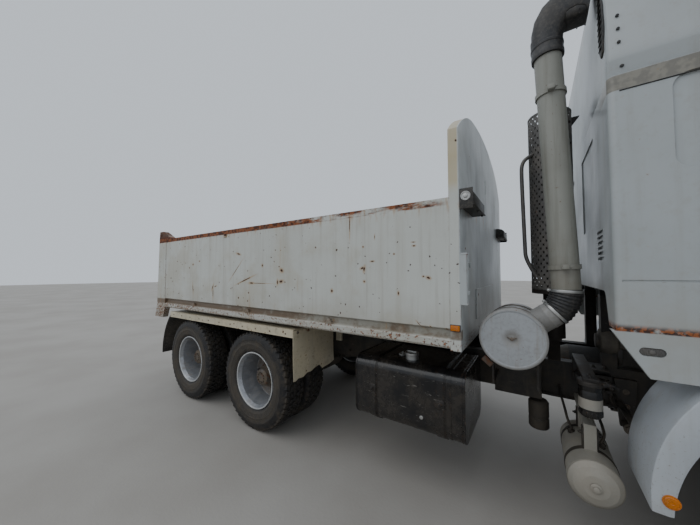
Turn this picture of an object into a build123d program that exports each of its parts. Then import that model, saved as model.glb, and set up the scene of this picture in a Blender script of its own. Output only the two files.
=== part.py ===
"""Three-axle cab-over dump truck: chassis, tilting cab, tipping tray, hinged tailgate and steered wheels.

Millimetres. +X is forward, +Y is the left side, +Z is up. The origin is on the ground, midway along the truck.
"""

import os
from math import asin, cos, pi, sin, sqrt

from build123d import *

# Overall sizes and the stations along the truck
TRAY_LENGTH = 4510
TRAY_WIDTH = 2500
CAB_GAP = 740
CAB_LENGTH = 2180
CAB_WIDTH = 2490
CAB_SETBACK = 70
FRONT_OVERHANG = 1330
REAR_OVERHANG = 1690
TANDEM_SPREAD = 1350
OVERALL_LENGTH = TRAY_LENGTH + CAB_GAP + CAB_LENGTH + CAB_SETBACK
X_FRONT = OVERALL_LENGTH / 2
X_REAR = -OVERALL_LENGTH / 2
X_AXLE_FRONT = X_FRONT - FRONT_OVERHANG
X_TANDEM = X_REAR + REAR_OVERHANG
X_AXLES_REAR = {"fore": X_TANDEM + TANDEM_SPREAD / 2, "aft": X_TANDEM - TANDEM_SPREAD / 2}
X_TRAY_FRONT = X_REAR + TRAY_LENGTH
SIDES = {"left": 1, "right": -1}

# Clearances between pieces
SEAT = 0.3
PIN_FIT = 0.1
HINGE_GAP = 5
MOVING_GAP = 8

# Tyres and wheels
TYRE_RADIUS = 518
TYRE_WIDTH = 280
TYRE_FACETS = 36
BEAD_RADIUS = 286
RIM_FLANGE_RADIUS = 298.5
RIM_WIDTH = 209
RIM_FLANGE = 13
WHEEL_OFFSET = 162.5
REAR_TRACK = 1885
FRONT_TRACK = 2020
HUB_BORE = 55
HAND_HOLES = 8
HAND_HOLE_RING = 228
HAND_HOLE_RADIUS = 22
AXLE_Z = TYRE_RADIUS

# Chassis rails
RAIL_TOP = 985
RAIL_HEIGHT = 280
RAIL_FLANGE = 90
RAIL_WALL = 8
FRAME_WIDTH = 860
RAIL_OUT = FRAME_WIDTH / 2
RAIL_IN = RAIL_OUT - RAIL_FLANGE
RAIL_BOTTOM = RAIL_TOP - RAIL_HEIGHT

# Tray and its hinge
SILL_HEIGHT = 180
SILL_WIDTH = 75
SILL_OUT = RAIL_OUT - 5
BEARER_HEIGHT = 55
FLOOR_PLATE = 25
TRAY_WALL = 40
SIDE_HEIGHT = 940
TIP_X = X_REAR + 370
TIP_Z = RAIL_TOP + 90
TIP_PIN = 25
SILL_BOTTOM = RAIL_TOP + SEAT
BEARER_BOTTOM = SILL_BOTTOM + SILL_HEIGHT
FLOOR_TOP = BEARER_BOTTOM + BEARER_HEIGHT + FLOOR_PLATE
SIDE_TOP = FLOOR_TOP + SIDE_HEIGHT
TRAY_HALF = TRAY_WIDTH / 2
HEADBOARD_TOP = 3000
HEADBOARD_DEPTH = 70

# Drawbar plate at the rear
TOW_X = X_REAR + 190
TOW_RADIUS = 25
TOW_PLATE = 40

# Hoist: the barrel turns on the chassis and the rod's eye meets the tray
HOIST_AHEAD = 2380
HOIST_X = TIP_X + HOIST_AHEAD
HOIST_Z = 790
HOIST_EYE_AHEAD = 1050
BARREL_RADIUS = 75
ROD_RADIUS = 40
EYE_X = TIP_X + HOIST_EYE_AHEAD
EYE_Z = TIP_Z

# Cab
CAB_WALL = 50
CAB_FLOOR_Z = 1385
CAB_FRONT_LOW = 858
BELT_Z = 1760
CAB_TOP = 2690
SCREEN_RAKE = 140
CAB_CORNER = 260
ROOF_TOP = 3450
DOOR_LENGTH = 1026
DOOR_FRONT_SETBACK = 302
DECK_STEP = 185
CAB_PIVOT_SETBACK = 120
CAB_PIVOT_Z = 870
CAB_PIN = 25
X_CAB_FRONT = X_FRONT - CAB_SETBACK
X_CAB_REAR = X_CAB_FRONT - CAB_LENGTH
X_CAB_PIVOT = X_CAB_FRONT - CAB_PIVOT_SETBACK
CAB_HALF = CAB_WIDTH / 2
SILL_PANEL_BOTTOM = 1166
X_DOOR_FRONT = X_CAB_FRONT - DOOR_FRONT_SETBACK
X_DOOR_REAR = X_DOOR_FRONT - DOOR_LENGTH

# Intake and exhaust, beside the cab's rear corner
CLEANER_X = X_CAB_REAR - 463
CLEANER_Z = 1260
CLEANER_RADIUS = 190
PIPE_Y = -1000
PIPE_RADIUS = 75
PIPE_FOOT = (X_CAB_REAR - 177, PIPE_Y, 1570)
PIPE_HEAD = (X_CAB_REAR - 236, PIPE_Y, 3050)
GUARD_X = X_CAB_REAR - 223
GUARD_Y = -600
GUARD_RADIUS = 135
GUARD_LOW = 1550
GUARD_HIGH = 2860

# Steering
KINGPIN_Y = FRONT_TRACK / 2 - 180
KINGPIN_RADIUS = 25
KNUCKLE_LOW = 446
KNUCKLE_HIGH = 590
ARM_REACH = 180
TIE_ROD_Z = 396

os.makedirs("parts", exist_ok=True)


def save(piece, name):
    piece.part.label = name
    export_step(piece.part, f"parts/{name}.step")


def span(side, near, far):
    """Low and high Y of something between two distances from the centre line, on one side."""
    return tuple(sorted((side * near, side * far)))


def block(x, y, z, mode=Mode.ADD):
    """A block between the low and high x, y and z."""
    with Locations(((x[0] + x[1]) / 2, (y[0] + y[1]) / 2, (z[0] + z[1]) / 2)):
        Box(x[1] - x[0], y[1] - y[0], z[1] - z[0], mode=mode)


def across(points, y, radius=0, mode=Mode.ADD):
    """Extrude an outline of (x, z) points across the truck, between two y."""
    with BuildSketch(Plane.XZ.offset(-y[0])) as outline:
        with BuildLine():
            Polyline(*points, close=True)
        make_face()
        if radius:
            fillet(outline.vertices(), radius)
    extrude(outline.sketch, amount=-(y[1] - y[0]), mode=mode)


def along(points, x, radius=0, mode=Mode.ADD):
    """Extrude an outline of (y, z) points along the truck, between two x."""
    with BuildSketch(Plane.YZ.offset(x[0])) as outline:
        with BuildLine():
            Polyline(*points, close=True)
        make_face()
        if radius:
            fillet(outline.vertices(), radius)
    extrude(outline.sketch, amount=x[1] - x[0], mode=mode)


def turned(points, x, z, mode=Mode.ADD):
    """Revolve an outline of (y, radius) points about a level axis across the truck."""
    with BuildSketch(Plane(origin=(x, 0, z), x_dir=(0, 1, 0), z_dir=(1, 0, 0))) as outline:
        with BuildLine():
            Polyline(*points, close=True)
        make_face()
    revolve(outline.sketch, axis=Axis((x, 0, z), (0, 1, 0)), mode=mode)


def rod(start, end, radius, mode=Mode.ADD):
    """A round bar from one point to another."""
    run = Vector(*end) - Vector(*start)
    with BuildSketch(Plane(origin=start, z_dir=run)) as outline:
        Circle(radius)
    extrude(outline.sketch, amount=run.length, mode=mode)


def both_sides():
    mirror(about=Plane.XZ)


# Chassis: two channel rails, their cross members and what hangs on them
RAIL_REAR = TIP_X - 90
RAIL_FRONT = X_CAB_PIVOT - 80

with BuildPart() as chassis_rails:
    channel = [
        (RAIL_OUT, RAIL_TOP),
        (RAIL_OUT, RAIL_BOTTOM),
        (RAIL_IN, RAIL_BOTTOM),
        (RAIL_IN, RAIL_BOTTOM + RAIL_WALL),
        (RAIL_OUT - RAIL_WALL, RAIL_BOTTOM + RAIL_WALL),
        (RAIL_OUT - RAIL_WALL, RAIL_TOP - RAIL_WALL),
        (RAIL_IN, RAIL_TOP - RAIL_WALL),
        (RAIL_IN, RAIL_TOP),
    ]
    along(channel, (RAIL_REAR, RAIL_FRONT))
    both_sides()
save(chassis_rails, "chassis_rails")

MEMBER_HALF = RAIL_OUT - RAIL_WALL - SEAT
# Each cross member: centre x, length along the truck, low z, high z
CROSS_MEMBERS = [
    (TIP_X, 160, RAIL_BOTTOM + 30, RAIL_TOP - 40),
    (X_TANDEM - TANDEM_SPREAD / 2, 80, RAIL_BOTTOM + 60, RAIL_BOTTOM + 160),
    (X_TANDEM, 120, RAIL_BOTTOM + 15, RAIL_BOTTOM + 150),
    (X_TRAY_FRONT - 700, 80, RAIL_BOTTOM + 60, RAIL_TOP - 40),
    (X_CAB_REAR - 700, 80, RAIL_TOP - 135, RAIL_TOP - 40),
    (RAIL_FRONT - 60, 80, RAIL_BOTTOM + 15, RAIL_BOTTOM + 150),
]
with BuildPart() as cross_members:
    for x, length, low, high in CROSS_MEMBERS:
        half, wall = length / 2, RAIL_WALL
        member = [
            (x - half, low),
            (x + half, low),
            (x + half, low + wall),
            (x - half + wall, low + wall),
            (x - half + wall, high - wall),
            (x + half, high - wall),
            (x + half, high),
            (x - half, high),
        ]
        across(member, (-MEMBER_HALF, MEMBER_HALF))
    # The hoist's foot: a cross member with two ears that hold the barrel's pin
    block((HOIST_X + 60, HOIST_X + 140), (-MEMBER_HALF, MEMBER_HALF), (RAIL_BOTTOM + 15, RAIL_BOTTOM + 150))
    for side in SIDES.values():
        ear = [
            (HOIST_X + 60, RAIL_BOTTOM + 20),
            (HOIST_X + 60, RAIL_BOTTOM + 145),
            (HOIST_X - 45, RAIL_BOTTOM + 145),
            (HOIST_X - 45, RAIL_BOTTOM + 50),
        ]
        across(ear, span(side, BARREL_RADIUS + 5, BARREL_RADIUS + 25))
    rod((HOIST_X, -BARREL_RADIUS - 25, HOIST_Z), (HOIST_X, BARREL_RADIUS + 25, HOIST_Z), TIP_PIN)
    # The tray's hinges: a cheek stands on the rear cross member, one on the rail's web, and a pin joins them
    for side in SIDES.values():
        for near, far, foot in (
            (RAIL_IN - 20, RAIL_IN - SEAT, RAIL_TOP - 41),
            (RAIL_OUT + SEAT, RAIL_OUT + 15, RAIL_BOTTOM + 60),
        ):
            cheek = [
                (TIP_X - 70, foot),
                (TIP_X + 80, foot),
                (TIP_X + 80, RAIL_TOP - 20),
                (TIP_X + 45, TIP_Z + 45),
                (TIP_X - 45, TIP_Z + 45),
                (TIP_X - 70, RAIL_TOP),
            ]
            across(cheek, span(side, near, far), radius=12)
        rod((TIP_X, side * (RAIL_IN - 20), TIP_Z), (TIP_X, side * (RAIL_OUT + 25), TIP_Z), TIP_PIN)
    # The drawbar plate behind the rear cross member, with the bore for a pin
    plate_z = RAIL_BOTTOM + 60
    with BuildSketch(Plane.XY.offset(plate_z)) as plate:
        with BuildLine():
            Polyline(
                (TIP_X - 40, -200),
                (TOW_X, -70),
                (TOW_X - 60, -40),
                (TOW_X - 60, 40),
                (TOW_X, 70),
                (TIP_X - 40, 200),
                close=True,
            )
        make_face()
        with Locations((TOW_X, 0)):
            Circle(TOW_RADIUS, mode=Mode.SUBTRACT)
    extrude(plate.sketch, amount=TOW_PLATE)
save(cross_members, "cross_members")

ENGINE_LENGTH = 1350
ENGINE_FRONT = X_AXLE_FRONT + 620
with BuildPart() as engine:
    across(
        [
            (ENGINE_FRONT, 640),
            (ENGINE_FRONT, 1240),
            (ENGINE_FRONT - 200, 1340),
            (ENGINE_FRONT - ENGINE_LENGTH, 1340),
            (ENGINE_FRONT - ENGINE_LENGTH, 640),
            (ENGINE_FRONT - ENGINE_LENGTH + 250, 560),
            (ENGINE_FRONT - 500, 560),
        ],
        (-RAIL_IN + 20, RAIL_IN - 20),
    )
save(engine, "engine")

GEARBOX_FRONT = ENGINE_FRONT - ENGINE_LENGTH - SEAT
DIFF_RADIUS = 200
with BuildPart() as driveline:
    gearbox_rear = GEARBOX_FRONT - 750
    rod((GEARBOX_FRONT, 0, 800), (GEARBOX_FRONT - 300, 0, 800), 230)
    rod((GEARBOX_FRONT - 300, 0, 800), (gearbox_rear, 0, 800), 160)
    nose = X_AXLES_REAR["fore"] + DIFF_RADIUS + 60
    rod((gearbox_rear, 0, 800), (nose + 15, 0, AXLE_Z + 60), 50)
    rod((nose + 30, 0, AXLE_Z + 60), (nose, 0, AXLE_Z + 60), 75)
    rod((gearbox_rear + 10, 0, 800), (gearbox_rear - 60, 0, 790), 80)
save(driveline, "driveline")

with BuildPart() as drive_axles:
    for x in X_AXLES_REAR.values():
        tube_end = REAR_TRACK / 2 - 232
        rod((x, -tube_end, AXLE_Z), (x, tube_end, AXLE_Z), 68)
        with BuildSketch(Plane.XZ.offset(-40)) as bowl_outline:
            with Locations((x, AXLE_Z)):
                Circle(DIFF_RADIUS)
        extrude(bowl_outline.sketch, amount=130, both=True)
        rod((x, 0, AXLE_Z + 60), (x + DIFF_RADIUS + 59.7, 0, AXLE_Z + 60), 85)
        for side in SIDES.values():
            rod((x, side * tube_end, AXLE_Z), (x, side * (REAR_TRACK / 2 + 40), AXLE_Z), HUB_BORE - SEAT)
            rod((x, side * (tube_end - 14), AXLE_Z), (x, side * tube_end, AXLE_Z), 190)
    between = X_AXLES_REAR["fore"] - DIFF_RADIUS + 20, X_AXLES_REAR["aft"] + DIFF_RADIUS + 20
    rod((between[0], 0, AXLE_Z + 60), (between[1], 0, AXLE_Z + 60), 45)
save(drive_axles, "drive_axles")

SPRING_Y = 510
SPRING_HALF_WIDTH = 45
with BuildPart() as springs:
    # Rear: a stack of leaves over each trunnion, its ends on the two axles
    rear_top = AXLE_Z + 68 + SEAT
    for leaf in range(4):
        reach = TANDEM_SPREAD / 2 + 70 - 150 * leaf
        low = rear_top + 22 * leaf
        across(
            [
                (X_TANDEM - reach, low),
                (X_TANDEM + reach, low),
                (X_TANDEM + reach, low + 22),
                (X_TANDEM - reach, low + 22),
            ],
            span(-1, SPRING_Y - SPRING_HALF_WIDTH, SPRING_Y + SPRING_HALF_WIDTH),
        )
    block(
        (X_TANDEM - 110, X_TANDEM + 110),
        span(-1, SPRING_Y - SPRING_HALF_WIDTH - 10, SPRING_Y + SPRING_HALF_WIDTH + 10),
        (rear_top - 90, rear_top + 100),
    )
    rod((X_TANDEM, -RAIL_OUT - SEAT, rear_top - 20), (X_TANDEM, -SPRING_Y, rear_top - 20), 55)
    across(
        [
            (X_TANDEM - 200, RAIL_TOP - 120),
            (X_TANDEM + 200, RAIL_TOP - 120),
            (X_TANDEM + 90, rear_top - 80),
            (X_TANDEM - 90, rear_top - 80),
        ],
        span(-1, RAIL_OUT + SEAT, RAIL_OUT + 22),
    )
    # Front: arched leaves over the axle beam, hung from hangers on the rail
    front_y = RAIL_OUT + 30, RAIL_OUT + 110
    for leaf in range(4):
        reach = 760 - 150 * leaf
        rise = 95 * (reach / 760) ** 2
        low = 520.3 + 16 * leaf
        with BuildSketch(Plane.XZ.offset(front_y[0])) as leaf_outline:
            with BuildLine():
                bottom = ThreePointArc(
                    (X_AXLE_FRONT - reach, low + rise), (X_AXLE_FRONT, low), (X_AXLE_FRONT + reach, low + rise)
                )
                Line(bottom @ 1, (X_AXLE_FRONT + reach, low + rise + 16))
                ThreePointArc(
                    (X_AXLE_FRONT + reach, low + rise + 16),
                    (X_AXLE_FRONT, low + 16),
                    (X_AXLE_FRONT - reach, low + rise + 16),
                )
                Line((X_AXLE_FRONT - reach, low + rise + 16), bottom @ 0)
            make_face()
        extrude(leaf_outline.sketch, amount=front_y[1] - front_y[0])
    for end in (-1, 1):
        x = X_AXLE_FRONT + end * 745
        across(
            [(x - 35, 600), (x + 35, 600), (x + 60, RAIL_TOP - 60), (x - 60, RAIL_TOP - 60)],
            span(-1, RAIL_OUT + SEAT, RAIL_OUT + 30),
        )
        rod((x, -RAIL_OUT - 20, 622), (x, -front_y[1], 622), 32)
    both_sides()
save(springs, "springs")

with BuildPart() as front_axle:
    beam_low, beam_high = KNUCKLE_LOW - 26, KNUCKLE_HIGH - 70
    drop = [
        (-KINGPIN_Y, KNUCKLE_LOW + SEAT),
        (-KINGPIN_Y + 110, KNUCKLE_LOW + 10),
        (-KINGPIN_Y + 190, beam_low),
        (KINGPIN_Y - 190, beam_low),
        (KINGPIN_Y - 110, KNUCKLE_LOW + 10),
        (KINGPIN_Y, KNUCKLE_LOW + SEAT),
        (KINGPIN_Y, KNUCKLE_HIGH - 10),
        (KINGPIN_Y - 110, KNUCKLE_HIGH - 20),
        (KINGPIN_Y - 190, beam_high),
        (-KINGPIN_Y + 190, beam_high),
        (-KINGPIN_Y + 110, KNUCKLE_HIGH - 20),
        (-KINGPIN_Y, KNUCKLE_HIGH - 10),
    ]
    along(drop, (X_AXLE_FRONT - 45, X_AXLE_FRONT + 45))
    for side in SIDES.values():
        foot = (X_AXLE_FRONT, side * KINGPIN_Y)
        rod((*foot, KNUCKLE_LOW + SEAT), (*foot, KNUCKLE_HIGH - SEAT), 48)
        rod((*foot, KNUCKLE_LOW), (*foot, KNUCKLE_HIGH), KINGPIN_RADIUS + PIN_FIT, mode=Mode.SUBTRACT)
    for face in (-1, 1):
        x = tuple(sorted((X_AXLE_FRONT + face * 20, X_AXLE_FRONT + face * 45)))
        block(x, (-KINGPIN_Y + 230, KINGPIN_Y - 230), (beam_low + 22, beam_high - 22), mode=Mode.SUBTRACT)
save(front_axle, "front_axle")

for name, side in SIDES.items():
    with BuildPart() as knuckle:
        foot = (X_AXLE_FRONT, side * KINGPIN_Y)
        rod((*foot, KNUCKLE_LOW - 50), (*foot, KNUCKLE_HIGH + 50), KINGPIN_RADIUS)
        for low, high in ((KNUCKLE_LOW - 50, KNUCKLE_LOW), (KNUCKLE_HIGH, KNUCKLE_HIGH + 50)):
            rod((*foot, low), (*foot, high), 46)
            block((X_AXLE_FRONT - 46, X_AXLE_FRONT + 46), span(side, KINGPIN_Y, KINGPIN_Y + 72), (low, high))
        web = span(side, KINGPIN_Y + 54, KINGPIN_Y + 72)
        block((X_AXLE_FRONT - 46, X_AXLE_FRONT + 46), web, (KNUCKLE_LOW - 50, KNUCKLE_HIGH + 50))
        hub_face = FRONT_TRACK / 2 - 100
        rod((foot[0], side * (KINGPIN_Y + 60), AXLE_Z), (foot[0], side * (hub_face - SEAT), AXLE_Z), 150)
        rod((foot[0], side * hub_face, AXLE_Z), (foot[0], side * (FRONT_TRACK / 2 + 110), AXLE_Z), HUB_BORE - SEAT)
        arm = [
            (X_AXLE_FRONT + 30, side * (KINGPIN_Y - 30)),
            (X_AXLE_FRONT + 30, side * (KINGPIN_Y + 40)),
            (X_AXLE_FRONT - 60, side * (KINGPIN_Y + 30)),
            (X_AXLE_FRONT - ARM_REACH - 25, side * (KINGPIN_Y - 10)),
            (X_AXLE_FRONT - ARM_REACH - 25, side * (KINGPIN_Y - 60)),
            (X_AXLE_FRONT - 60, side * (KINGPIN_Y - 40)),
        ]
        with BuildSketch(Plane.XY.offset(KNUCKLE_LOW - 50)) as arm_outline:
            with BuildLine():
                Polyline(*arm, close=True)
            make_face()
        extrude(arm_outline.sketch, amount=30)
    save(knuckle, f"knuckle_{name}")

with BuildPart() as tie_rod:
    x = X_AXLE_FRONT - ARM_REACH
    top = KNUCKLE_LOW - 50 - SEAT
    rod((x, -KINGPIN_Y + 35, top - 35), (x, KINGPIN_Y - 35, top - 35), 18)
    for side in SIDES.values():
        rod((x, side * (KINGPIN_Y - 35), top - 60), (x, side * (KINGPIN_Y - 35), top), 32)
save(tie_rod, "tie_rod")


def faceted_tyre(x, centre):
    """A tyre as a ring of flat facets, one of them flat on the ground."""
    half, seat = TYRE_WIDTH / 2, RIM_WIDTH / 2 - SEAT
    right = [(half * 0.82, TYRE_RADIUS), (half, TYRE_RADIUS - 95), (seat, RIM_FLANGE_RADIUS + 4), (seat, BEAD_RADIUS)]
    section = right + [(-y, r) for y, r in reversed(right)]
    step = 2 * pi / TYRE_FACETS
    rings = []
    for y, flat in section:
        reach = flat / cos(step / 2)
        angles = [step * (count + 0.5) for count in range(TYRE_FACETS)]
        rings.append([(x + reach * sin(a), centre + y, AXLE_Z + reach * cos(a)) for a in angles])
    faces = []
    for near, far in zip(rings, rings[1:] + rings[:1]):
        for a, b, c, d in zip(near, near[1:] + near[:1], far[1:] + far[:1], far):
            faces.append(Face(Wire.make_polygon([a, b, c, d])))
    return Solid(Shell(faces))


def rear_wheel_section():
    """Both rims, their joined discs, the drum and the hub, as (distance from the centre line, radius)."""
    middle = REAR_TRACK / 2
    outer, inner = middle + WHEEL_OFFSET, middle - WHEEL_OFFSET
    half, lip, seat = RIM_WIDTH / 2, RIM_FLANGE, BEAD_RADIUS - SEAT
    return [
        (outer + half + lip, RIM_FLANGE_RADIUS),
        (outer + half, RIM_FLANGE_RADIUS),
        (outer + half, seat),
        (outer - half, seat),
        (outer - half, RIM_FLANGE_RADIUS),
        (outer - half - lip, RIM_FLANGE_RADIUS),
        (outer - half - lip, 266),
        (inner + half + lip, 266),
        (inner + half + lip, RIM_FLANGE_RADIUS),
        (inner + half, RIM_FLANGE_RADIUS),
        (inner + half, seat),
        (inner - half, seat),
        (inner - half, RIM_FLANGE_RADIUS),
        (inner - half - lip, RIM_FLANGE_RADIUS),
        (inner - half - lip, 282),
        (inner, 262),
        (middle - 40, 250),
        (middle - 12, 225),
        (middle - 12, 205),
        (middle - 230, 205),
        (middle - 230, HUB_BORE),
        (middle + 45, HUB_BORE),
        (middle + 45, 0),
        (middle + 185, 0),
        (middle + 185, 66),
        (middle + 170, 88),
        (middle + 110, 105),
        (middle + 35, 118),
        (middle + 35, 165),
        (middle + 12, 170),
        (middle + 12, 225),
        (middle + 40, 250),
        (outer, 262),
        (outer + half - 30, 268),
        (outer + half + lip, 288),
    ]


def front_wheel_section():
    """The front rim, its outboard disc, the drum and the hub, as (distance from the centre line, radius)."""
    centre = FRONT_TRACK / 2
    half, lip, seat = RIM_WIDTH / 2, RIM_FLANGE, BEAD_RADIUS - SEAT
    return [
        (centre + half + lip, RIM_FLANGE_RADIUS),
        (centre + half, RIM_FLANGE_RADIUS),
        (centre + half, seat),
        (centre - half, seat),
        (centre - half, RIM_FLANGE_RADIUS),
        (centre - half - lip, RIM_FLANGE_RADIUS),
        (centre - half - lip, 282),
        (centre, 262),
        (centre + 110, 248),
        (centre + 146, 215),
        (centre + 146, 205),
        (centre - 100, 205),
        (centre - 100, HUB_BORE),
        (centre + 115, HUB_BORE),
        (centre + 115, 0),
        (centre + 222, 0),
        (centre + 222, 62),
        (centre + 205, 80),
        (centre + 175, 92),
        (centre + 175, 120),
        (centre + WHEEL_OFFSET, 124),
        (centre + WHEEL_OFFSET, 215),
        (centre + 130, 248),
        (centre + 80, 266),
        (centre + half + lip, 288),
    ]


def hand_holes(x, near, far):
    """Bore the hand holes through a wheel's disc, evenly round its hub."""
    for count in range(HAND_HOLES):
        angle = 2 * pi * count / HAND_HOLES
        hole_x, hole_z = x + HAND_HOLE_RING * cos(angle), AXLE_Z + HAND_HOLE_RING * sin(angle)
        rod((hole_x, near, hole_z), (hole_x, far, hole_z), HAND_HOLE_RADIUS, mode=Mode.SUBTRACT)


for name, side in SIDES.items():
    with BuildPart() as tyre:
        add(faceted_tyre(X_AXLE_FRONT, side * FRONT_TRACK / 2))
    save(tyre, f"tyre_front_{name}")
    with BuildPart() as wheel:
        turned([(side * y, r) for y, r in front_wheel_section()], X_AXLE_FRONT, AXLE_Z)
        hand_holes(X_AXLE_FRONT, side * FRONT_TRACK / 2, side * (FRONT_TRACK / 2 + WHEEL_OFFSET + 10))
    save(wheel, f"wheel_front_{name}")
    for place, x in X_AXLES_REAR.items():
        with BuildPart() as tyres:
            for offset in (-WHEEL_OFFSET, WHEEL_OFFSET):
                add(faceted_tyre(x, side * (REAR_TRACK / 2 + offset)))
        save(tyres, f"tyres_{place}_{name}")
        with BuildPart() as wheels:
            turned([(side * y, r) for y, r in rear_wheel_section()], x, AXLE_Z)
            hand_holes(x, side * (REAR_TRACK / 2 - 60), side * (REAR_TRACK / 2 + 60))
        save(wheels, f"wheels_{place}_{name}")

# What hangs on the chassis
TANK_X = (X_TRAY_FRONT - 900, X_TRAY_FRONT - 10)
TANK_Y = (-1120, -RAIL_OUT - 60)
TANK_Z = (470, 970)
with BuildPart() as fuel_tank:
    along(
        [(TANK_Y[0], TANK_Z[0]), (TANK_Y[1], TANK_Z[0]), (TANK_Y[1], TANK_Z[1]), (TANK_Y[0], TANK_Z[1])],
        TANK_X,
        radius=90,
    )
    for x in (TANK_X[0] + 170, TANK_X[1] - 170):
        # A strap round the tank, and the bracket that carries it on the rail
        along(
            [
                (TANK_Y[0] - 6, TANK_Z[0] - 6),
                (TANK_Y[1] + 6, TANK_Z[0] - 6),
                (TANK_Y[1] + 6, TANK_Z[1] + 6),
                (TANK_Y[0] - 6, TANK_Z[1] + 6),
            ],
            (x - 30, x + 30),
            radius=96,
        )
        block((x - 25, x + 25), (TANK_Y[1] - 60, -RAIL_OUT - SEAT), (RAIL_BOTTOM + 40, RAIL_TOP - 60))
        block((x - 25, x + 25), (TANK_Y[0] + 120, -RAIL_OUT - SEAT), (TANK_Z[0] - 40, TANK_Z[0] + 1))
        block((x - 25, x + 25), (-RAIL_OUT - 30, -RAIL_OUT - SEAT), (TANK_Z[0] - 40, RAIL_TOP - 60))
    rod((TANK_X[0] + 450, -960, TANK_Z[1] - 5), (TANK_X[0] + 450, -960, TANK_Z[1] + 30), 50)
save(fuel_tank, "fuel_tank")

BATTERY_X = (X_TRAY_FRONT - 560, X_TRAY_FRONT - 20)
with BuildPart() as battery_box:
    low, high, inner, outer, bevel = 560, RAIL_TOP - 45, RAIL_OUT + 60, 1100, 40
    along(
        [
            (inner, low),
            (outer - bevel, low),
            (outer, low + bevel),
            (outer, high - bevel),
            (outer - bevel, high),
            (inner, high),
        ],
        BATTERY_X,
    )
    for x in (BATTERY_X[0] + 110, BATTERY_X[1] - 110):
        block((x - 25, x + 25), (RAIL_OUT + SEAT, outer - bevel), (low - 40, low + 1))
        block((x - 25, x + 25), (RAIL_OUT + SEAT, inner + 1), (low - 40, RAIL_TOP - 60))
save(battery_box, "battery_box")

RESERVOIR_X = X_CAB_REAR - 80
RESERVOIR_Z = 490
RESERVOIR_RADIUS = 125
with BuildPart() as air_tank:
    shell = [
        (-1110, 0),
        (-1105, 60),
        (-1090, 100),
        (-1065, RESERVOIR_RADIUS),
        (-560, RESERVOIR_RADIUS),
        (-535, 100),
        (-520, 60),
        (-515, 0),
    ]
    turned(shell, RESERVOIR_X, RESERVOIR_Z)
    for y in (-930, -640):
        block((RESERVOIR_X - 30, RESERVOIR_X + 30), (y - 20, y + 20), (RESERVOIR_Z + 100, RAIL_BOTTOM + 55))
    shelf_z = (RAIL_BOTTOM + 25, RAIL_BOTTOM + 55)
    block((RESERVOIR_X - 30, RESERVOIR_X + 30), (-950, -RAIL_OUT - SEAT), shelf_z)
save(air_tank, "air_tank")

with BuildPart() as oil_filter:
    filter_top = RAIL_TOP + 60
    rod((RESERVOIR_X, -1000, filter_top - 215), (RESERVOIR_X, -1000, filter_top - 30), 55)
    rod((RESERVOIR_X, -1000, filter_top - 30), (RESERVOIR_X, -1000, filter_top), 62)
    shelf = (RESERVOIR_X - 35, RESERVOIR_X + 35)
    block(shelf, (-1040, -RAIL_OUT - SEAT), (filter_top - 1, filter_top + 15))
    block(shelf, (-RAIL_OUT - 16, -RAIL_OUT - SEAT), (RAIL_TOP - 125, filter_top + 15))
save(oil_filter, "oil_filter")

# Air cleaner, the elbow under the pipe, the pipe and its head
CLEANER_OUTER = -1150
CLEANER_INNER = -700
with BuildPart() as air_cleaner:
    turned(
        [
            (CLEANER_OUTER + 8, 0),
            (CLEANER_OUTER, 60),
            (CLEANER_OUTER + 4, CLEANER_RADIUS - 20),
            (CLEANER_OUTER + 14, CLEANER_RADIUS),
            (CLEANER_OUTER + 90, CLEANER_RADIUS),
            (CLEANER_OUTER + 92, CLEANER_RADIUS - 8),
            (CLEANER_INNER, CLEANER_RADIUS - 8),
            (CLEANER_INNER, 0),
        ],
        CLEANER_X,
        CLEANER_Z,
    )
    rod((CLEANER_X, PIPE_Y, CLEANER_Z), (CLEANER_X + 225, PIPE_Y, CLEANER_Z + 165), 78)
    cradle = [
        (CLEANER_X - 150, RAIL_BOTTOM + 60),
        (CLEANER_X + 150, RAIL_BOTTOM + 60),
        (CLEANER_X + 150, CLEANER_Z - 60),
        (CLEANER_X - 150, CLEANER_Z - 60),
    ]
    across(cradle, (CLEANER_INNER - 20, CLEANER_INNER))
    block(
        (CLEANER_X - 150, CLEANER_X + 150), (CLEANER_INNER - 1, -RAIL_OUT - SEAT), (RAIL_TOP - 80, RAIL_TOP - 60)
    )
save(air_cleaner, "air_cleaner")

PIPE_RUN = (Vector(*PIPE_HEAD) - Vector(*PIPE_FOOT)).normalized()
INLET_RUN = Vector(225, 0, 165).normalized()
ELBOW_START = Vector(CLEANER_X + 225, PIPE_Y, CLEANER_Z + 165) + INLET_RUN * SEAT
ELBOW_END = Vector(*PIPE_FOOT) - PIPE_RUN * SEAT
HEAD_HEIGHT = 120
HEAD_FRONT = X_CAB_REAR - 10
with BuildPart() as intake_ducts:
    with BuildLine() as elbow_path:
        Spline(ELBOW_START, ELBOW_END, tangents=(INLET_RUN, PIPE_RUN), tangent_scalars=(0.8, 0.8))
    with BuildSketch(Plane(origin=ELBOW_START, z_dir=INLET_RUN)) as elbow_section:
        Circle(PIPE_RADIUS + 8)
    sweep(elbow_section.sketch, path=elbow_path.line)
    # The head turns forward over the pipe and ends in a slanted mouth
    foot = Vector(*PIPE_HEAD) + PIPE_RUN * SEAT
    rod(foot, foot + PIPE_RUN * HEAD_HEIGHT, PIPE_RADIUS + 12)
    throat = foot.Z + 60
    across(
        [
            (foot.X - 80, throat),
            (foot.X - 80, throat + 190),
            (foot.X - 20, throat + 280),
            (foot.X + 80, throat + 310),
            (HEAD_FRONT, throat + 310),
            (HEAD_FRONT, throat + 190),
            (HEAD_FRONT - 55, throat + 55),
            (foot.X + 85, throat + 30),
            (foot.X + 60, throat),
        ],
        (PIPE_Y - 85, PIPE_Y + 85),
        radius=8,
    )
save(intake_ducts, "intake_ducts")

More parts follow.
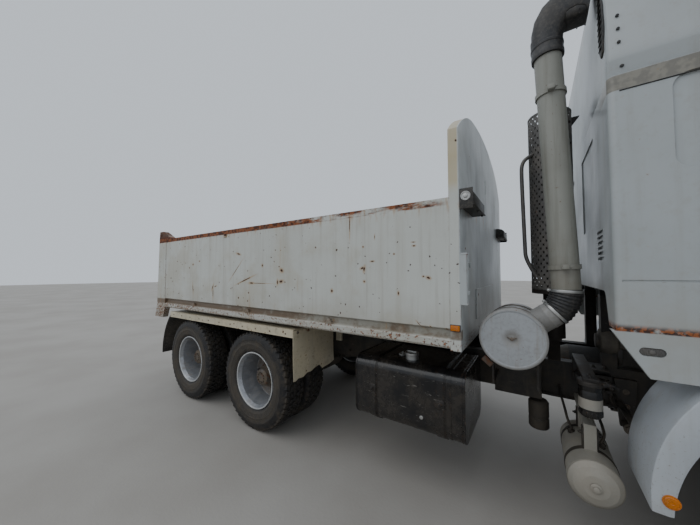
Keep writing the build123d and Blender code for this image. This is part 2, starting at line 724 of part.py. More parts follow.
with BuildPart() as intake_pipe:
    rod(PIPE_FOOT, PIPE_HEAD, PIPE_RADIUS)
    run = Vector(*PIPE_HEAD) - Vector(*PIPE_FOOT)
    for share in (0.085, 0.83):
        band = Vector(*PIPE_FOOT) + run * share
        rod(band, band + run.normalized() * 24, PIPE_RADIUS + 6)
        block(
            (band.X - 15, band.X + 15),
            (PIPE_Y + PIPE_RADIUS, GUARD_Y - GUARD_RADIUS - SEAT),
            (band.Z + 4, band.Z + 20),
        )
save(intake_pipe, "intake_pipe")

with BuildPart() as exhaust_guard:
    with BuildSketch(Plane.XY.offset(GUARD_LOW)) as guard_ring:
        with Locations((GUARD_X, GUARD_Y)):
            Circle(GUARD_RADIUS)
            Circle(GUARD_RADIUS - 4, mode=Mode.SUBTRACT)
    extrude(guard_ring.sketch, amount=GUARD_HIGH - GUARD_LOW)
    # A grab tube bent round the guard's rear, and a small fin at its top
    tube = [
        (GUARD_X - 106, GUARD_Y - 72, 2565),
        (GUARD_X - 179, GUARD_Y - 100, 2476),
        (GUARD_X - 169, GUARD_Y - 100, 1811),
        (GUARD_X - 100, GUARD_Y - 84, 1640),
    ]
    for start, end in zip(tube, tube[1:]):
        rod(start, end, 14)
    for joint in tube[1:-1]:
        with Locations(joint):
            Sphere(14)
    across(
        [
            (GUARD_X + GUARD_RADIUS - 4, GUARD_HIGH - 120),
            (GUARD_X + GUARD_RADIUS + 40, GUARD_HIGH - 60),
            (GUARD_X + GUARD_RADIUS - 4, GUARD_HIGH - 60),
        ],
        (GUARD_Y - 3, GUARD_Y + 3),
    )
save(exhaust_guard, "exhaust_guard")

STACK_RADIUS = 65
with BuildPart() as exhaust_stack:
    rod((GUARD_X, GUARD_Y, 1200), (GUARD_X, GUARD_Y, GUARD_HIGH + 40), STACK_RADIUS)
    rod((GUARD_X, GUARD_Y, 1650), (GUARD_X, GUARD_Y, GUARD_HIGH - 200), GUARD_RADIUS - 22)
    rod((GUARD_X, GUARD_Y, 1520), (GUARD_X, GUARD_Y, GUARD_LOW - SEAT), GUARD_RADIUS)
    block((GUARD_X - 40, GUARD_X + 40), (GUARD_Y - 40, -RAIL_OUT + 80), (1180, 1210))
    block((GUARD_X - 40, GUARD_X + 40), (-RAIL_OUT, -RAIL_OUT + 80), (RAIL_TOP + SEAT, 1210))
save(exhaust_stack, "exhaust_stack")

# Mudguards over the tandem
GUARD_REACH = TANDEM_SPREAD / 2 + 615
GUARD_REACH_REAR = TANDEM_SPREAD / 2 + 517
GUARD_SHEET = 8
GUARD_IN = 620
GUARD_TOP_REAR = 1118
GUARD_TOP_FRONT = 1130
ARC_RADIUS = 764
with BuildPart() as rear_mudguards:
    x_rear, x_front = X_TANDEM - GUARD_REACH_REAR, X_TANDEM + GUARD_REACH
    across(
        [
            (x_rear, GUARD_TOP_REAR - GUARD_SHEET),
            (x_front, GUARD_TOP_FRONT - GUARD_SHEET),
            (x_front, GUARD_TOP_FRONT),
            (x_rear, GUARD_TOP_REAR),
        ],
        span(-1, GUARD_IN, TRAY_HALF),
    )
    across(
        [
            (x_rear, GUARD_TOP_REAR - 70),
            (x_front, GUARD_TOP_FRONT - 75),
            (x_front, GUARD_TOP_FRONT),
            (x_rear, GUARD_TOP_REAR),
        ],
        span(-1, TRAY_HALF - GUARD_SHEET, TRAY_HALF),
    )
    stay_z = GUARD_TOP_REAR - 43
    for x in (x_rear + 40, X_TANDEM, x_front - 40):
        share = (x - x_rear) / (x_front - x_rear)
        sheet_low = GUARD_TOP_REAR + share * (GUARD_TOP_FRONT - GUARD_TOP_REAR) - GUARD_SHEET
        rod((x, -RAIL_OUT - 20, stay_z), (x, -TRAY_HALF + 100, stay_z), 21)
        block((x - 40, x + 40), span(-1, RAIL_OUT + SEAT, RAIL_OUT + 21), (RAIL_TOP - 120, stay_z + 25))
        block((x - 10, x + 10), span(-1, GUARD_IN + 20, TRAY_HALF - 100), (stay_z, sheet_low + 3))
    both_sides()
save(rear_mudguards, "rear_mudguards")

with BuildPart() as mud_flaps:
    x_front = X_TANDEM + GUARD_REACH + SEAT
    # The sheet ahead of the wheels, torn along its lower edge
    hung_z = GUARD_TOP_FRONT - GUARD_SHEET
    sheet = [
        (-TRAY_HALF, hung_z),
        (-GUARD_IN, hung_z),
        (-GUARD_IN, hung_z - 432),
        (-GUARD_IN - 200, hung_z - 467),
        (-GUARD_IN - 260, hung_z - 422),
        (-TRAY_HALF, hung_z - 482),
    ]
    along(sheet, (x_front, x_front + 6))
    # The curved guard behind the rear wheels
    centre = (X_AXLES_REAR["aft"], AXLE_Z)
    meets = GUARD_TOP_REAR - GUARD_SHEET - SEAT
    low_angle, high_angle = pi + 0.035, pi - asin((meets - AXLE_Z) / (ARC_RADIUS + GUARD_SHEET))
    with BuildSketch(Plane.XZ.offset(GUARD_IN + 20)) as arc_outline:
        with BuildLine():
            arc_points = [
                [
                    (centre[0] + radius * cos(angle), centre[1] + radius * sin(angle))
                    for angle in (high_angle, (low_angle + high_angle) / 2, low_angle)
                ]
                for radius in (ARC_RADIUS, ARC_RADIUS + GUARD_SHEET)
            ]
            inner = ThreePointArc(*arc_points[0])
            outer = ThreePointArc(*reversed(arc_points[1]))
            Line(inner @ 1, outer @ 0)
            Line(outer @ 1, inner @ 0)
        make_face()
    extrude(arc_outline.sketch, amount=TRAY_HALF - GUARD_SHEET - SEAT - GUARD_IN - 20)
    both_sides()
save(mud_flaps, "mud_flaps")

# Front fenders: the quarter behind each wheel
FENDER_FLANGE_RADIUS = 740
FENDER_RADIUS = 822
FENDER_LIFT = 102
FENDER_SHELL = 15
FENDER_Y = 850
FENDER_BOTTOM = 550
with BuildPart() as front_fenders:
    arch_z = AXLE_Z - 13
    for hole, hole_z, near, far in (
        (FENDER_RADIUS - FENDER_SHELL, arch_z + FENDER_LIFT, FENDER_Y, TRAY_HALF),
        (FENDER_FLANGE_RADIUS, arch_z, TRAY_HALF - 14, TRAY_HALF),
    ):
        with BuildSketch(Plane.XZ.offset(near)) as ring:
            with Locations((X_AXLE_FRONT, arch_z + FENDER_LIFT)):
                Circle(FENDER_RADIUS)
            with Locations((X_AXLE_FRONT, hole_z)):
                Circle(hole, mode=Mode.SUBTRACT)
        extrude(ring.sketch, amount=far - near)
    block(
        (X_AXLE_FRONT - FENDER_RADIUS, X_AXLE_FRONT - 300),
        (-TRAY_HALF, 0),
        (FENDER_BOTTOM, SILL_PANEL_BOTTOM - MOVING_GAP),
        mode=Mode.INTERSECT,
    )
    # The stay from the rail's web to the shell
    stay_z = RAIL_BOTTOM + 55
    stay_x = X_AXLE_FRONT - sqrt(FENDER_RADIUS**2 - (stay_z - arch_z - FENDER_LIFT) ** 2) - 6
    rod((stay_x, -RAIL_OUT - SEAT, stay_z), (stay_x, -FENDER_Y - 80, stay_z), 20)
    both_sides()
save(front_fenders, "front_fenders")


def front_outline(front, half, corner, z, rear=X_CAB_REAR):
    """The cab's outline seen from above: square at the back, round at both front corners."""
    with BuildSketch(Plane.XY.offset(z)) as outline:
        with BuildLine():
            Polyline((rear, -half), (front, -half), (front, half), (rear, half), close=True)
        make_face()
        fillet(outline.vertices().group_by(Axis.X)[-1], corner)
    return outline.sketch


def cab_solid(inset):
    """The closed form of the cab's front, drawn in by a wall: upright to the belt, then raked."""
    half, corner = CAB_HALF - inset, CAB_CORNER - inset
    with BuildPart() as solid:
        extrude(front_outline(X_CAB_FRONT - inset, half, corner, CAB_FRONT_LOW), amount=BELT_Z - CAB_FRONT_LOW)
        loft(
            sections=[
                front_outline(X_CAB_FRONT - inset, half, corner, BELT_Z),
                front_outline(X_CAB_FRONT - inset - SCREEN_RAKE, half, corner, CAB_TOP),
            ],
            ruled=True,
        )
    return solid.part


BUMPER_BOTTOM = 380
BUMPER_TOP = CAB_FRONT_LOW - MOVING_GAP
BUMPER_WALL = 25
BUMPER_REAR = X_CAB_FRONT - 330
LAMP_Y = (720, 1040)
LAMP_Z = (540, 700)
with BuildPart() as bumper:
    for inset, mode in ((0, Mode.ADD), (BUMPER_WALL, Mode.SUBTRACT)):
        with BuildSketch(Plane.XY.offset(BUMPER_BOTTOM)) as skin:
            with BuildLine():
                half, front = CAB_HALF - inset, X_FRONT - inset
                Polyline((BUMPER_REAR, -half), (front, -half), (front, half), (BUMPER_REAR, half), close=True)
            make_face()
            fillet(skin.vertices().group_by(Axis.X)[-1], CAB_CORNER + 20 - inset)
        extrude(skin.sketch, amount=BUMPER_TOP - BUMPER_BOTTOM, mode=mode)
    for side in SIDES.values():
        block((X_FRONT - 300, X_FRONT), span(side, *LAMP_Y), LAMP_Z, mode=Mode.SUBTRACT)
    block((X_FRONT - 300, X_FRONT), (-420, 420), (LAMP_Z[0], LAMP_Z[1] - 40), mode=Mode.SUBTRACT)
    # The beam behind the skin and its two arms from the rails
    beam_x = (X_FRONT - BUMPER_WALL - 90, X_FRONT - BUMPER_WALL + 1)
    block(beam_x, (-900, 900), (BUMPER_BOTTOM + 40, BUMPER_BOTTOM + 140))
    for side in SIDES.values():
        arm = [
            (beam_x[0] + 1, BUMPER_BOTTOM + 50),
            (beam_x[0] + 1, BUMPER_BOTTOM + 130),
            (RAIL_FRONT - 60, RAIL_BOTTOM - SEAT),
            (RAIL_FRONT - 160, RAIL_BOTTOM - SEAT),
        ]
        across(arm, span(side, RAIL_IN + 10, RAIL_OUT - 10))
save(bumper, "bumper")

with BuildPart() as lamps:
    # Headlamps fill the bumper's openings
    across(
        [
            (X_FRONT - 140, LAMP_Z[0] + SEAT),
            (X_FRONT - 4, LAMP_Z[0] + SEAT),
            (X_FRONT - 8, LAMP_Z[1] - SEAT),
            (X_FRONT - 140, LAMP_Z[1] - SEAT),
        ],
        (-LAMP_Y[1] + SEAT, -LAMP_Y[0] - SEAT),
    )
    # Tail lamps hang under the rails' rear ends on a bracket
    lamp_x = RAIL_REAR - 70
    block((lamp_x - 60, lamp_x), (-1000, -640), (640, 780))
    block((lamp_x - 20, lamp_x), (-650, -RAIL_IN), (RAIL_BOTTOM + 5, 780))
    block((lamp_x - 1, RAIL_REAR - SEAT), (-RAIL_OUT, -RAIL_OUT + 8), (RAIL_BOTTOM + 5, 780))
    both_sides()
save(lamps, "lamps")

# Steps ahead of the front wheels
STEP_X = (X_AXLE_FRONT + 750, BUMPER_REAR - SEAT)
with BuildPart() as steps:
    for low in (BUMPER_BOTTOM, BUMPER_TOP - 60):
        block(STEP_X, (-CAB_HALF, -930), (low, low + 50))
    across(
        [
            (STEP_X[0], BUMPER_BOTTOM),
            (STEP_X[1], BUMPER_BOTTOM),
            (STEP_X[1], BUMPER_TOP - 10),
            (STEP_X[0], BUMPER_TOP - 10),
        ],
        (-945, -930),
    )
    block((STEP_X[1] - 80, STEP_X[1] - 30), (-931, -RAIL_OUT - SEAT), (RAIL_BOTTOM + 20, RAIL_BOTTOM + 70))
    both_sides()
save(steps, "steps")

ARM_Y = (RAIL_IN - 60, RAIL_IN - 20)
with BuildPart() as cab_mounts:
    # Front: a bracket on each rail's end carries the pin that the cab tilts on
    bracket = [
        (RAIL_FRONT - 120, RAIL_TOP - 90),
        (RAIL_FRONT - 120, RAIL_BOTTOM + 60),
        (X_CAB_PIVOT - 20, CAB_PIVOT_Z - 45),
        (X_CAB_PIVOT + 40, CAB_PIVOT_Z - 30),
        (X_CAB_PIVOT + 40, CAB_PIVOT_Z + 30),
        (X_CAB_PIVOT - 20, CAB_PIVOT_Z + 45),
    ]
    across(bracket, (-RAIL_OUT - 20, -RAIL_OUT - SEAT))
    rod((X_CAB_PIVOT, -RAIL_OUT - 10, CAB_PIVOT_Z), (X_CAB_PIVOT, -ARM_Y[0] + 10, CAB_PIVOT_Z), CAB_PIN)
    # Rear: a post on each rail meets the deck
    deck_low = CAB_FLOOR_Z + DECK_STEP
    post_x = (X_CAB_REAR + 60, X_CAB_REAR + 140)
    block(post_x, (-RAIL_OUT, -RAIL_IN), (RAIL_TOP + SEAT, deck_low - 60))
    with Locations((sum(post_x) / 2, -(RAIL_OUT + RAIL_IN) / 2, deck_low - 30 - SEAT / 2)):
        Cylinder(38, 60 - SEAT)
    both_sides()
save(cab_mounts, "cab_mounts")

# Tray: floor with its bearers and sills, two sides with their rear posts, headboard and tailgate
X_FLOOR_REAR = X_REAR + 180
X_SIDE_FRONT = X_TRAY_FRONT - HEADBOARD_DEPTH - SEAT
X_SIDE_REAR = X_REAR + 60
POST_LENGTH = 260
POST_INNER = TRAY_HALF - 70
FLOOR_HALF = POST_INNER - SEAT
with BuildPart() as tray_floor:
    block((X_FLOOR_REAR, X_SIDE_FRONT), (-FLOOR_HALF, FLOOR_HALF), (FLOOR_TOP - FLOOR_PLATE, FLOOR_TOP))
    bearers = 10
    pitch = (X_SIDE_FRONT - X_FLOOR_REAR - 80) / (bearers - 1)
    for count in range(bearers):
        x = X_FLOOR_REAR + count * pitch
        bearer = (x, x + 80)
        block(bearer, (-FLOOR_HALF, FLOOR_HALF), (BEARER_BOTTOM, FLOOR_TOP - FLOOR_PLATE))
    for side in SIDES.values():
        sill = [
            (TIP_X - 60, TIP_Z - 45),
            (TIP_X - 30, TIP_Z - 75),
            (TIP_X, SILL_BOTTOM),
            (X_SIDE_FRONT - 60, SILL_BOTTOM),
            (X_SIDE_FRONT - 10, SILL_BOTTOM + 70),
            (X_SIDE_FRONT - 10, BEARER_BOTTOM + 1),
            (TIP_X - 60, BEARER_BOTTOM + 1),
        ]
        across(sill, span(side, SILL_OUT - SILL_WIDTH, SILL_OUT))
        # The ears that take the hoist's eye
        ear = [
            (EYE_X - 90, BEARER_BOTTOM - 1),
            (EYE_X + 90, BEARER_BOTTOM - 1),
            (EYE_X + 45, EYE_Z - 45),
            (EYE_X - 45, EYE_Z - 45),
        ]
        across(ear, span(side, 48, 66))
        rod((EYE_X, side * 47, EYE_Z), (EYE_X, side * 90, EYE_Z), TIP_PIN)
    block((EYE_X - 90, EYE_X + 90), (-SILL_OUT, SILL_OUT), (BEARER_BOTTOM - 2, FLOOR_TOP - FLOOR_PLATE + 1))
    rod((TIP_X, -SILL_OUT, TIP_Z), (TIP_X, SILL_OUT, TIP_Z), TIP_PIN + PIN_FIT, mode=Mode.SUBTRACT)
save(tray_floor, "tray_floor")

RAIL_LOW = BEARER_BOTTOM + 4
STEP_IN_Z = FLOOR_TOP + 5
SHEET_LOW = FLOOR_TOP + 55
with BuildPart() as tray_sides:
    section = [
        (POST_INNER, RAIL_LOW),
        (TRAY_HALF - 12, RAIL_LOW),
        (TRAY_HALF, RAIL_LOW + 14),
        (TRAY_HALF, RAIL_LOW + 56),
        (TRAY_HALF - 12, RAIL_LOW + 70),
        (TRAY_HALF - 28, STEP_IN_Z),
        (TRAY_HALF - 28, SHEET_LOW - 10),
        (TRAY_HALF, SHEET_LOW + 5),
        (TRAY_HALF, SIDE_TOP),
        (TRAY_HALF - 70, SIDE_TOP),
        (TRAY_HALF - 70, SIDE_TOP - 45),
        (TRAY_HALF - TRAY_WALL, SIDE_TOP - 60),
        (TRAY_HALF - TRAY_WALL, FLOOR_TOP + SEAT),
        (POST_INNER, FLOOR_TOP + SEAT),
    ]
    along([(-y, z) for y, z in section], (X_SIDE_REAR + POST_LENGTH, X_SIDE_FRONT))
    # The rear post: upright with a hinge ear and its gusset above, a hanging plate below
    post = [
        (X_SIDE_REAR + POST_LENGTH + 1, RAIL_LOW),
        (X_SIDE_REAR + POST_LENGTH + 1, SIDE_TOP - 60),
        (X_SIDE_REAR + POST_LENGTH + 210, SIDE_TOP - 20),
        (X_SIDE_REAR + 160, SIDE_TOP + 120),
        (X_SIDE_REAR + 50, SIDE_TOP + 120),
        (X_SIDE_REAR + 35, SIDE_TOP),
        (X_SIDE_REAR, RAIL_LOW + 10),
        (X_REAR, RAIL_LOW - 152),
        (X_REAR + POST_LENGTH, RAIL_LOW - 152),
    ]
    across(post, (-TRAY_HALF - 2, -POST_INNER))
    tail_pin = (X_SIDE_REAR + 100, SIDE_TOP + 65)
    pin_hole = (tail_pin[0], -TRAY_HALF - 3, tail_pin[1]), (tail_pin[0], 0, tail_pin[1])
    rod(*pin_hole, 18 + PIN_FIT, mode=Mode.SUBTRACT)
    # Gaps between the stitch welds that join the sheet to the post
    for low, high in ((17, 121), (195, 284), (388, 507), (633, 715)):
        x = X_SIDE_REAR + POST_LENGTH - 6
        gap_z = (FLOOR_TOP + low, FLOOR_TOP + high)
        block((x, x + 7), (-TRAY_HALF - 3, -TRAY_HALF + 12), gap_z, mode=Mode.SUBTRACT)
    both_sides()
save(tray_sides, "tray_sides")

SHOULDER = (720, HEADBOARD_TOP - 75)
EDGE_TOP = HEADBOARD_TOP - 350


def headboard_outline(inset, low):
    """The headboard seen from the front: upright edges, round shoulders and an arched top."""
    with BuildSketch(Plane.YZ.offset(X_TRAY_FRONT - HEADBOARD_DEPTH)) as outline:
        with BuildLine():
            half = TRAY_HALF - inset
            shoulder = SHOULDER[0] - inset / 2, SHOULDER[1] - inset
            crown = ThreePointArc((-shoulder[0], shoulder[1]), (0, HEADBOARD_TOP - inset), shoulder)
            right = TangentArc(crown @ 1, (half, EDGE_TOP - inset), tangent=crown % 1)
            left = TangentArc(crown @ 0, (-half, EDGE_TOP - inset), tangent=-(crown % 0))
            Polyline(right @ 1, (half, low), (-half, low), left @ 1)
        make_face()
    return outline.sketch


with BuildPart() as headboard:
    extrude(headboard_outline(0, RAIL_LOW - 10), amount=HEADBOARD_DEPTH)
    extrude(headboard_outline(8, FLOOR_TOP), amount=HEADBOARD_DEPTH - 8, mode=Mode.SUBTRACT)
    # A flat stiffening patch low on the front, and the slot near the top
    block((X_TRAY_FRONT - 1, X_TRAY_FRONT + 6), (-710, 380), (FLOOR_TOP + 55, FLOOR_TOP + 295))
    with BuildSketch(Plane.YZ.offset(X_TRAY_FRONT - HEADBOARD_DEPTH)) as slot:
        with Locations((-70, HEADBOARD_TOP - 465)):
            SlotOverall(145, 40, rotation=90)
    extrude(slot.sketch, amount=HEADBOARD_DEPTH, mode=Mode.SUBTRACT)
    # The latch post on the right edge
    latch_z = (FLOOR_TOP + 230, FLOOR_TOP + 555)
    block((X_TRAY_FRONT - 1, X_TRAY_FRONT + 38), (-TRAY_HALF, -TRAY_HALF + 50), latch_z)
save(headboard, "headboard")

with BuildPart() as tarp_boxes:
    x, low = X_TRAY_FRONT + SEAT, SIDE_TOP - 64
    box_end = [(x, low), (x + 88, low), (x + 88, low + 79), (x + 60, low + 101), (x, low + 101)]
    across(box_end, (-TRAY_HALF, -790))
    rod((x + 40, -TRAY_HALF - 8, low + 57), (x + 40, -TRAY_HALF + 2, low + 57), 24)
    both_sides()
save(tarp_boxes, "tarp_boxes")

GATE_HALF = POST_INNER - MOVING_GAP
GATE_LOW = FLOOR_TOP - 60
with BuildPart() as tailgate:
    lean = 28
    gate_x = X_SIDE_REAR + 50
    panel = [
        (gate_x + 45, SIDE_TOP - 10),
        (gate_x + 45 - lean, GATE_LOW),
        (gate_x - 15 - lean, GATE_LOW),
        (gate_x - 15, SIDE_TOP - 10),
    ]
    across(panel, (-GATE_HALF, GATE_HALF))
    for z in (GATE_LOW, (GATE_LOW + SIDE_TOP) / 2 - 40, SIDE_TOP - 90):
        x = gate_x - 15 - lean * (SIDE_TOP - z) / (SIDE_TOP - GATE_LOW)
        across([(x + 5, z), (x - 50, z + 12), (x - 50, z + 68), (x + 5, z + 80)], (-GATE_HALF, GATE_HALF))
    ribs = 6
    for count in range(ribs):
        y = -GATE_HALF + 40 + count * (2 * GATE_HALF - 80) / (ribs - 1)
        rib = [
            (gate_x - 14 - lean, GATE_LOW + 10),
            (gate_x - 60 - lean, GATE_LOW + 14),
            (gate_x - 60, SIDE_TOP - 24),
            (gate_x - 14, SIDE_TOP - 12),
        ]
        across(rib, (y - 30, y + 30))
    for side in SIDES.values():
        arm = [
            (gate_x + 40, SIDE_TOP - 12),
            (gate_x - 14, SIDE_TOP - 12),
            (tail_pin[0] - 30, tail_pin[1] + 30),
            (tail_pin[0] + 30, tail_pin[1] + 30),
            (tail_pin[0] + 30, tail_pin[1] - 30),
        ]
        across(arm, span(side, GATE_HALF - 50, GATE_HALF))
        rod(
            (tail_pin[0], side * (GATE_HALF - 60), tail_pin[1]),
            (tail_pin[0], side * (TRAY_HALF + 12), tail_pin[1]),
            18,
        )
save(tailgate, "tailgate")

# Hoist cylinder
HOIST_FOOT = Vector(HOIST_X, 0, HOIST_Z)
HOIST_EYE = Vector(EYE_X, 0, EYE_Z)
HOIST_RUN = (HOIST_EYE - HOIST_FOOT).normalized()
CLOSED_LENGTH = (HOIST_EYE - HOIST_FOOT).length
BARREL_END = CLOSED_LENGTH - 150
with BuildPart() as hoist_barrel:
    rod(HOIST_FOOT + HOIST_RUN * 60, HOIST_FOOT + HOIST_RUN * BARREL_END, BARREL_RADIUS)
    rod(HOIST_FOOT + HOIST_RUN * 120, HOIST_FOOT + HOIST_RUN * (BARREL_END - 60), 62, mode=Mode.SUBTRACT)
    rod(HOIST_FOOT + HOIST_RUN * 120, HOIST_FOOT + HOIST_RUN * BARREL_END, ROD_RADIUS + SEAT, mode=Mode.SUBTRACT)
    eye_half = BARREL_RADIUS + 3
    rod(HOIST_FOOT + HOIST_RUN * 20, HOIST_FOOT + HOIST_RUN * 61, 48)
    rod((HOIST_X, -eye_half, HOIST_Z), (HOIST_X, eye_half, HOIST_Z), 48)
    rod((HOIST_X, -eye_half, HOIST_Z), (HOIST_X, eye_half, HOIST_Z), TIP_PIN + PIN_FIT, mode=Mode.SUBTRACT)
save(hoist_barrel, "hoist_barrel")

with BuildPart() as hoist_rod:
    rod(HOIST_FOOT + HOIST_RUN * 135, HOIST_FOOT + HOIST_RUN * 205, 62 - SEAT)
    rod(HOIST_FOOT + HOIST_RUN * 135, HOIST_EYE - HOIST_RUN * 20, ROD_RADIUS)
    rod((EYE_X, -42, EYE_Z), (EYE_X, 42, EYE_Z), 52)
save(hoist_rod, "hoist_rod")

# Cab: floor, rear wall, sides, front, roof, doors, glass and what is seen through it
DECK_Z = CAB_FLOOR_Z + DECK_STEP
DECK_PLATE = 30
INNER_HALF = CAB_HALF - CAB_WALL - SEAT
X_INNER_FRONT = X_CAB_FRONT - CAB_WALL
with BuildPart() as cab_floor:
    across(
        [
            (X_CAB_REAR + 40 + SEAT, DECK_Z),
            (X_DOOR_REAR - 20, DECK_Z),
            (X_DOOR_REAR - 20, CAB_FLOOR_Z),
            (X_INNER_FRONT - 220, CAB_FLOOR_Z),
            (X_INNER_FRONT - 220, CAB_FLOOR_Z + 40),
            (X_DOOR_REAR + 20, CAB_FLOOR_Z + 40),
            (X_DOOR_REAR + 20, DECK_Z + DECK_PLATE),
            (X_CAB_REAR + 40 + SEAT, DECK_Z + DECK_PLATE),
        ],
        (-INNER_HALF, INNER_HALF),
    )
    block((X_INNER_FRONT - 221, X_INNER_FRONT - SEAT), (-980, 980), (CAB_FLOOR_Z, CAB_FLOOR_Z + 40))
    for side in SIDES.values():
        # The floor stays clear of the doors
        block(
            (X_DOOR_REAR - HINGE_GAP, X_DOOR_FRONT + HINGE_GAP),
            span(side, INNER_HALF - HINGE_GAP, CAB_HALF),
            (CAB_FLOOR_Z - 1, DECK_Z + DECK_PLATE + 1),
            mode=Mode.SUBTRACT,
        )
        arm = [
            (X_CAB_PIVOT - 45, CAB_FLOOR_Z + 1),
            (X_CAB_PIVOT - 45, CAB_PIVOT_Z - 30),
            (X_CAB_PIVOT, CAB_PIVOT_Z - 45),
            (X_CAB_PIVOT + 45, CAB_PIVOT_Z - 10),
            (X_CAB_PIVOT + 45, CAB_FLOOR_Z + 1),
        ]
        across(arm, span(side, *ARM_Y))
        rod(
            (X_CAB_PIVOT, side * (ARM_Y[0] - 10), CAB_PIVOT_Z),
            (X_CAB_PIVOT, side * (ARM_Y[1] + 10), CAB_PIVOT_Z),
            CAB_PIN + PIN_FIT,
            mode=Mode.SUBTRACT,
        )
save(cab_floor, "cab_floor")

with BuildPart() as cab_rear:
    block((X_CAB_REAR, X_CAB_REAR + 40), (-INNER_HALF, INNER_HALF), (CAB_FLOOR_Z, CAB_TOP))
    # The arch over the engine, and shallow pressings
    with BuildSketch(Plane.YZ.offset(X_CAB_REAR)) as arch:
        with BuildLine():
            Polyline(
                (-1090, CAB_FLOOR_Z), (-1010, DECK_Z), (1010, DECK_Z), (1090, CAB_FLOOR_Z), close=True
            )
        make_face()
        fillet(arch.vertices().group_by(Axis.Y)[-1], 60)
    extrude(arch.sketch, amount=40, mode=Mode.SUBTRACT)
    for side in SIDES.values():
        block((X_CAB_REAR, X_CAB_REAR + 8), span(side, 250, 780), (BELT_Z + 220, CAB_TOP - 130), mode=Mode.SUBTRACT)
        for count in range(6):
            z = BELT_Z - 10 + 32 * count
            block((X_CAB_REAR, X_CAB_REAR + 12), span(side, 830, 1000), (z, z + 18), mode=Mode.SUBTRACT)
save(cab_rear, "cab_rear")

WINDOW_LOW = 1960
WINDOW_HIGH = 2520


def door_outline(gap):
    """A door's outline, grown by a gap: upright edges, then the front edge follows the screen's rake."""
    rake = SCREEN_RAKE * (CAB_TOP - 90 - BELT_Z) / (CAB_TOP - BELT_Z)
    return [
        (X_DOOR_REAR - gap, CAB_FLOOR_Z + HINGE_GAP - gap),
        (X_DOOR_FRONT + gap, CAB_FLOOR_Z + HINGE_GAP - gap),
        (X_DOOR_FRONT + gap, BELT_Z),
        (X_DOOR_FRONT + gap - rake, CAB_TOP - 90 + gap),
        (X_DOOR_REAR - gap, CAB_TOP - 90 + gap),
    ]


X_SIDE_SPLIT = X_CAB_FRONT - CAB_CORNER

# Door hinges stand on the skin, ahead of each door
HINGE_X = X_DOOR_FRONT + HINGE_GAP / 2
HINGE_Y = CAB_HALF + 14
HINGE_PIN = 6
HINGE_BARREL = 11
HINGE_LEAF = 38
HINGE_REACH = 35
KNUCKLE_HALF = 12
HINGE_HEIGHTS = (BELT_Z - 260, BELT_Z - 60)
with BuildPart() as cab_sides:
    across(
        [
            (X_CAB_REAR, CAB_FLOOR_Z),
            (X_SIDE_SPLIT, CAB_FLOOR_Z),
            (X_SIDE_SPLIT, BELT_Z),
            (X_SIDE_SPLIT - SCREEN_RAKE, CAB_TOP),
            (X_CAB_REAR, CAB_TOP),
        ],
        (-CAB_HALF, -CAB_HALF + CAB_WALL),
    )
    fillet(cab_sides.edges().filter_by(Axis.Z).sort_by(Axis.X)[:2].sort_by(Axis.Y)[:1], 30)
    across(door_outline(HINGE_GAP), (-CAB_HALF, -CAB_HALF + CAB_WALL), mode=Mode.SUBTRACT)
    # The blanked sleeper window and the pressed line below it
    blank_x = (X_CAB_REAR + 228, X_DOOR_REAR - 110)
    blank_low, blank_high = BELT_Z + 405, CAB_TOP - 78
    across(
        [(blank_x[0], blank_low), (blank_x[1], blank_low), (blank_x[1], blank_high), (blank_x[0], blank_high)],
        (-CAB_HALF, -CAB_HALF + 9),
        radius=60,
        mode=Mode.SUBTRACT,
    )
    crease = (BELT_Z - 132, BELT_Z - 122)
    block((X_CAB_REAR + 30, X_DOOR_REAR - 20), (-CAB_HALF, -CAB_HALF + 4), crease, mode=Mode.SUBTRACT)
    # The pillar's half of each door hinge: a pin between two knuckles on their leaves
    for z in HINGE_HEIGHTS:
        rod((HINGE_X, -HINGE_Y, z - HINGE_REACH), (HINGE_X, -HINGE_Y, z + HINGE_REACH), HINGE_PIN)
        for low, high in ((z - HINGE_REACH, z - KNUCKLE_HALF), (z + KNUCKLE_HALF, z + HINGE_REACH)):
            rod((HINGE_X, -HINGE_Y, low), (HINGE_X, -HINGE_Y, high), HINGE_BARREL)
            block(
                (X_DOOR_FRONT + HINGE_GAP, X_DOOR_FRONT + HINGE_LEAF),
                (-HINGE_Y + HINGE_PIN, -CAB_HALF + 1),
                (low, high),
            )
    both_sides()
save(cab_sides, "cab_sides")

SCREEN_LOW = 1800
SCREEN_HIGH = 2590
SCREEN_HALF = 1090
with BuildPart() as cab_front:
    add(cab_solid(0))
    add(cab_solid(CAB_WALL), mode=Mode.SUBTRACT)
    # Only what is ahead of the sides, with the opening for the windscreen and the grille's recess
    across(
        [
            (X_CAB_REAR - 1, CAB_FRONT_LOW - 1),
            (X_SIDE_SPLIT + SEAT, CAB_FRONT_LOW - 1),
            (X_SIDE_SPLIT + SEAT, BELT_Z),
            (X_SIDE_SPLIT + SEAT - SCREEN_RAKE, CAB_TOP + 1),
            (X_CAB_REAR - 1, CAB_TOP + 1),
        ],
        (-CAB_HALF - 1, CAB_HALF + 1),
        mode=Mode.SUBTRACT,
    )
    block((X_CAB_FRONT - 400, X_CAB_FRONT + 1), (-SCREEN_HALF, SCREEN_HALF), (SCREEN_LOW, SCREEN_HIGH), Mode.SUBTRACT)
    # The grille: bars across a recess in the panel
    recess_x = X_CAB_FRONT - 30
    block((recess_x, X_CAB_FRONT + 1), (-820, 820), (1000, 1480), Mode.SUBTRACT)
    for z in range(1020, 1470, 60):
        bar = [
            (recess_x - 1, z),
            (recess_x + 26, z + 8),
            (recess_x + 26, z + 30),
            (recess_x - 1, z + 38),
        ]
        across(bar, (-821, 821))
save(cab_front, "cab_front")

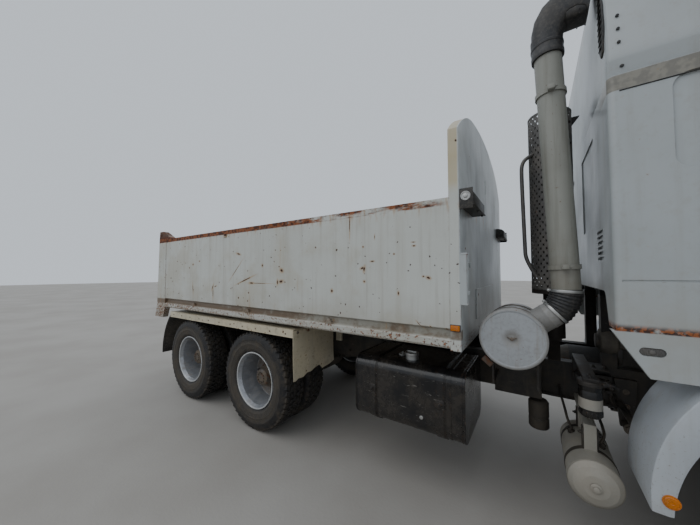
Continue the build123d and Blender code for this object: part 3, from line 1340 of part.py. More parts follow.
with BuildPart() as windscreen:
    add(cab_solid(12))
    add(cab_solid(20), mode=Mode.SUBTRACT)
    block(
        (X_CAB_FRONT - 400, X_CAB_FRONT + 1),
        (-SCREEN_HALF + SEAT, SCREEN_HALF - SEAT),
        (SCREEN_LOW + SEAT, SCREEN_HIGH - SEAT),
        mode=Mode.INTERSECT,
    )
save(windscreen, "windscreen")

# The high roof's sections: height above the cab's top, half width, front x, corner radius
ROOF_WALL = 40
SCREEN_TOP_X = X_CAB_FRONT - SCREEN_RAKE
ROOF_SECTIONS = [
    (0, CAB_HALF - 25, SCREEN_TOP_X, 235),
    (90, CAB_HALF, SCREEN_TOP_X + 5, CAB_CORNER),
    (500, CAB_HALF - 35, SCREEN_TOP_X - 420, 200),
    (ROOF_TOP - CAB_TOP, CAB_HALF - 160, SCREEN_TOP_X - 1000, 160),
]


def roof_solid(inset):
    """The closed form of the high roof, drawn in by a wall all round and from above."""
    with BuildPart() as solid:
        for pair in zip(ROOF_SECTIONS, ROOF_SECTIONS[1:]):
            sections = []
            for rise, half, front, corner in pair:
                z = CAB_TOP + SEAT + rise - (inset if rise == ROOF_SECTIONS[-1][0] else 0)
                sections.append(front_outline(front - inset, half - inset, corner - inset, z, X_CAB_REAR + inset))
            loft(sections=sections, ruled=True)
    return solid.part


with BuildPart() as cab_roof:
    add(roof_solid(0))
    add(roof_solid(ROOF_WALL), mode=Mode.SUBTRACT)
save(cab_roof, "cab_roof")

with BuildPart() as sill_panels:
    across(
        [
            (X_CAB_REAR - 18, CAB_FLOOR_Z - SEAT),
            (X_CAB_REAR + 115, SILL_PANEL_BOTTOM),
            (X_AXLE_FRONT, SILL_PANEL_BOTTOM),
            (X_AXLE_FRONT, CAB_FRONT_LOW),
            (X_SIDE_SPLIT, CAB_FRONT_LOW),
            (X_SIDE_SPLIT, CAB_FLOOR_Z - SEAT),
        ],
        (-CAB_HALF, -CAB_HALF + CAB_WALL),
    )
    with BuildSketch(Plane.XZ.offset(CAB_HALF - CAB_WALL)) as wheel_arch:
        with Locations((X_AXLE_FRONT, AXLE_Z - 13)):
            Circle(FENDER_FLANGE_RADIUS)
    extrude(wheel_arch.sketch, amount=CAB_WALL, mode=Mode.SUBTRACT)
    with BuildSketch(Plane.XZ.offset(CAB_HALF - 12)) as lamp_slot:
        with Locations((X_CAB_REAR + 126, 1293)):
            SlotOverall(92, 40)
    extrude(lamp_slot.sketch, amount=20, mode=Mode.SUBTRACT)
    both_sides()
save(sill_panels, "sill_panels")

for name, side in SIDES.items():
    glass_y = span(side, CAB_HALF - 30, CAB_HALF - 25)
    rake = SCREEN_RAKE * (WINDOW_HIGH - BELT_Z) / (CAB_TOP - BELT_Z)
    window = [
        (X_DOOR_REAR + 90, WINDOW_LOW),
        (X_DOOR_FRONT - 80, WINDOW_LOW - 60),
        (X_DOOR_FRONT - 80 - rake, WINDOW_HIGH),
        (X_DOOR_REAR + 90, WINDOW_HIGH),
    ]
    with BuildPart() as door:
        across(door_outline(0), span(side, CAB_HALF - CAB_WALL, CAB_HALF))
        across(window, span(side, CAB_HALF - CAB_WALL, CAB_HALF), radius=40, mode=Mode.SUBTRACT)
        block((X_DOOR_REAR + 50, X_DOOR_REAR + 230), span(side, CAB_HALF - 14, CAB_HALF), (1700, 1760), Mode.SUBTRACT)
        block((X_DOOR_REAR + 65, X_DOOR_REAR + 215), span(side, CAB_HALF - 16, CAB_HALF - 2), (1722, 1740))
        for z in HINGE_HEIGHTS:
            half = KNUCKLE_HALF - SEAT
            pin = (HINGE_X, side * HINGE_Y)
            block(
                (X_DOOR_FRONT - HINGE_LEAF, X_DOOR_FRONT),
                span(side, CAB_HALF - 1, HINGE_Y - HINGE_PIN),
                (z - half, z + half),
            )
            rod((*pin, z - half), (*pin, z + half), HINGE_BARREL)
            rod((*pin, z - half), (*pin, z + half), HINGE_PIN + PIN_FIT, mode=Mode.SUBTRACT)
    save(door, f"door_{name}")
    with BuildPart() as glass:
        across(window, glass_y, radius=40)
    save(glass, f"door_glass_{name}")

with BuildPart() as mirrors:
    arm_x = X_CAB_FRONT - 150
    mirror_y = -CAB_HALF - 110
    for z in (1950, 2430):
        rod((arm_x, -CAB_HALF + 80, z), (arm_x, mirror_y + 10, z), 14)
    block((arm_x - 14, arm_x + 14), (mirror_y - 14, mirror_y + 14), (1930, 2450))
    for low, high in ((1965, 2050), (2075, 2405)):
        along(
            [(mirror_y - 95, low), (mirror_y + 95, low), (mirror_y + 95, high), (mirror_y - 95, high)],
            (arm_x - 60, arm_x + 25),
            radius=35,
        )
    add(cab_solid(-SEAT), mode=Mode.SUBTRACT)
    both_sides()
save(mirrors, "mirrors")

SEAT_X = X_DOOR_REAR + 120
CUSHION_Z = CAB_FLOOR_Z + 195
CUSHION_RISE = 0.04
with BuildPart() as seats:
    for side in SIDES.values():
        y = span(side, 380, 860)
        # A pedestal, the cushion on it and the back
        low = CUSHION_Z - SEAT
        across(
            [
                (SEAT_X + 60, CAB_FLOOR_Z + 40 + SEAT),
                (SEAT_X + 420, CAB_FLOOR_Z + 40 + SEAT),
                (SEAT_X + 420, low + 420 * CUSHION_RISE),
                (SEAT_X + 60, low + 60 * CUSHION_RISE),
            ],
            span(side, 450, 790),
        )
        cushion = [
            (SEAT_X, CUSHION_Z),
            (SEAT_X + 500, CUSHION_Z + 500 * CUSHION_RISE),
            (SEAT_X + 500, CUSHION_Z + 120),
            (SEAT_X, CUSHION_Z + 110),
        ]
        across(cushion, y, radius=20)
        back = [
            (SEAT_X, CUSHION_Z + 70),
            (SEAT_X + 120, CUSHION_Z + 80),
            (SEAT_X + 10, CUSHION_Z + 770),
            (SEAT_X - 90, CUSHION_Z + 760),
        ]
        across(back, y, radius=20)
save(seats, "seats")

with BuildPart() as dashboard:
    dash_x = X_CAB_FRONT - CAB_WALL - 20
    across(
        [
            (dash_x, CAB_FLOOR_Z + 40 + SEAT),
            (dash_x, 1740),
            (dash_x - 180, 1790),
            (dash_x - 300, 1700),
            (dash_x - 260, 1500),
            (dash_x - 60, CAB_FLOOR_Z + 40 + SEAT),
        ],
        (-970, 970),
        radius=10,
    )
    hub = Vector(dash_x - 390, -620, 1850)
    tilt = Vector(-0.35, 0, 0.94).normalized()
    rod(Vector(dash_x - 240, -620, 1560), hub, 30)
    with BuildSketch(Plane(origin=hub, z_dir=tilt)) as wheel_ring:
        Circle(225)
        Circle(195, mode=Mode.SUBTRACT)
        Rectangle(400, 40)
        Circle(60)
    extrude(wheel_ring.sketch, amount=26)
save(dashboard, "dashboard")
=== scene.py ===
"""The dump truck's looks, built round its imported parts.

Metres. +X is forward, +Y is the truck's left, +Z is up. The origin is on the ground, midway along the truck.
"""

import math

import bmesh
import bpy
from mathutils import Matrix, Vector


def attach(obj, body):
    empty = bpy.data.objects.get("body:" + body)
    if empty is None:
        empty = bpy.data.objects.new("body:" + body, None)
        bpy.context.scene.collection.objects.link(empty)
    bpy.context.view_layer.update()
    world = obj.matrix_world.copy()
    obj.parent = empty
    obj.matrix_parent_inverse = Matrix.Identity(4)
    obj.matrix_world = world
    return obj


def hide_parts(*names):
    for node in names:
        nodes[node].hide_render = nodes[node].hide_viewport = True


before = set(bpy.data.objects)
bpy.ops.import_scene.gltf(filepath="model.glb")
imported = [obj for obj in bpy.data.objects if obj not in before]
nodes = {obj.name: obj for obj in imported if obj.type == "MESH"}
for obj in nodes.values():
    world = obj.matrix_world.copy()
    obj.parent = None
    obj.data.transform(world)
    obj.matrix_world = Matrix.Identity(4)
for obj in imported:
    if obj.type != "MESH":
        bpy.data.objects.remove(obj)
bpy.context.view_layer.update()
SIDES = {"left": 1, "right": -1}

# Stations shared by several pieces: axles, tyres' middles, the rails' outer face and the seats' middle
AXLE_FRONT = 2.42
AXLES_REAR = {"fore": -1.385, "aft": -2.735}
AXLE_Z = 0.518
FRONT_TYRE_Y = 1.01
REAR_PAIR_Y = 0.9425
PAIR_HALF = 0.1625
RAIL_SEAT = 0.4303
SEAT_Y = 0.62

# Bolt heads and nuts: across the flats, height, and how far the stud stands out
BOLT_12 = (0.019, 0.011, 0.006)
BOLT_16 = (0.024, 0.014, 0.006)


# Finishes
def paint(red, green, blue):
    """A colour in the shader's own terms, from the 0 to 255 that a paint card gives."""
    shares = (channel / 255 for channel in (red, green, blue))
    return (*(s / 12.92 if s < 0.04045 else ((s + 0.055) / 1.055) ** 2.4 for s in shares), 1)


class Value:
    """What a node gives, ready for sums with numbers and other values."""

    def __init__(self, finish, socket):
        self.finish = finish
        self.socket = socket

    def math(self, operation, other, swapped=False):
        pair = (other, self) if swapped else (self, other)
        return self.finish.node("Math", {"operation": operation}, dict(enumerate(pair)))

    def __add__(self, other):
        return self.math("ADD", other)

    def __sub__(self, other):
        return self.math("SUBTRACT", other)

    def __rsub__(self, other):
        return self.math("SUBTRACT", other, swapped=True)

    def __mul__(self, other):
        return self.math("MULTIPLY", other)

    def __pow__(self, other):
        return self.math("POWER", other)

    __radd__ = __add__
    __rmul__ = __mul__

    def most(self, other):
        return self.math("MAXIMUM", other)

    def least(self, other):
        return self.math("MINIMUM", other)

    def rise(self, low, high):
        """0 below low and 1 above high, with a smooth slope between."""
        return self.finish.node(
            "MapRange", {"interpolation_type": "SMOOTHSTEP"}, {0: self, 1: low, 2: high, 3: 0.0, 4: 1.0}
        )

    def fall(self, low, high):
        return 1 - self.rise(low, high)


class Finish:
    """One material, made of noise, cells and masks laid on the truck's own coordinates."""

    def __init__(self, name):
        self.material = bpy.data.materials.new(name)
        self.material.use_nodes = True
        self.tree = self.material.node_tree
        self.tree.nodes.clear()
        self.shader = self.tree.nodes.new("ShaderNodeBsdfPrincipled")
        output = self.tree.nodes.new("ShaderNodeOutputMaterial")
        self.tree.links.new(self.shader.outputs[0], output.inputs["Surface"])
        self.place = self.node("TexCoord", output="Object")
        axes = {axis: self.node("SeparateXYZ", inputs={0: self.place}, output=axis) for axis in "XYZ"}
        self.x, self.y, self.z = axes["X"], axes["Y"], axes["Z"]

    def node(self, kind, settings=None, inputs=None, output=0):
        """Make a shader node: first its settings, then the values or links of its sockets."""
        made = self.tree.nodes.new("ShaderNode" + kind)
        for name, setting in (settings or {}).items():
            setattr(made, name, setting)
        for name, given in (inputs or {}).items():
            if isinstance(given, Value):
                self.tree.links.new(given.socket, made.inputs[name])
            else:
                made.inputs[name].default_value = given
        return Value(self, made.outputs[output])

    def stretched(self, scale):
        return self.node("Mapping", {}, {"Vector": self.place, "Scale": scale})

    def noise(self, scale, detail=3.0, rough=0.55, place=None, warp=0.0):
        sockets = {"Vector": place or self.place, "Scale": scale, "Detail": detail, "Roughness": rough}
        return self.node("TexNoise", {}, {**sockets, "Distortion": warp})

    def spots(self, scale, share, size, ragged=0.02):
        """Scattered blots, in a share of the cells and each of its own size: positive inside, by its depth."""
        wander = self.node("TexNoise", {}, {"Vector": self.place, "Scale": scale * 3.1, "Detail": 2.0}, "Color")
        sockets = {0: wander, 1: (ragged, ragged, ragged), 2: self.place}
        place = self.node("VectorMath", {"operation": "MULTIPLY_ADD"}, sockets)
        distance = self.node("TexVoronoi", {}, {"Vector": place, "Scale": scale})
        chance = self.node("TexVoronoi", {}, {"Vector": place, "Scale": scale}, "Color")
        return chance.rise(1 - share, 1.02 - share * 0.2) * size - distance

    def marks(self, places):
        """The distance to the nearest mark, where 1 is its rim. Each is x, z, half length, half height, turn."""
        slid = self.node("CombineXYZ", {}, {0: self.x + self.y.rise(-0.1, 0.1) * 0.7, 1: 1.0, 2: self.z})
        nearest = None
        for x, z, long, tall, turn in places:
            c, s = math.cos(math.radians(turn)), math.sin(math.radians(turn))
            across = (c / long, -(x * c + z * s) / long, s / long)
            up = (-s / tall, (x * s - z * c) / tall, c / tall)
            reach = [
                self.node("VectorMath", {"operation": "DOT_PRODUCT"}, {0: slid, 1: way}, "Value")
                for way in (across, up)
            ]
            far = reach[0].math("MULTIPLY", reach[0]) + reach[1].math("MULTIPLY", reach[1])
            nearest = nearest.least(far) if nearest else far
        return nearest ** 0.5

    def runs(self, scale, drawn_out, detail=4):
        """Noise drawn out into upright streaks."""
        return self.noise(scale, detail, 0.6, self.stretched((1, 1, drawn_out)))

    def mix(self, share, low, high):
        """Lay one colour over another. Each is a paint card's three numbers, a ready colour or a node's value."""
        cards = (isinstance(part, tuple) and len(part) == 3 for part in (low, high))
        low, high = (paint(*part) if card else part for card, part in zip(cards, (low, high)))
        return self.node("Mix", {"data_type": "RGBA"}, {0: share, 6: low, 7: high}, output=2)

    def layers(self, base, *pairs):
        """Lay colours over a base, each through its own mask."""
        for mask, colour in pairs:
            base = self.mix(mask, base, colour)
        return base

    def edges(self, radius=0.006, samples=6):
        """Where a corner sticks out, from the difference that rounding it would make."""
        rounded = self.node("Bevel", {"samples": samples}, {"Radius": radius})
        straight = self.node("NewGeometry", output="Normal")
        same = self.node("VectorMath", {"operation": "DOT_PRODUCT"}, {0: rounded, 1: straight}, output="Value")
        return same.fall(0.8, 0.995)

    def rounding(self, radius=0.003):
        return self.node("Bevel", {"samples": 4}, {"Radius": radius})

    def near_axle(self):
        """How far a point is from the nearest wheel's centre, seen from the side."""
        rise = (self.z - AXLE_Z) ** 2
        far = [((self.x - x).math("MULTIPLY", self.x - x) + rise) ** 0.5 for x in (AXLE_FRONT, *AXLES_REAR.values())]
        return far[0].least(far[1]).least(far[2])

    def surface(self, colour, roughness, height=None, depth=0.001, metallic=0.0, normal=None, **fixed):
        """Feed the shader, with a bump where a height is given."""
        if height is not None:
            sockets = {"Height": height, "Distance": depth, "Strength": 1.0}
            if normal is not None:
                sockets["Normal"] = normal
            normal = self.node("Bump", {}, sockets)
        fed = {"Base Color": colour, "Roughness": roughness, "Metallic": metallic}
        if normal is not None:
            fed["Normal"] = normal
        fed.update({name.replace("_", " "): given for name, given in fixed.items()})
        for name, given in fed.items():
            if isinstance(given, Value):
                self.tree.links.new(given.socket, self.shader.inputs[name])
            else:
                self.shader.inputs[name].default_value = given
        return self


RUST_DARK = (58, 30, 18)
RUST_BROWN = (112, 62, 32)
RUST_YELLOW = (168, 126, 74)
MUD = (122, 106, 88)
DUST = (150, 141, 128)


# The tray side's worst chips and scratches: x, z, half length, half height, turn in degrees
CHIPS = (
    (-1.689, 1.703, 0.110, 0.0035, 44), (-1.510, 1.598, 0.110, 0.0060, 18), (-1.400, 1.566, 0.034, 0.0080, 0),
    (-1.270, 1.566, 0.120, 0.0025, 0), (-1.222, 1.754, 0.010, 0.0110, 0), (-1.639, 1.892, 0.030, 0.0085, -14),
    (-0.937, 1.590, 0.024, 0.0130, 10), (-0.988, 1.584, 0.009, 0.0200, 0), (-0.930, 1.700, 0.020, 0.0140, -30),
    (-2.160, 1.500, 0.034, 0.0070, 62), (-2.151, 1.430, 0.006, 0.0500, 0), (-2.100, 1.512, 0.022, 0.0050, 20),
    (-2.634, 1.470, 0.006, 0.0500, 8), (-2.640, 1.790, 0.013, 0.0100, 0), (-2.480, 1.830, 0.010, 0.0080, 0),
    (0.027, 1.705, 0.008, 0.0200, -8), (0.010, 1.714, 0.016, 0.0080, 20), (0.027, 1.606, 0.008, 0.0080, 0),
    (0.101, 1.766, 0.013, 0.0050, 0), (0.321, 1.524, 0.006, 0.0110, 0), (0.548, 1.640, 0.013, 0.0080, -20),
    (0.512, 1.650, 0.007, 0.0050, 0), (0.445, 1.870, 0.010, 0.0050, 0), (0.441, 1.897, 0.011, 0.0030, 0),
    (0.288, 1.817, 0.006, 0.0050, 0), (0.017, 1.885, 0.006, 0.0060, 0), (0.557, 1.302, 0.005, 0.0060, 0),
    (0.478, 1.312, 0.024, 0.0022, -46), (0.664, 1.297, 0.007, 0.0050, 0), (-0.113, 2.075, 0.004, 0.0750, 0),
    (0.123, 1.957, 0.003, 0.0140, 0), (-0.300, 1.520, 0.010, 0.0120, 0), (-1.902, 2.128, 0.030, 0.0150, 0),
)


def tray_paint(name):
    """Old white enamel: greyed in clouds, chipped and rust-stained more towards the rear, with painted shade on the
    headboard's front and along the ledge above the lower rail.
    """
    f = Finish(name)
    rearward = f.x.fall(-3.5, 0.7)
    cloud = f.noise(1.3, 5, 0.6).rise(0.35, 0.68)
    runs = f.runs(9, 0.07).rise(0.48, 0.74)
    fine_runs = f.runs(38, 0.04, 3).rise(0.5, 0.75)
    patches = (f.noise(2.6, 4, 0.65) + rearward * 0.12).rise(0.5, 0.72)
    low_dirt = f.z.fall(1.29, 1.55) * f.noise(5, 4).rise(0.3, 0.65)
    ragged = f.noise(95, 4, 0.7)
    mark = f.marks(CHIPS) + ragged * 1.3
    fine_chips = f.spots(21, 0.42, 0.2) + patches * 0.06 - 0.05
    coarse_chips = f.spots(8.5, 0.3, 0.15, 0.05) + patches * 0.03 - 0.035
    small = fine_chips.rise(0.0, 0.035)
    large = (coarse_chips + ragged * 0.04).rise(0.02, 0.03)
    halo = fine_chips.rise(-0.12, 0.05) * patches * 0.8
    halo = halo.most((coarse_chips + ragged * 0.08).rise(-0.03, 0.06)).most(mark.fall(1.5, 3.2) * 0.8)
    chips = small.most(large).most(mark.fall(1.35, 1.6))
    weep = f.runs(15, 0.04, 3).rise(0.6, 0.74) * patches
    top_rail = f.z.rise(2.128, 2.14) * f.z.fall(2.2, 2.24) * f.x.fall(0.55, 0.72)
    rail_rust = top_rail * (f.noise(10, 5, 0.7, f.stretched((0.4, 1, 1.5))) + rearward * 0.3).rise(0.42, 0.58)
    fringe = f.z.rise(2.05, 2.14) * f.z.fall(2.2, 2.24) * f.runs(24, 0.2).rise(0.5, 0.66)
    ears = f.z.rise(2.19, 2.2) * f.x.fall(-3.4, -3.3)
    # The ledge above the lower rail: a band of painted shadow, with mud in it that grows towards the rear
    shaded_ledge = f.z.rise(1.226, 1.24) * f.z.fall(1.288, 1.304) * f.y.math("ABSOLUTE", 0).rise(1.2, 1.21)
    recess_mud = shaded_ledge * (f.noise(6, 4, 0.7) + rearward * 0.3).rise(0.42, 0.66)
    lower_rail = f.z.fall(1.228, 1.238)
    rail_chips = lower_rail * (f.noise(58, 4, 0.65) + patches * 0.05 + rearward * 0.03).rise(0.57, 0.62)
    edge = f.edges(0.007)
    edge_rust = edge * (f.noise(19, 4, 0.6) + rearward * 0.16).rise(0.5, 0.64)
    board_top = f.z.rise(2.72, 2.93) * f.x.fall(0.745, 0.755) * f.noise(17, 4, 0.65).rise(0.42, 0.6)
    board_edge = f.z.rise(2.2, 2.3) * f.x.fall(0.745, 0.755)
    inside = f.y.math("ABSOLUTE", 0).fall(1.14, 1.19) * f.z.fall(1.9, 2.1) * f.x.fall(0.7, 0.72)
    # Clouds of painted shade on the headboard's front, which faces the cab
    front_shade_clouds = f.x.rise(0.752, 0.756) * f.noise(4, 5, 0.7, f.stretched((1, 1, 0.3))).rise(0.5, 0.7)
    under = f.z.fall(1.0, 1.2)
    colour = f.layers(
        (196, 198, 192),
        (cloud * 0.5, (180, 181, 174)),
        (patches * 0.35, (178, 170, 148)),
        (runs * 0.35, (170, 165, 150)),
        (fine_runs * 0.25, (140, 132, 116)),
        (low_dirt * 0.4, (158, 150, 134)),
        (inside * 0.7, (132, 118, 100)),
        (under * 0.6, (120, 110, 96)),
        # The headboard's front is painted darker and bluer as shade, evenly and then in clouds
        (f.x.rise(0.752, 0.756) * 0.45, (140, 150, 160)),
        (front_shade_clouds * 0.55, (118, 122, 124)),
        # Painted shadow along the ledge above the lower rail
        (shaded_ledge * 0.6, (122, 116, 102)),
        (recess_mud * 0.75, (96, 70, 42)),
        (board_edge * 0.6, (186, 166, 118)),
        (weep * 0.5, RUST_YELLOW),
        (halo * 0.75, (172, 134, 82)),
        (fringe * 0.5, RUST_YELLOW),
        (rail_chips * 0.9, f.mix(ragged.rise(0.45, 0.55), (150, 88, 44), RUST_DARK)),
        (edge_rust * 0.8, (128, 76, 42)),
        (rail_rust, f.mix(f.noise(29, 4).rise(0.42, 0.6), (138, 80, 44), (72, 38, 24))),
        (board_top * 0.9, (140, 72, 34)),
        (chips, RUST_DARK),
        (ears * 0.9, f.mix(f.noise(26, 4).rise(0.4, 0.6), RUST_DARK, (92, 46, 28))),
    )
    rusty = chips.most(rail_rust).most(edge_rust).most(ears).most(rail_chips)
    roughness = rusty * 0.4 + cloud * 0.12 + 0.36
    height = f.noise(2.6, 2) * 7 + rusty * (f.noise(170, 2) * -0.5 - 0.2) + f.noise(240, 2, 0.7) * 0.06
    return f.surface(colour, roughness, height, 0.0018, normal=f.rounding())


def cab_paint(name, base, shade, foot=1.39, age=0.0):
    """Cleaner white enamel with dust along its lower edges and a thin line of rust in the seams."""
    f = Finish(name)
    cloud = f.noise(1.7, 4, 0.6).rise(0.35, 0.7)
    runs = f.runs(12, 0.06).rise(0.5, 0.75)
    low = f.z.fall(foot, foot + 0.35) * f.noise(4, 4).rise(0.25, 0.7)
    grime = f.noise(23, 4, 0.65).rise(0.5, 0.72) * (0.12 + age * 0.5)
    splashes = (f.noise(85, 3, 0.65) + f.z.fall(0.5, 1.5) * 0.1 + age * 0.04).rise(0.71, 0.76)
    blots = f.spots(17, 0.2 + age * 0.4, 0.12 + age * 0.07)
    chips = blots.rise(0.0, 0.03)
    halo = blots.rise(-0.1, 0.05)
    band = f.z.rise(2.606, 2.61) * f.z.fall(2.684, 2.69) * f.y.math("ABSOLUTE", 0).rise(0.95, 1.15)
    seam = f.z.rise(1.378, 1.386) * f.z.fall(1.394, 1.425) * f.x.fall(1.85, 2.1)
    seam = seam * f.noise(10, 5, 0.7).rise(0.36, 0.5) * f.x.rise(1.49, 1.5)
    edge = f.edges(0.005)
    worn = edge * f.noise(27, 4).rise(0.54 - age * 0.1, 0.66)
    colour = f.layers(
        base,
        (cloud * 0.45, shade),
        (runs * 0.3, (150, 146, 136)),
        (grime, (142, 124, 96)),
        (low * 0.4, (156, 150, 136)),
        (band * 0.85, f.mix(f.noise(30, 4).rise(0.4, 0.62), (112, 106, 94), (134, 128, 114))),
        (halo * (0.25 + age * 0.5), RUST_YELLOW),
        (splashes * 0.5, MUD),
        (worn * 0.6, (120, 104, 86)),
        (seam, f.mix(f.noise(60, 3).rise(0.45, 0.55), (150, 84, 38), RUST_DARK)),
        (chips, RUST_DARK),
    )
    roughness = cloud * 0.14 + low * 0.2 + splashes * 0.3 + 0.3
    height = f.noise(2.4, 2) * 5 + splashes * 0.25 + f.noise(300, 2) * 0.05 - seam * 0.5
    return f.surface(colour, roughness, height, 0.0012, normal=f.rounding(), Coat_Weight=0.1, Coat_Roughness=0.2)


def black_paint(name, base, gloss, dirt, scuffs):
    """Black chassis paint under road dirt, scuffed where things rub."""
    f = Finish(name)
    dusty = (f.noise(4.5, 5, 0.65) + f.z.fall(0.3, 1.2) * 0.14).rise(0.42, 0.78) * dirt
    film = f.noise(38, 4, 0.6).rise(0.35, 0.75) * dirt
    drips = f.runs(26, 0.09).rise(0.55, 0.76) * dirt
    scratched = f.noise(30, 4, 0.7, f.stretched((0.35, 1, 2.2)), warp=1.5).rise(0.655, 0.69) * scuffs
    worn = f.edges(0.005, 4) * f.noise(31, 4).rise(0.5, 0.64)
    colour = f.layers(
        base,
        (film * 0.35, (78, 72, 64)),
        (dusty * 0.7, (104, 94, 80)),
        (drips * 0.5, (92, 80, 66)),
        (scratched * 0.8, (150, 146, 138)),
        (worn * 0.55, (110, 78, 52)),
    )
    roughness = (dusty * 0.45 + film * 0.15 + scratched * 0.2 + gloss).least(0.95)
    height = dusty * 0.5 + f.noise(190, 3) * 0.12 - scratched * 0.3
    return f.surface(colour, roughness, height, 0.0015, normal=f.rounding())


def tyre_rubber(name):
    """Wet black rubber: brown dust in a ring over the sidewall, mud in the tread's grooves."""
    f = Finish(name)
    out = f.near_axle()
    tread = out.rise(0.485, 0.505)
    lug = out.rise(0.513, 0.516)
    ring = out.rise(0.30, 0.335) * out.fall(0.395, 0.455)
    cake = (f.noise(11, 5, 0.7) + tread * 0.1 + ring * 0.06).rise(0.46, 0.72)
    film = f.noise(60, 4, 0.7).rise(0.4, 0.72)
    flecks = f.noise(170, 3, 0.7).rise(0.63, 0.69)
    colour = f.layers(
        (27, 27, 29),
        (ring * 0.32, (92, 84, 72)),
        (film * 0.32, (66, 62, 57)),
        (cake * 0.42, (92, 82, 69)),
        (flecks * 0.55, (134, 122, 104)),
        (lug * 0.6, (38, 37, 37)),
    )
    height = cake * 0.8 + film * 0.3 + f.noise(420, 2) * 0.15
    return f.surface(colour, cake * 0.2 + film * 0.1 + 0.56, height, 0.003, Specular_IOR_Level=0.4)


def rim_paint(name):
    """Silver steel wheels: a lip painted bright as a highlight, a streaked gutter, a brown disc and a dark hub with
    tan specks.
    """
    f = Finish(name)
    out = f.near_axle()
    disc = out.fall(0.243, 0.254)
    hub = out.fall(0.13, 0.2)
    # The lip is painted brighter as a highlight
    lip = out.rise(0.283, 0.288)
    mud = (f.noise(11, 5, 0.65) + disc * 0.1).rise(0.46, 0.72)
    fine = f.noise(80, 4, 0.65).rise(0.45, 0.75)
    rust = (f.noise(23, 5, 0.6) + hub * 0.06).rise(0.64, 0.74)
    streak = f.noise(34, 3, 0.6, f.stretched((1, 0.15, 1)), warp=0.6).rise(0.48, 0.7)
    colour = f.layers(
        (164, 167, 172),
        (streak * 0.3, (112, 110, 106)),
        (fine * 0.35, (132, 126, 116)),
        (disc * 0.72, (92, 84, 74)),
        (hub * 0.8, (48, 44, 41)),
        (mud * 0.5, (118, 104, 86)),
        # Tan specks on the dark hub
        (hub * fine * 0.6, (150, 128, 100)),
        (rust * 0.6, f.mix(fine, RUST_BROWN, RUST_DARK)),
        # Painted highlight along the lip
        (lip * 0.8, (208, 209, 208)),
    )
    roughness = mud * 0.3 + disc * 0.15 + rust * 0.3 + fine * 0.1 + 0.32
    height = mud * 0.4 + rust * 0.3 * f.noise(240, 3)
    metallic = (1 - mud.most(rust).most(disc)) * 0.55
    return f.surface(colour, roughness.least(0.95), height, 0.0016, metallic, normal=f.rounding())


def bare_steel(name, base, gloss, metallic, rust, dust):
    """Metal left unpainted, dulled by weather, with rust in blooms."""
    f = Finish(name)
    bloom = f.noise(14, 5, 0.65).rise(0.75 - rust * 0.4, 0.92 - rust * 0.3)
    brushed = f.noise(90, 3, 0.6)
    film = f.noise(7, 4, 0.6).rise(0.35, 0.75) * dust
    speck = f.noise(130, 3, 0.7).rise(0.66, 0.72) * rust
    colour = f.layers(
        base,
        (brushed * 0.3, tuple(0.55 * c for c in paint(*base)[:3]) + (1,)),
        (film, DUST),
        (bloom * 0.8, RUST_BROWN),
        (speck, RUST_DARK),
    )
    roughness = (bloom * 0.4 + film * 0.3 + brushed * 0.15 + gloss).least(0.95)
    shine = (1 - bloom.most(film)) * metallic
    return f.surface(colour, roughness, brushed * 0.3 + bloom * 0.4, 0.0008, shine, normal=f.rounding())


def plastic(name, base, gloss, grain, dust):
    """Moulded plastic or soft duct rubber with a fine grain and dust on it."""
    f = Finish(name)
    film = f.noise(5, 4, 0.65).rise(0.38, 0.74) * dust
    fine = f.noise(64, 3, 0.6).rise(0.4, 0.75) * dust
    colour = f.layers(base, (fine * 0.35, DUST), (film * 0.5, (120, 112, 100)))
    height = f.noise(grain, 2) * 0.6 + film * 0.3
    return f.surface(colour, (film * 0.3 + gloss).least(0.95), height, 0.0006, normal=f.rounding())


def pipe_cream(name):
    """Chalky cream-grey paint on the intake pipe, weathered in vertical runs."""
    f = Finish(name)
    cloud = f.noise(3, 4, 0.6).rise(0.35, 0.7)
    runs = f.runs(26, 0.05).rise(0.46, 0.72)
    spots = f.noise(75, 3, 0.65).rise(0.68, 0.72)
    low = f.z.fall(1.6, 2.0) * f.noise(8, 4).rise(0.3, 0.7)
    colour = f.layers(
        (146, 146, 138),
        (cloud * 0.5, (132, 131, 122)),
        (runs * 0.45, (112, 109, 98)),
        (low * 0.5, (116, 109, 96)),
        (spots * 0.8, RUST_BROWN),
    )
    return f.surface(colour, runs * 0.15 + 0.5, f.noise(210, 3) * 0.4 + spots, 0.0008, normal=f.rounding())


def cleaner_drum(name):
    """The air cleaner's pale pressed steel: dusty, dinged, with grime round its rim and middle."""
    f = Finish(name)
    cloud = f.noise(6, 5, 0.65).rise(0.36, 0.7)
    fine = f.noise(48, 4, 0.65).rise(0.45, 0.75)
    radial = ((f.x - 1.037) ** 2 + (f.z - 1.26) ** 2) ** 0.5
    ring = radial.rise(0.168, 0.186)
    heart = radial.fall(0.03, 0.075)
    spots = f.noise(58, 4, 0.6).rise(0.69, 0.72)
    runs = f.runs(32, 0.08, 3).rise(0.55, 0.74)
    colour = f.layers(
        (160, 163, 166),
        (cloud * 0.45, (142, 143, 143)),
        (fine * 0.3, (120, 117, 108)),
        (runs * 0.4, (134, 124, 106)),
        ((ring + heart).least(1) * 0.45, (118, 108, 92)),
        (spots * 0.8, RUST_BROWN),
    )
    return f.surface(colour, cloud * 0.2 + 0.42, cloud * 0.6 + f.noise(150, 3) * 0.15, 0.0014, normal=f.rounding())


def glass(name):
    f = Finish(name)
    smear = f.noise(6, 4, 0.6).rise(0.4, 0.75)
    return f.surface(
        paint(196, 208, 204), smear * 0.06 + 0.03, Transmission_Weight=0.96, IOR=1.45, Specular_IOR_Level=0.6
    )


def mirror_glass(name):
    f = Finish(name)
    return f.surface(paint(205, 210, 212), f.noise(9, 4).rise(0.4, 0.8) * 0.07 + 0.04, metallic=1.0)


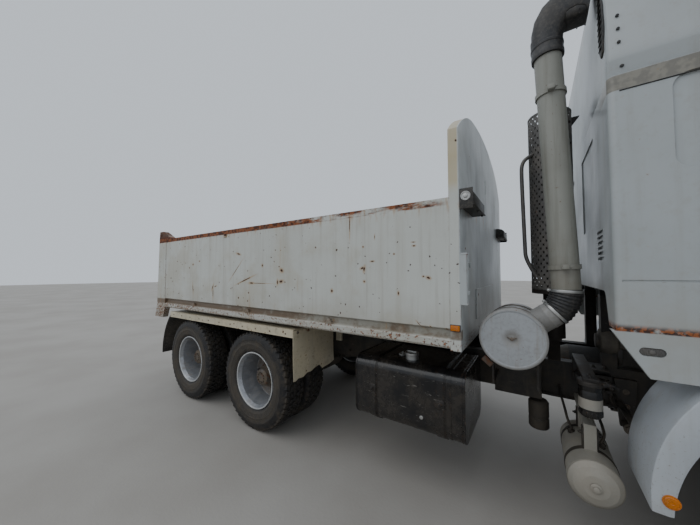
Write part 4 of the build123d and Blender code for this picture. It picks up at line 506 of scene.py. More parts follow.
def lens(name, base, glow):
    """A coloured lamp lens with its moulded prisms."""
    f = Finish(name)
    prism = f.node("TexWave", {"bands_direction": "Z"}, {"Vector": f.place, "Scale": 48.0})
    dirty = f.noise(24, 4).rise(0.4, 0.75)
    colour = f.layers(base, (dirty * 0.3, (124, 96, 70)))
    return f.surface(colour, dirty * 0.3 + 0.16, prism, 0.0008, Transmission_Weight=glow, IOR=1.46)


def cloth(name, base):
    """Woven seat cloth: crossed yarns, pale fluff and worn patches."""
    f = Finish(name)
    warp = f.node("TexWave", {"bands_direction": "Y"}, {"Vector": f.place, "Scale": 130.0, "Distortion": 1.2})
    weft = f.node("TexWave", {"bands_direction": "Z"}, {"Vector": f.place, "Scale": 130.0, "Distortion": 1.2})
    along = f.node("TexWave", {"bands_direction": "X"}, {"Vector": f.place, "Scale": 130.0, "Distortion": 1.2})
    weave = warp * (weft + along) * 0.5
    worn = f.noise(8, 4, 0.6).rise(0.4, 0.7)
    colour = f.layers(base, (weave * 0.6, (96, 98, 104)), (worn * 0.25, (120, 114, 104)))
    return f.surface(colour, 0.85, weave + f.noise(220, 2) * 0.4, 0.0012, Sheen_Weight=0.25, Sheen_Roughness=0.5)


# Each finish: the function that makes it and what that takes, under the name that pieces and slots ask for
FINISHES = {
    "chassis_black": (black_paint, (22, 21, 21), 0.5, 0.6, 0.25),
    "engine_iron": (bare_steel, (78, 76, 72), 0.55, 0.5, 0.45, 0.5),
    "tyre": (tyre_rubber,),
    "rim_silver": (rim_paint,),
    "tank_black": (black_paint, (13, 14, 18), 0.17, 0.3, 0.8),
    "reservoir_grey": (bare_steel, (158, 154, 144), 0.38, 0.25, 0.25, 0.55),
    "filter_black": (black_paint, (12, 13, 16), 0.2, 0.2, 0.3),
    "cleaner_grey": (cleaner_drum,),
    "duct_black": (plastic, (33, 34, 37), 0.46, 320, 0.4),
    "pipe_cream": (pipe_cream,),
    "guard_steel": (bare_steel, (112, 110, 108), 0.5, 0.7, 0.3, 0.3),
    "stack_steel": (bare_steel, (40, 35, 32), 0.6, 0.4, 0.5, 0.1),
    "guard_white": (cab_paint, (208, 198, 172), (186, 172, 140), 1.0, 0.8),
    "flap_dark": (plastic, (44, 43, 42), 0.62, 180, 0.8),
    "fender_white": (cab_paint, (180, 185, 190), (162, 167, 170), 0.5),
    "bumper_white": (cab_paint, (198, 201, 202), (180, 182, 181), 0.4),
    "lamp": (lens, (220, 222, 218), 0.7),
    "step_black": (black_paint, (34, 34, 35), 0.55, 0.7, 0.6),
    "tray_white": (tray_paint,),
    "box_black": (plastic, (27, 28, 29), 0.5, 240, 0.5),
    "hoist_grey": (black_paint, (92, 92, 90), 0.45, 0.8, 0.3),
    "rod_chrome": (bare_steel, (205, 206, 208), 0.14, 1.0, 0.05, 0.08),
    "cab_white": (cab_paint, (172, 177, 178), (156, 161, 160)),
    "glass": (glass,),
    "mirror_black": (plastic, (30, 30, 32), 0.4, 260, 0.25),
    "seat_cloth": (cloth, (62, 64, 72)),
    "dash_plastic": (plastic, (84, 84, 82), 0.55, 420, 0.2),
    "nut_steel": (bare_steel, (104, 96, 86), 0.5, 0.55, 0.7, 0.4),
    "bright_steel": (bare_steel, (188, 188, 186), 0.3, 0.9, 0.08, 0.15),
    "amber": (lens, (232, 132, 14), 0.35),
    "red": (lens, (150, 16, 14), 0.35),
    "mirror_face": (mirror_glass,),
    "rubber": (plastic, (24, 24, 25), 0.6, 300, 0.35),
}
finishes = {name: make(name, *given) for name, (make, *given) in FINISHES.items()}

# Each node takes the finish of its own slot, under the name that its material came with
for node in nodes.values():
    for place in node.material_slots:
        name = place.material.name.split(".")[0]
        place.material = finishes[name].material


# Making pieces
def finished(name, bm, finish, body, slot=None, stands_for=(), smooth=32):
    """Turn a worked mesh into a piece that rides on its body and wears its finish."""
    bmesh.ops.recalc_face_normals(bm, faces=bm.faces)
    data = bpy.data.meshes.new(name)
    bm.to_mesh(data)
    bm.free()
    data.shade_smooth()
    data.set_sharp_from_angle(angle=math.radians(smooth))
    piece = bpy.data.objects.new(name, data)
    bpy.context.collection.objects.link(piece)
    data.materials.append(finishes[finish].material)
    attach(piece, body)
    slot or finish
    if stands_for:
        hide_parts(*stands_for)
    return piece


def facing(direction, at):
    """A placement whose own Z runs along a direction."""
    return Matrix.Translation(at) @ Vector(direction).to_track_quat("Z", "Y").to_matrix().to_4x4()


def soften(bm, verts, width, segments=2):
    """Round the sharp edges of what was just made."""
    edges = {edge for vert in verts for edge in vert.link_edges if edge.calc_face_angle(0) > 0.5}
    shape = {"offset_type": "OFFSET", "segments": segments, "profile": 0.5, "affect": "EDGES", "material": -1}
    bmesh.ops.bevel(bm, geom=list(edges), offset=width, clamp_overlap=True, **shape)


def bar(bm, start, end, radius, tip=None, steps=24, round_by=0.0):
    """A round bar, or a cone where a tip radius is given."""
    start, end = Vector(start), Vector(end)
    run = end - start
    made = bmesh.ops.create_cone(
        bm,
        cap_ends=True,
        segments=steps,
        radius1=radius,
        radius2=radius if tip is None else tip,
        depth=run.length,
        matrix=facing(run, (start + end) / 2),
    )
    if round_by:
        soften(bm, made["verts"], round_by)
    return made["verts"]


def slab(bm, low, high, round_by=0.0, turn=None, segments=2):
    """A block between two corners, turned about its own middle."""
    low, high = Vector(low), Vector(high)
    place = Matrix.Translation((low + high) / 2) @ (turn or Matrix()) @ Matrix.Diagonal((*(high - low), 1))
    made = bmesh.ops.create_cube(bm, size=1, matrix=place)
    if round_by:
        soften(bm, made["verts"], round_by, segments)
    return made["verts"]


def plate(bm, side, x, y, z, round_by=0.0, turn=None, segments=2):
    """A block out to one side: low and high along and up, middle and half width across."""
    middle, half = side * y[0], y[1]
    return slab(bm, (x[0], middle - half, z[0]), (x[1], middle + half, z[1]), round_by, turn, segments)


def turned(bm, profile, centre, axis=(0, 1, 0), steps=64, closed=False):
    """Spin (along, radius) points about an axis through the centre."""
    axis, centre = Vector(axis).normalized(), Vector(centre)
    out = axis.orthogonal().normalized()
    verts = [bm.verts.new(centre + axis * along + out * radius) for along, radius in profile]
    edges = [bm.edges.new(pair) for pair in zip(verts, verts[1:])]
    if closed:
        edges.append(bm.edges.new((verts[-1], verts[0])))
    bmesh.ops.spin(
        bm, geom=verts + edges, cent=centre, axis=axis, angle=2 * math.pi, steps=steps, use_merge=True
    )
    bmesh.ops.remove_doubles(bm, verts=bm.verts, dist=1e-5)


def collar(bm, ends, radii, centre, axis=(0, 1, 0), steps=64):
    """A square-edged ring between two stations along an axis and two radii."""
    (low, high), (inner, outer) = ends, radii
    turned(bm, ((low, inner), (low, outer), (high, outer), (high, inner)), centre, axis, steps, closed=True)


def spots(centre, ways, radius, count, phase=0.0):
    """Places evenly round a circle, counted from its first way towards its second."""
    for step in range(count):
        angle = 2 * math.pi * (step + phase) / count
        at = list(centre)
        at["XYZ".index(ways[0])] += radius * math.cos(angle)
        at["XYZ".index(ways[1])] += radius * math.sin(angle)
        yield at


def round_about(bm, verts, centre, axis, count):
    """Repeat what was just made, evenly round an axis."""
    parts = set(verts)
    parts.update(edge for vert in verts for edge in vert.link_edges)
    parts.update(face for vert in verts for face in vert.link_faces)
    angle = 2 * math.pi * (count - 1) / count
    bmesh.ops.spin(
        bm, geom=list(parts), cent=centre, axis=axis, angle=angle, steps=count - 1, use_duplicate=True
    )


def line(bm, points, radius, order=3, fine=8, sides=3):
    """A bent tube whose middle is a smooth line near the points."""
    curve = bpy.data.curves.new("line", "CURVE")
    curve.dimensions = "3D"
    curve.bevel_depth = radius
    curve.bevel_resolution = sides
    curve.use_fill_caps = True
    spline = curve.splines.new("NURBS")
    spline.points.add(len(points) - 1)
    for point, place in zip(spline.points, points):
        point.co = (*place, 1)
    spline.order_u = order
    spline.use_endpoint_u = True
    spline.resolution_u = fine
    holder = bpy.data.objects.new("line", curve)
    mesh = bpy.data.meshes.new_from_object(holder)
    before = set(bm.verts)
    bm.from_mesh(mesh)
    bmesh.ops.remove_doubles(bm, verts=[vert for vert in bm.verts if vert not in before], dist=1e-5)
    bpy.data.objects.remove(holder)
    bpy.data.meshes.remove(mesh)
    bpy.data.curves.remove(curve)


def nut(bm, at, axis, across=0.03, height=0.02, stud=0.0, washer=True):
    """A hexagon nut on its washer, with the stud's end showing."""
    at, axis = Vector(at), Vector(axis).normalized()
    if washer:
        bar(bm, at, at + axis * across * 0.1, across * 0.78, steps=18)
    bar(bm, at, at + axis * height, across * 0.577, steps=6, round_by=across * 0.05)
    if stud:
        bar(bm, at + axis * height * 0.9, at + axis * (height + stud), across * 0.3, steps=10, round_by=0.001)


def outline_plate(bm, points, low, high, across="Y", round_by=0.0):
    """A flat plate cut to an outline of (x, z), (y, z) or (x, y) points, between two depths across it."""
    order = {"Y": (0, 2, 1), "X": (1, 2, 0), "Z": (0, 1, 2)}[across]
    verts = []
    for point in points:
        place = [0.0, 0.0, 0.0]
        place[order[0]], place[order[1]], place[order[2]] = *point, low
        verts.append(bm.verts.new(place))
    face = bm.faces.new(verts)
    lifted = bmesh.ops.extrude_face_region(bm, geom=[face])
    far = [part for part in lifted["geom"] if isinstance(part, bmesh.types.BMVert)]
    shift = Vector((0, 0, 0))
    shift[order[2]] = high - low
    bmesh.ops.translate(bm, vec=shift, verts=far)
    if round_by:
        soften(bm, verts + far, round_by)
    return verts + far


def arc(bm, centre, reach, start, end, steps):
    """A chain of edges on a circle across the truck, between two angles from upright, forward being positive."""
    before = set(bm.verts)
    start, end = math.radians(start), math.radians(end)
    first = bm.verts.new(Vector(centre) + Vector((reach * math.sin(start), 0, reach * math.cos(start))))
    bmesh.ops.spin(bm, geom=[first], cent=centre, axis=(0, 1, 0), angle=end - start, steps=steps)
    chain = set(bm.verts) - before
    return [edge for edge in bm.edges if set(edge.verts) <= chain]


def ring(bm, at, along, radius, square=2.0, wide=1.0, steps=56, cap=False):
    """A ring of edges across a direction, its circle squared up or widened across the truck."""
    along = Vector(along).normalized()
    made = bmesh.ops.create_circle(bm, segments=steps, radius=radius, cap_ends=cap)["verts"]
    for vert in made:
        x, y = (math.copysign(abs(part / radius) ** (2 / square) * radius, part) for part in vert.co.xy)
        vert.co = Vector((x * wide, y, 0))
    across = Vector((0, 1, 0))
    bmesh.ops.transform(bm, verts=made, matrix=Matrix((across, along.cross(across), along)).transposed().to_4x4())
    bmesh.ops.translate(bm, verts=made, vec=at)
    return list({edge for vert in made for edge in vert.link_edges})


def lofted(bm, rings):
    for near, far in zip(rings, rings[1:]):
        bmesh.ops.bridge_loops(bm, edges=near + far)


def hoop(bm, x, y, z, radius, wide, thick):
    """A band round a box with rounded corners, as long as its width along the truck."""
    verts = [bm.verts.new((x[0], *corner)) for corner in ((y[0], z[0]), (y[1], z[0]), (y[1], z[1]), (y[0], z[1]))]
    face = bm.faces.new(verts)
    shape = {"offset_type": "OFFSET", "segments": 8, "profile": 0.5, "affect": "VERTICES", "material": -1}
    made = bmesh.ops.bevel(bm, geom=verts, offset=radius, **shape)
    flat = [part for part in {f for v in made["verts"] for f in v.link_faces} if part.is_valid]
    rim = list({edge for part in flat for edge in part.edges})
    drawn = bmesh.ops.extrude_edge_only(bm, edges=rim)["geom"]
    bmesh.ops.translate(bm, vec=(wide, 0, 0), verts=[part for part in drawn if isinstance(part, bmesh.types.BMVert)])
    bmesh.ops.delete(bm, geom=flat, context="FACES_ONLY")
    band = [part for part in drawn if isinstance(part, bmesh.types.BMFace)]
    bmesh.ops.recalc_face_normals(bm, faces=band)
    bmesh.ops.solidify(bm, geom=band, thickness=-thick)


# Tyres: the casing is turned, and the tread's blocks stand on it in five rows
CASING = (
    (0.070, 0.5045), (0.104, 0.5020), (0.117, 0.4965), (0.127, 0.4840), (0.1345, 0.4620), (0.1385, 0.4400),
    (0.1402, 0.4385), (0.1404, 0.4345), (0.1398, 0.4330), (0.1400, 0.4120), (0.1388, 0.3900), (0.1396, 0.3885),
    (0.1392, 0.3845), (0.1375, 0.3830), (0.1350, 0.3660), (0.1310, 0.3440), (0.1316, 0.3425), (0.1300, 0.3385),
    (0.1240, 0.3250), (0.1150, 0.3110), (0.1075, 0.3030), (0.1038, 0.2960), (0.1036, 0.2868),
)
TREAD_ROWS = (
    (-0.092, 0.040, 0.0), (-0.045, 0.038, 0.5), (0.0, 0.036, 0.25), (0.045, 0.038, 0.75), (0.092, 0.040, 0.4)
)
TREAD_BLOCKS = 50

# Wheel nuts: their circle, how many and the first one's place, then across the flats, height and stud
WHEEL_NUTS = (0.1425, 8, 0.5, 0.033, 0.024, 0.012)


def tyre(bm, x, middle):
    centre = Vector((x, middle, AXLE_Z))
    half = list(CASING)
    turned(bm, half + [(-y, r) for y, r in reversed(half)], centre, steps=96, closed=True)
    for across, wide, phase in TREAD_ROWS:
        before = set(bm.verts)
        start = phase * 2 * math.pi / TREAD_BLOCKS
        shoulder = abs(across) > 0.09
        verts = slab(
            bm,
            (x - 0.0235, middle + across - wide / 2, AXLE_Z + 0.496),
            (x + 0.0235, middle + across + wide / 2, AXLE_Z + 0.5176),
            turn=Matrix.Rotation(0.22 if across > 0 else -0.22, 4, "Z"),
        )
        if shoulder:
            side = math.copysign(1, across)
            for vert in verts:
                if (vert.co.y - middle - across) * side > 0:
                    low = vert.co.z < AXLE_Z + 0.505
                    vert.co.y += side * (0.013 if low else 0.004)
                    vert.co.z -= 0.02 if low else 0.006
        soften(bm, verts, 0.0025, 1)
        fresh = [vert for vert in bm.verts if vert not in before]
        bmesh.ops.rotate(bm, verts=fresh, cent=centre, matrix=Matrix.Rotation(start, 3, "Y"))
        round_about(bm, fresh, centre, (0, 1, 0), TREAD_BLOCKS)


def nut_circle(bm, side, x, face, radius, count, phase, *size, washer=True):
    """Nuts round a wheel's axis, on a face out to one side."""
    for at in spots((x, side * face, AXLE_Z), "XZ", radius, count, phase):
        nut(bm, at, (0, side, 0), *size, washer=washer)


def valve(bm, x, face, side):
    """A wheel's valve stem, bent outwards, with its cap."""
    foot = Vector((x + 0.2, side * face, AXLE_Z + 0.09))
    line(bm, (foot, foot + Vector((0.012, side * 0.02, 0.004)), foot + Vector((0.02, side * 0.085, 0.01))), 0.0042)
    tip = foot + Vector((0.02, side * 0.085, 0.01))
    bar(bm, tip, tip + Vector((0.0, side * 0.02, 0.002)), 0.006, steps=12, round_by=0.001)


for name, side in SIDES.items():
    bm = bmesh.new()
    tyre(bm, AXLE_FRONT, side * FRONT_TYRE_Y)
    finished(f"tyre_tread_front_{name}", bm, "tyre", f"road_wheel_front_{name}", stands_for=(f"tyre_front_{name}",))
    bm = bmesh.new()
    nut_circle(bm, side, AXLE_FRONT, 1.1725, *WHEEL_NUTS)
    valve(bm, AXLE_FRONT, 1.14, side)
    nut_circle(bm, side, AXLE_FRONT, 1.212, 0.075, 6, 0, 0.014, 0.008, washer=False)
    finished(f"wheel_nuts_front_{name}", bm, "nut_steel", f"road_wheel_front_{name}", "rim_silver")
    for place, x in AXLES_REAR.items():
        bm = bmesh.new()
        for offset in (-PAIR_HALF, PAIR_HALF):
            tyre(bm, x, side * (REAR_PAIR_Y + offset))
        body = f"road_wheels_{place}_{name}"
        finished(f"tyre_treads_{place}_{name}", bm, "tyre", body, stands_for=(f"tyres_{place}_{name}",))
        bm = bmesh.new()
        nut_circle(bm, side, x, 0.9775, *WHEEL_NUTS)
        valve(bm, x, 0.965, side)
        nut_circle(bm, side, x, 1.1275, 0.05, 10, 0, 0.017, 0.011, washer=False)
        rim = ((1.045, 0.099), (1.045, 0.112), (1.062, 0.112), (1.062, 0.097))
        turned(bm, rim, (x, 0, AXLE_Z), (0, side, 0), 48, closed=True)
        finished(f"wheel_nuts_{place}_{name}", bm, "nut_steel", body, "rim_silver")

# Mudguards: bolts along the lip, the torn cream sheet ahead of the wheels, the curved rubber guard behind them
GUARD_FRONT = -0.77
GUARD_REAR = -3.252
for name, side in SIDES.items():
    bm = bmesh.new()
    torn = (
        (-1.25, 1.119), (-0.62, 1.119), (-0.62, 0.69), (-0.70, 0.668), (-0.79, 0.659), (-0.82, 0.654),
        (-0.845, 0.684),
        (-0.87, 0.703), (-0.93, 0.694), (-1.0, 0.672), (-1.06, 0.676), (-1.12, 0.652), (-1.19, 0.658),
        (-1.225, 0.641),
        (-1.25, 0.644),
    )
    verts = outline_plate(bm, [(-side * y, z) for y, z in torn], GUARD_FRONT + 0.0008, GUARD_FRONT + 0.0055, "X")
    for height in (0.9, 0.78):
        everything = bm.verts[:] + bm.edges[:] + bm.faces[:]
        bmesh.ops.bisect_plane(bm, geom=everything, plane_co=(0, 0, height), plane_no=(0, 0, 1))
    for vert in bm.verts:
        drop = max(0.0, 0.95 - vert.co.z)
        vert.co.x += 0.10 * drop**2 + 0.012 * math.sin(vert.co.y * 9) * drop
    finished(f"torn_sheet_{name}", bm, "guard_white", "chassis", stands_for=("mud_flaps",))
    bm = bmesh.new()
    centre = Vector((AXLES_REAR["aft"], side * 0.94, AXLE_Z))
    low, high = math.pi + 0.035, math.pi - math.asin((1.1097 - AXLE_Z) / 0.772)
    corners = [(0.7722, -0.3), (0.7722, -0.285), (0.766, -0.28), (0.766, 0.28), (0.7722, 0.285), (0.7722, 0.3)]
    corners += [(0.764, 0.3), (0.764, -0.3)]
    outline = [bm.verts.new(centre + Vector((-radius, wide, 0))) for radius, wide in corners]
    face = bm.faces.new(outline)
    bmesh.ops.rotate(bm, verts=outline, cent=centre, matrix=Matrix.Rotation(-(low - math.pi), 3, "Y"))
    region = [*outline, *face.edges, face]
    bmesh.ops.spin(bm, geom=region, cent=centre, axis=(0, 1, 0), angle=low - high, steps=24)
    finished(f"rubber_guard_{name}", bm, "flap_dark", "chassis", stands_for=("mud_flaps",))
    bm = bmesh.new()
    for step in range(11):
        x = GUARD_REAR + 0.1 + step * (GUARD_FRONT - GUARD_REAR - 0.2) / 10
        bar(bm, (x, side * 1.2495, 1.083), (x, side * 1.2535, 1.083), 0.0095, 0.006, steps=16)
    for y in (0.68, 0.86, 1.04, 1.19):
        nut(bm, (GUARD_FRONT + 0.0055, side * y, 1.095), (1, 0, 0), 0.019, 0.011, 0.004)
    finished(f"mudguard_bolts_{name}", bm, "nut_steel", "chassis", "guard_white")

# The mudguard's sheet carries a rolled bead along its lower lip
for name, side in SIDES.items():
    bm = bmesh.new()
    line(
        bm, ((GUARD_REAR, side * 1.2465, 1.047), (-2.0, side * 1.2465, 1.0512), (GUARD_FRONT, side * 1.2465, 1.0552)),
        0.0055
    )
    finished(f"mudguard_bead_{name}", bm, "guard_white", "chassis")

# Air cleaner: a drum with a clamped lid, its inlet, and a black cradle under it
CLEANER = Vector((1.037, 0, 1.26))
INLET_AXIS = Vector((225, 0, 165)).normalized()
bm = bmesh.new()
lid = (
    (-1.143, 0.0), (-1.143, 0.022), (-1.1445, 0.031), (-1.1495, 0.040), (-1.1505, 0.060), (-1.1500, 0.120),
    (-1.1465, 0.160), (-1.1465, 0.168), (-1.1500, 0.172), (-1.1500, 0.180), (-1.1450, 0.1885), (-1.1380, 0.1905),
    (-1.1240, 0.1905), (-1.1220, 0.1865), (-1.1140, 0.1865), (-1.1120, 0.1905), (-1.0980, 0.1905), (-1.0960, 0.1850),
    (-1.0600, 0.1840), (-1.0580, 0.1820), (-0.8200, 0.1820), (-0.8180, 0.1850), (-0.8020, 0.1850), (-0.8000, 0.1820),
    (-0.7080, 0.1820), (-0.7000, 0.1740), (-0.7000, 0.0),
)
turned(bm, lid, CLEANER, steps=112)
finished("cleaner_drum", bm, "cleaner_grey", "chassis", stands_for=("air_cleaner",), smooth=28)
bm = bmesh.new()
inlet_foot = CLEANER + Vector((0, -1.0, 0))
profile = (
    (0.10, 0.0), (0.10, 0.098), (0.165, 0.090), (0.176, 0.079), (0.232, 0.078), (0.2365, 0.0805), (0.2415, 0.0805)
)
profile += ((0.246, 0.078), (0.272, 0.078), (0.2785, 0.076), (0.2785, 0.0))
turned(bm, profile, inlet_foot, INLET_AXIS, steps=64)
finished("cleaner_inlet", bm, "cleaner_grey", "chassis", stands_for=("air_cleaner",))
bm = bmesh.new()
slab(bm, (0.887, -0.72, 0.765), (1.187, -0.70, 1.2), 0.006)
slab(bm, (0.887, -0.7005, 0.905), (1.187, -RAIL_SEAT, 0.925), 0.004)
for x in (0.90, 1.16):
    slab(bm, (x, -1.06, 1.075), (x + 0.014, -0.705, 1.1), 0.003)
    outline_plate(bm, ((x, 1.095), (x + 0.014, 1.095), (x + 0.014, 0.93), (x, 0.93)), -0.98, -0.955, "Y", 0.002)
    slab(bm, (x, -0.975, 0.905), (x + 0.014, -0.70, 0.932), 0.002)
slab(bm, (0.90, -1.035, 1.062), (1.174, -1.005, 1.078), 0.003)
finished("cleaner_cradle", bm, "chassis_black", "chassis", stands_for=("air_cleaner",))
bm = bmesh.new()
for y in (-1.03, -0.85):
    collar(bm, (y - 0.012, y + 0.012), (0.1825, 0.1865), CLEANER, steps=96)
    slab(
        bm, (CLEANER.x - 0.19, y - 0.012, 1.05), (CLEANER.x - 0.12, y + 0.012, 1.09), 0.003,
        Matrix.Rotation(0.7, 4, "Y")
    )
bar(bm, (1.037, -1.143, 1.26), (1.037, -1.151, 1.26), 0.011, steps=20, round_by=0.001)
bar(bm, (1.037, -1.144, 1.26), (1.037, -1.153, 1.26), 0.0045, steps=14)
for turn in (-1, 1):
    line(
        bm, ((1.037, -1.148, 1.26), (1.037 + turn * 0.014, -1.149, 1.262), (1.037 + turn * 0.024, -1.1515, 1.271)),
        0.0042
    )
finished("cleaner_bands", bm, "nut_steel", "chassis", "guard_steel")

# Elbow: ribbed black rubber, held at both ends by steel clamps
PIPE_FOOT = Vector((1.323, -1.0, 1.57))
PIPE_HEAD = Vector((1.264, -1.0, 3.05))
PIPE_AXIS = (PIPE_HEAD - PIPE_FOOT).normalized()
ELBOW_START = CLEANER + Vector((0.225, -1.0, 0.165)) + INLET_AXIS * 0.0003
ELBOW_END = PIPE_FOOT - PIPE_AXIS * 0.0003
span = (ELBOW_END - ELBOW_START).length


def elbow_point(share):
    """A point on the elbow's middle line and its direction there."""
    reach = 0.8 * span
    a, b, c = share, 1 - share, share * (1 - share)
    start_pull, end_pull = INLET_AXIS * reach, PIPE_AXIS * reach
    at = ELBOW_START * (b * b * (1 + 2 * a)) + ELBOW_END * (a * a * (3 - 2 * a))
    at = at + start_pull * (c * b) - end_pull * (c * a)
    along = (ELBOW_END - ELBOW_START) * (6 * c) + start_pull * (b * (1 - 3 * a)) + end_pull * (a * (3 * a - 2))
    return at, along.normalized()


bm = bmesh.new()
RIBS = 9
rings = []
for step in range(RIBS * 8 + 1):
    share = step / (RIBS * 8)
    at, along = elbow_point(share)
    swell = 0.0 if share < 0.1 or share > 0.88 else 0.0052 * (0.5 - 0.5 * math.cos(math.pi * step / 4))
    rings.append(ring(bm, at, along, 0.0815 + swell, cap=share in (0, 1)))
lofted(bm, rings)
finished("intake_elbow", bm, "duct_black", "chassis", stands_for=("intake_ducts",), smooth=50)
bm = bmesh.new()
for share in (0.055, 0.94):
    at, along = elbow_point(share)
    band = (
        (-0.0085, 0.0815), (-0.0085, 0.0855), (-0.006, 0.0862), (0.006, 0.0862), (0.0085, 0.0855), (0.0085, 0.0815)
    )
    turned(bm, band, at, along, steps=64, closed=True)
    side_way = Vector((0, -1, 0))
    up = along.cross(side_way)
    for lift in (-0.008, 0.008):
        bar(
            bm, at - up * 0.088 + side_way * 0.02 + along * lift * 0.2, at - up * 0.088 - side_way * 0.03, 0.005,
            steps=12
        )
    nut(bm, at - up * 0.0885 + side_way * 0.02, side_way, 0.012, 0.008, 0.006)
finished("elbow_clamps", bm, "bright_steel", "chassis", "guard_steel")

# The pipe's head: a moulded duct that turns forward over the pipe into a slanted mouth
HEAD_FOOT = PIPE_HEAD + PIPE_AXIS * 0.0003
bm = bmesh.new()
cuff = (
    (0.0, 0.076), (0.0, 0.0872), (0.010, 0.0885), (0.028, 0.0885), (0.032, 0.0862), (0.066, 0.0862), (0.070, 0.089)
)
cuff += ((0.082, 0.089), (0.086, 0.0862), (0.135, 0.0862), (0.135, 0.076))
turned(bm, cuff, HEAD_FOOT, PIPE_AXIS, steps=64, closed=True)
finished("head_cuff", bm, "duct_black", "chassis", stands_for=("intake_ducts",))
bm = bmesh.new()
# Each section: middle (x, z), half height across the flow, half width, lean of its plane, squareness
HEAD_SECTIONS = (
    ((1.2605, 3.105), 0.083, 0.082, 0.00, 2.0),
    ((1.2610, 3.160), 0.084, 0.083, 0.05, 2.1),
    ((1.2640, 3.215), 0.088, 0.084, 0.22, 2.3),
    ((1.2770, 3.262), 0.094, 0.085, 0.50, 2.6),
    ((1.3030, 3.302), 0.100, 0.085, 0.82, 2.9),
    ((1.3450, 3.330), 0.103, 0.085, 1.12, 3.2),
    ((1.3950, 3.345), 0.104, 0.085, 1.35, 3.6),
    ((1.4400, 3.342), 0.110, 0.085, 1.50, 4.0),
    ((1.4620, 3.336), 0.116, 0.085, 1.62, 4.2),
    ((1.4800, 3.332), 0.120, 0.085, 1.72, 4.4),
)
rings = []
for (x, z), tall, wide, lean, square in HEAD_SECTIONS:
    last = lean == HEAD_SECTIONS[-1][3]
    along = (math.sin(lean), 0, math.cos(lean))
    rings.append(ring(bm, (x, -1.0, z), along, tall, square, wide / tall, cap=last or not rings))
lofted(bm, rings)
mouth = max((face for face in bm.faces if len(face.verts) > 4), key=lambda face: face.calc_center_median().x)
bmesh.ops.recalc_face_normals(bm, faces=bm.faces)
bmesh.ops.inset_region(bm, faces=[mouth], thickness=0.007, depth=0)
inward = bmesh.ops.extrude_face_region(bm, geom=[mouth])
deep = [part for part in inward["geom"] if isinstance(part, bmesh.types.BMVert)]
bmesh.ops.translate(bm, vec=(-0.11, 0, 0.0), verts=deep)
if mouth.is_valid:
    bmesh.ops.delete(bm, geom=[mouth], context="FACES_ONLY")
finished("intake_head", bm, "duct_black", "chassis", stands_for=("intake_ducts",), smooth=40)
bm = bmesh.new()
for step in range(6):
    y = -1.0 + (step - 2.5) * 0.026
    slab(bm, (1.418, y - 0.0015, 3.225), (1.424, y + 0.0015, 3.45))
for step in range(7):
    z = 3.245 + step * 0.03
    slab(bm, (1.4175, -1.078, z - 0.0012), (1.4245, -0.922, z + 0.0012))
finished("head_grille", bm, "duct_black", "chassis")

# Clamps on the pipe, with their bracket
bm = bmesh.new()
for share in (0.085, 0.83):
    at = PIPE_FOOT + (PIPE_HEAD - PIPE_FOOT) * share + PIPE_AXIS * 0.012
    collar(bm, (-0.014, 0.014), (0.081, 0.0835), at, PIPE_AXIS, steps=64)
    slab(bm, at + Vector((-0.018, -0.112, -0.014)), at + Vector((0.018, -0.082, 0.014)), 0.003)
    nut(bm, at + Vector((0.018, -0.1, 0)), (1, 0, 0), 0.014, 0.009, 0.005)
finished("pipe_clamps", bm, "pipe_cream", "chassis")

# Exhaust guard: a sheet with staggered round holes, rolled round the stack
GUARD = Vector((1.277, -0.6, 0))
GUARD_RADIUS = 0.135
bm = bmesh.new()
columns, rows = 22, 24
wide, tall = 2 * math.pi * GUARD_RADIUS, 1.31
bmesh.ops.create_grid(bm, x_segments=columns, y_segments=rows, size=0.5)
grid_edges = [edge for edge in bm.edges if not edge.is_boundary]
bmesh.ops.poke(bm, faces=bm.faces[:])
bmesh.ops.dissolve_edges(bm, edges=grid_edges, use_verts=False)
for vert in bm.verts:
    vert.co.x *= wide
    vert.co.y *= tall
inside = [vert for vert in bm.verts if abs(vert.co.y) < tall / 2 - 0.02 and abs(vert.co.x) < wide / 2 - 0.005]
shape = {"offset_type": "OFFSET", "segments": 3, "profile": 0.5, "affect": "VERTICES", "material": -1}
bored = bmesh.ops.bevel(bm, geom=inside, offset=0.0125, clamp_overlap=True, **shape)
bmesh.ops.delete(bm, geom=bored["faces"], context="FACES")
bmesh.ops.triangulate(bm, faces=bm.faces[:])
for vert in bm.verts:
    angle = vert.co.x / GUARD_RADIUS
    z = 1.55 + tall / 2 + vert.co.y
    vert.co = GUARD + Vector((GUARD_RADIUS * math.cos(angle), GUARD_RADIUS * math.sin(angle), z))
bmesh.ops.remove_doubles(bm, verts=bm.verts, dist=1e-4)
bmesh.ops.recalc_face_normals(bm, faces=bm.faces)
bmesh.ops.solidify(bm, geom=bm.faces[:], thickness=0.003)
finished("perforated_guard", bm, "guard_steel", "chassis", stands_for=("exhaust_guard",), smooth=45)
bm = bmesh.new()
for z in (1.553, 2.845):
    collar(bm, (z, z + 0.012), (0.130, 0.1362), GUARD, (0, 0, 1), 64)
grab = (
    (1.171, -0.672, 2.565), (1.135, -0.69, 2.548), (1.098, -0.70, 2.50), (1.096, -0.70, 2.40), (1.102, -0.70, 2.1)
)
grab += ((1.107, -0.70, 1.86), (1.109, -0.70, 1.79), (1.145, -0.69, 1.70), (1.177, -0.684, 1.64))
line(bm, grab, 0.0135, order=3, fine=10, sides=4)
finished("guard_grab_tube", bm, "guard_steel", "chassis", stands_for=("exhaust_guard",))
bm = bmesh.new()
outline_plate(bm, ((1.405, 2.74), (1.452, 2.80), (1.458, 2.812), (1.405, 2.812)), -0.603, -0.597, "Y", 0.0008)
slab(bm, (1.400, -0.603, 2.70), (1.412, -0.597, 2.86), 0.001)
FIN_TURN = -0.55
out = (math.cos(FIN_TURN), math.sin(FIN_TURN), 0)
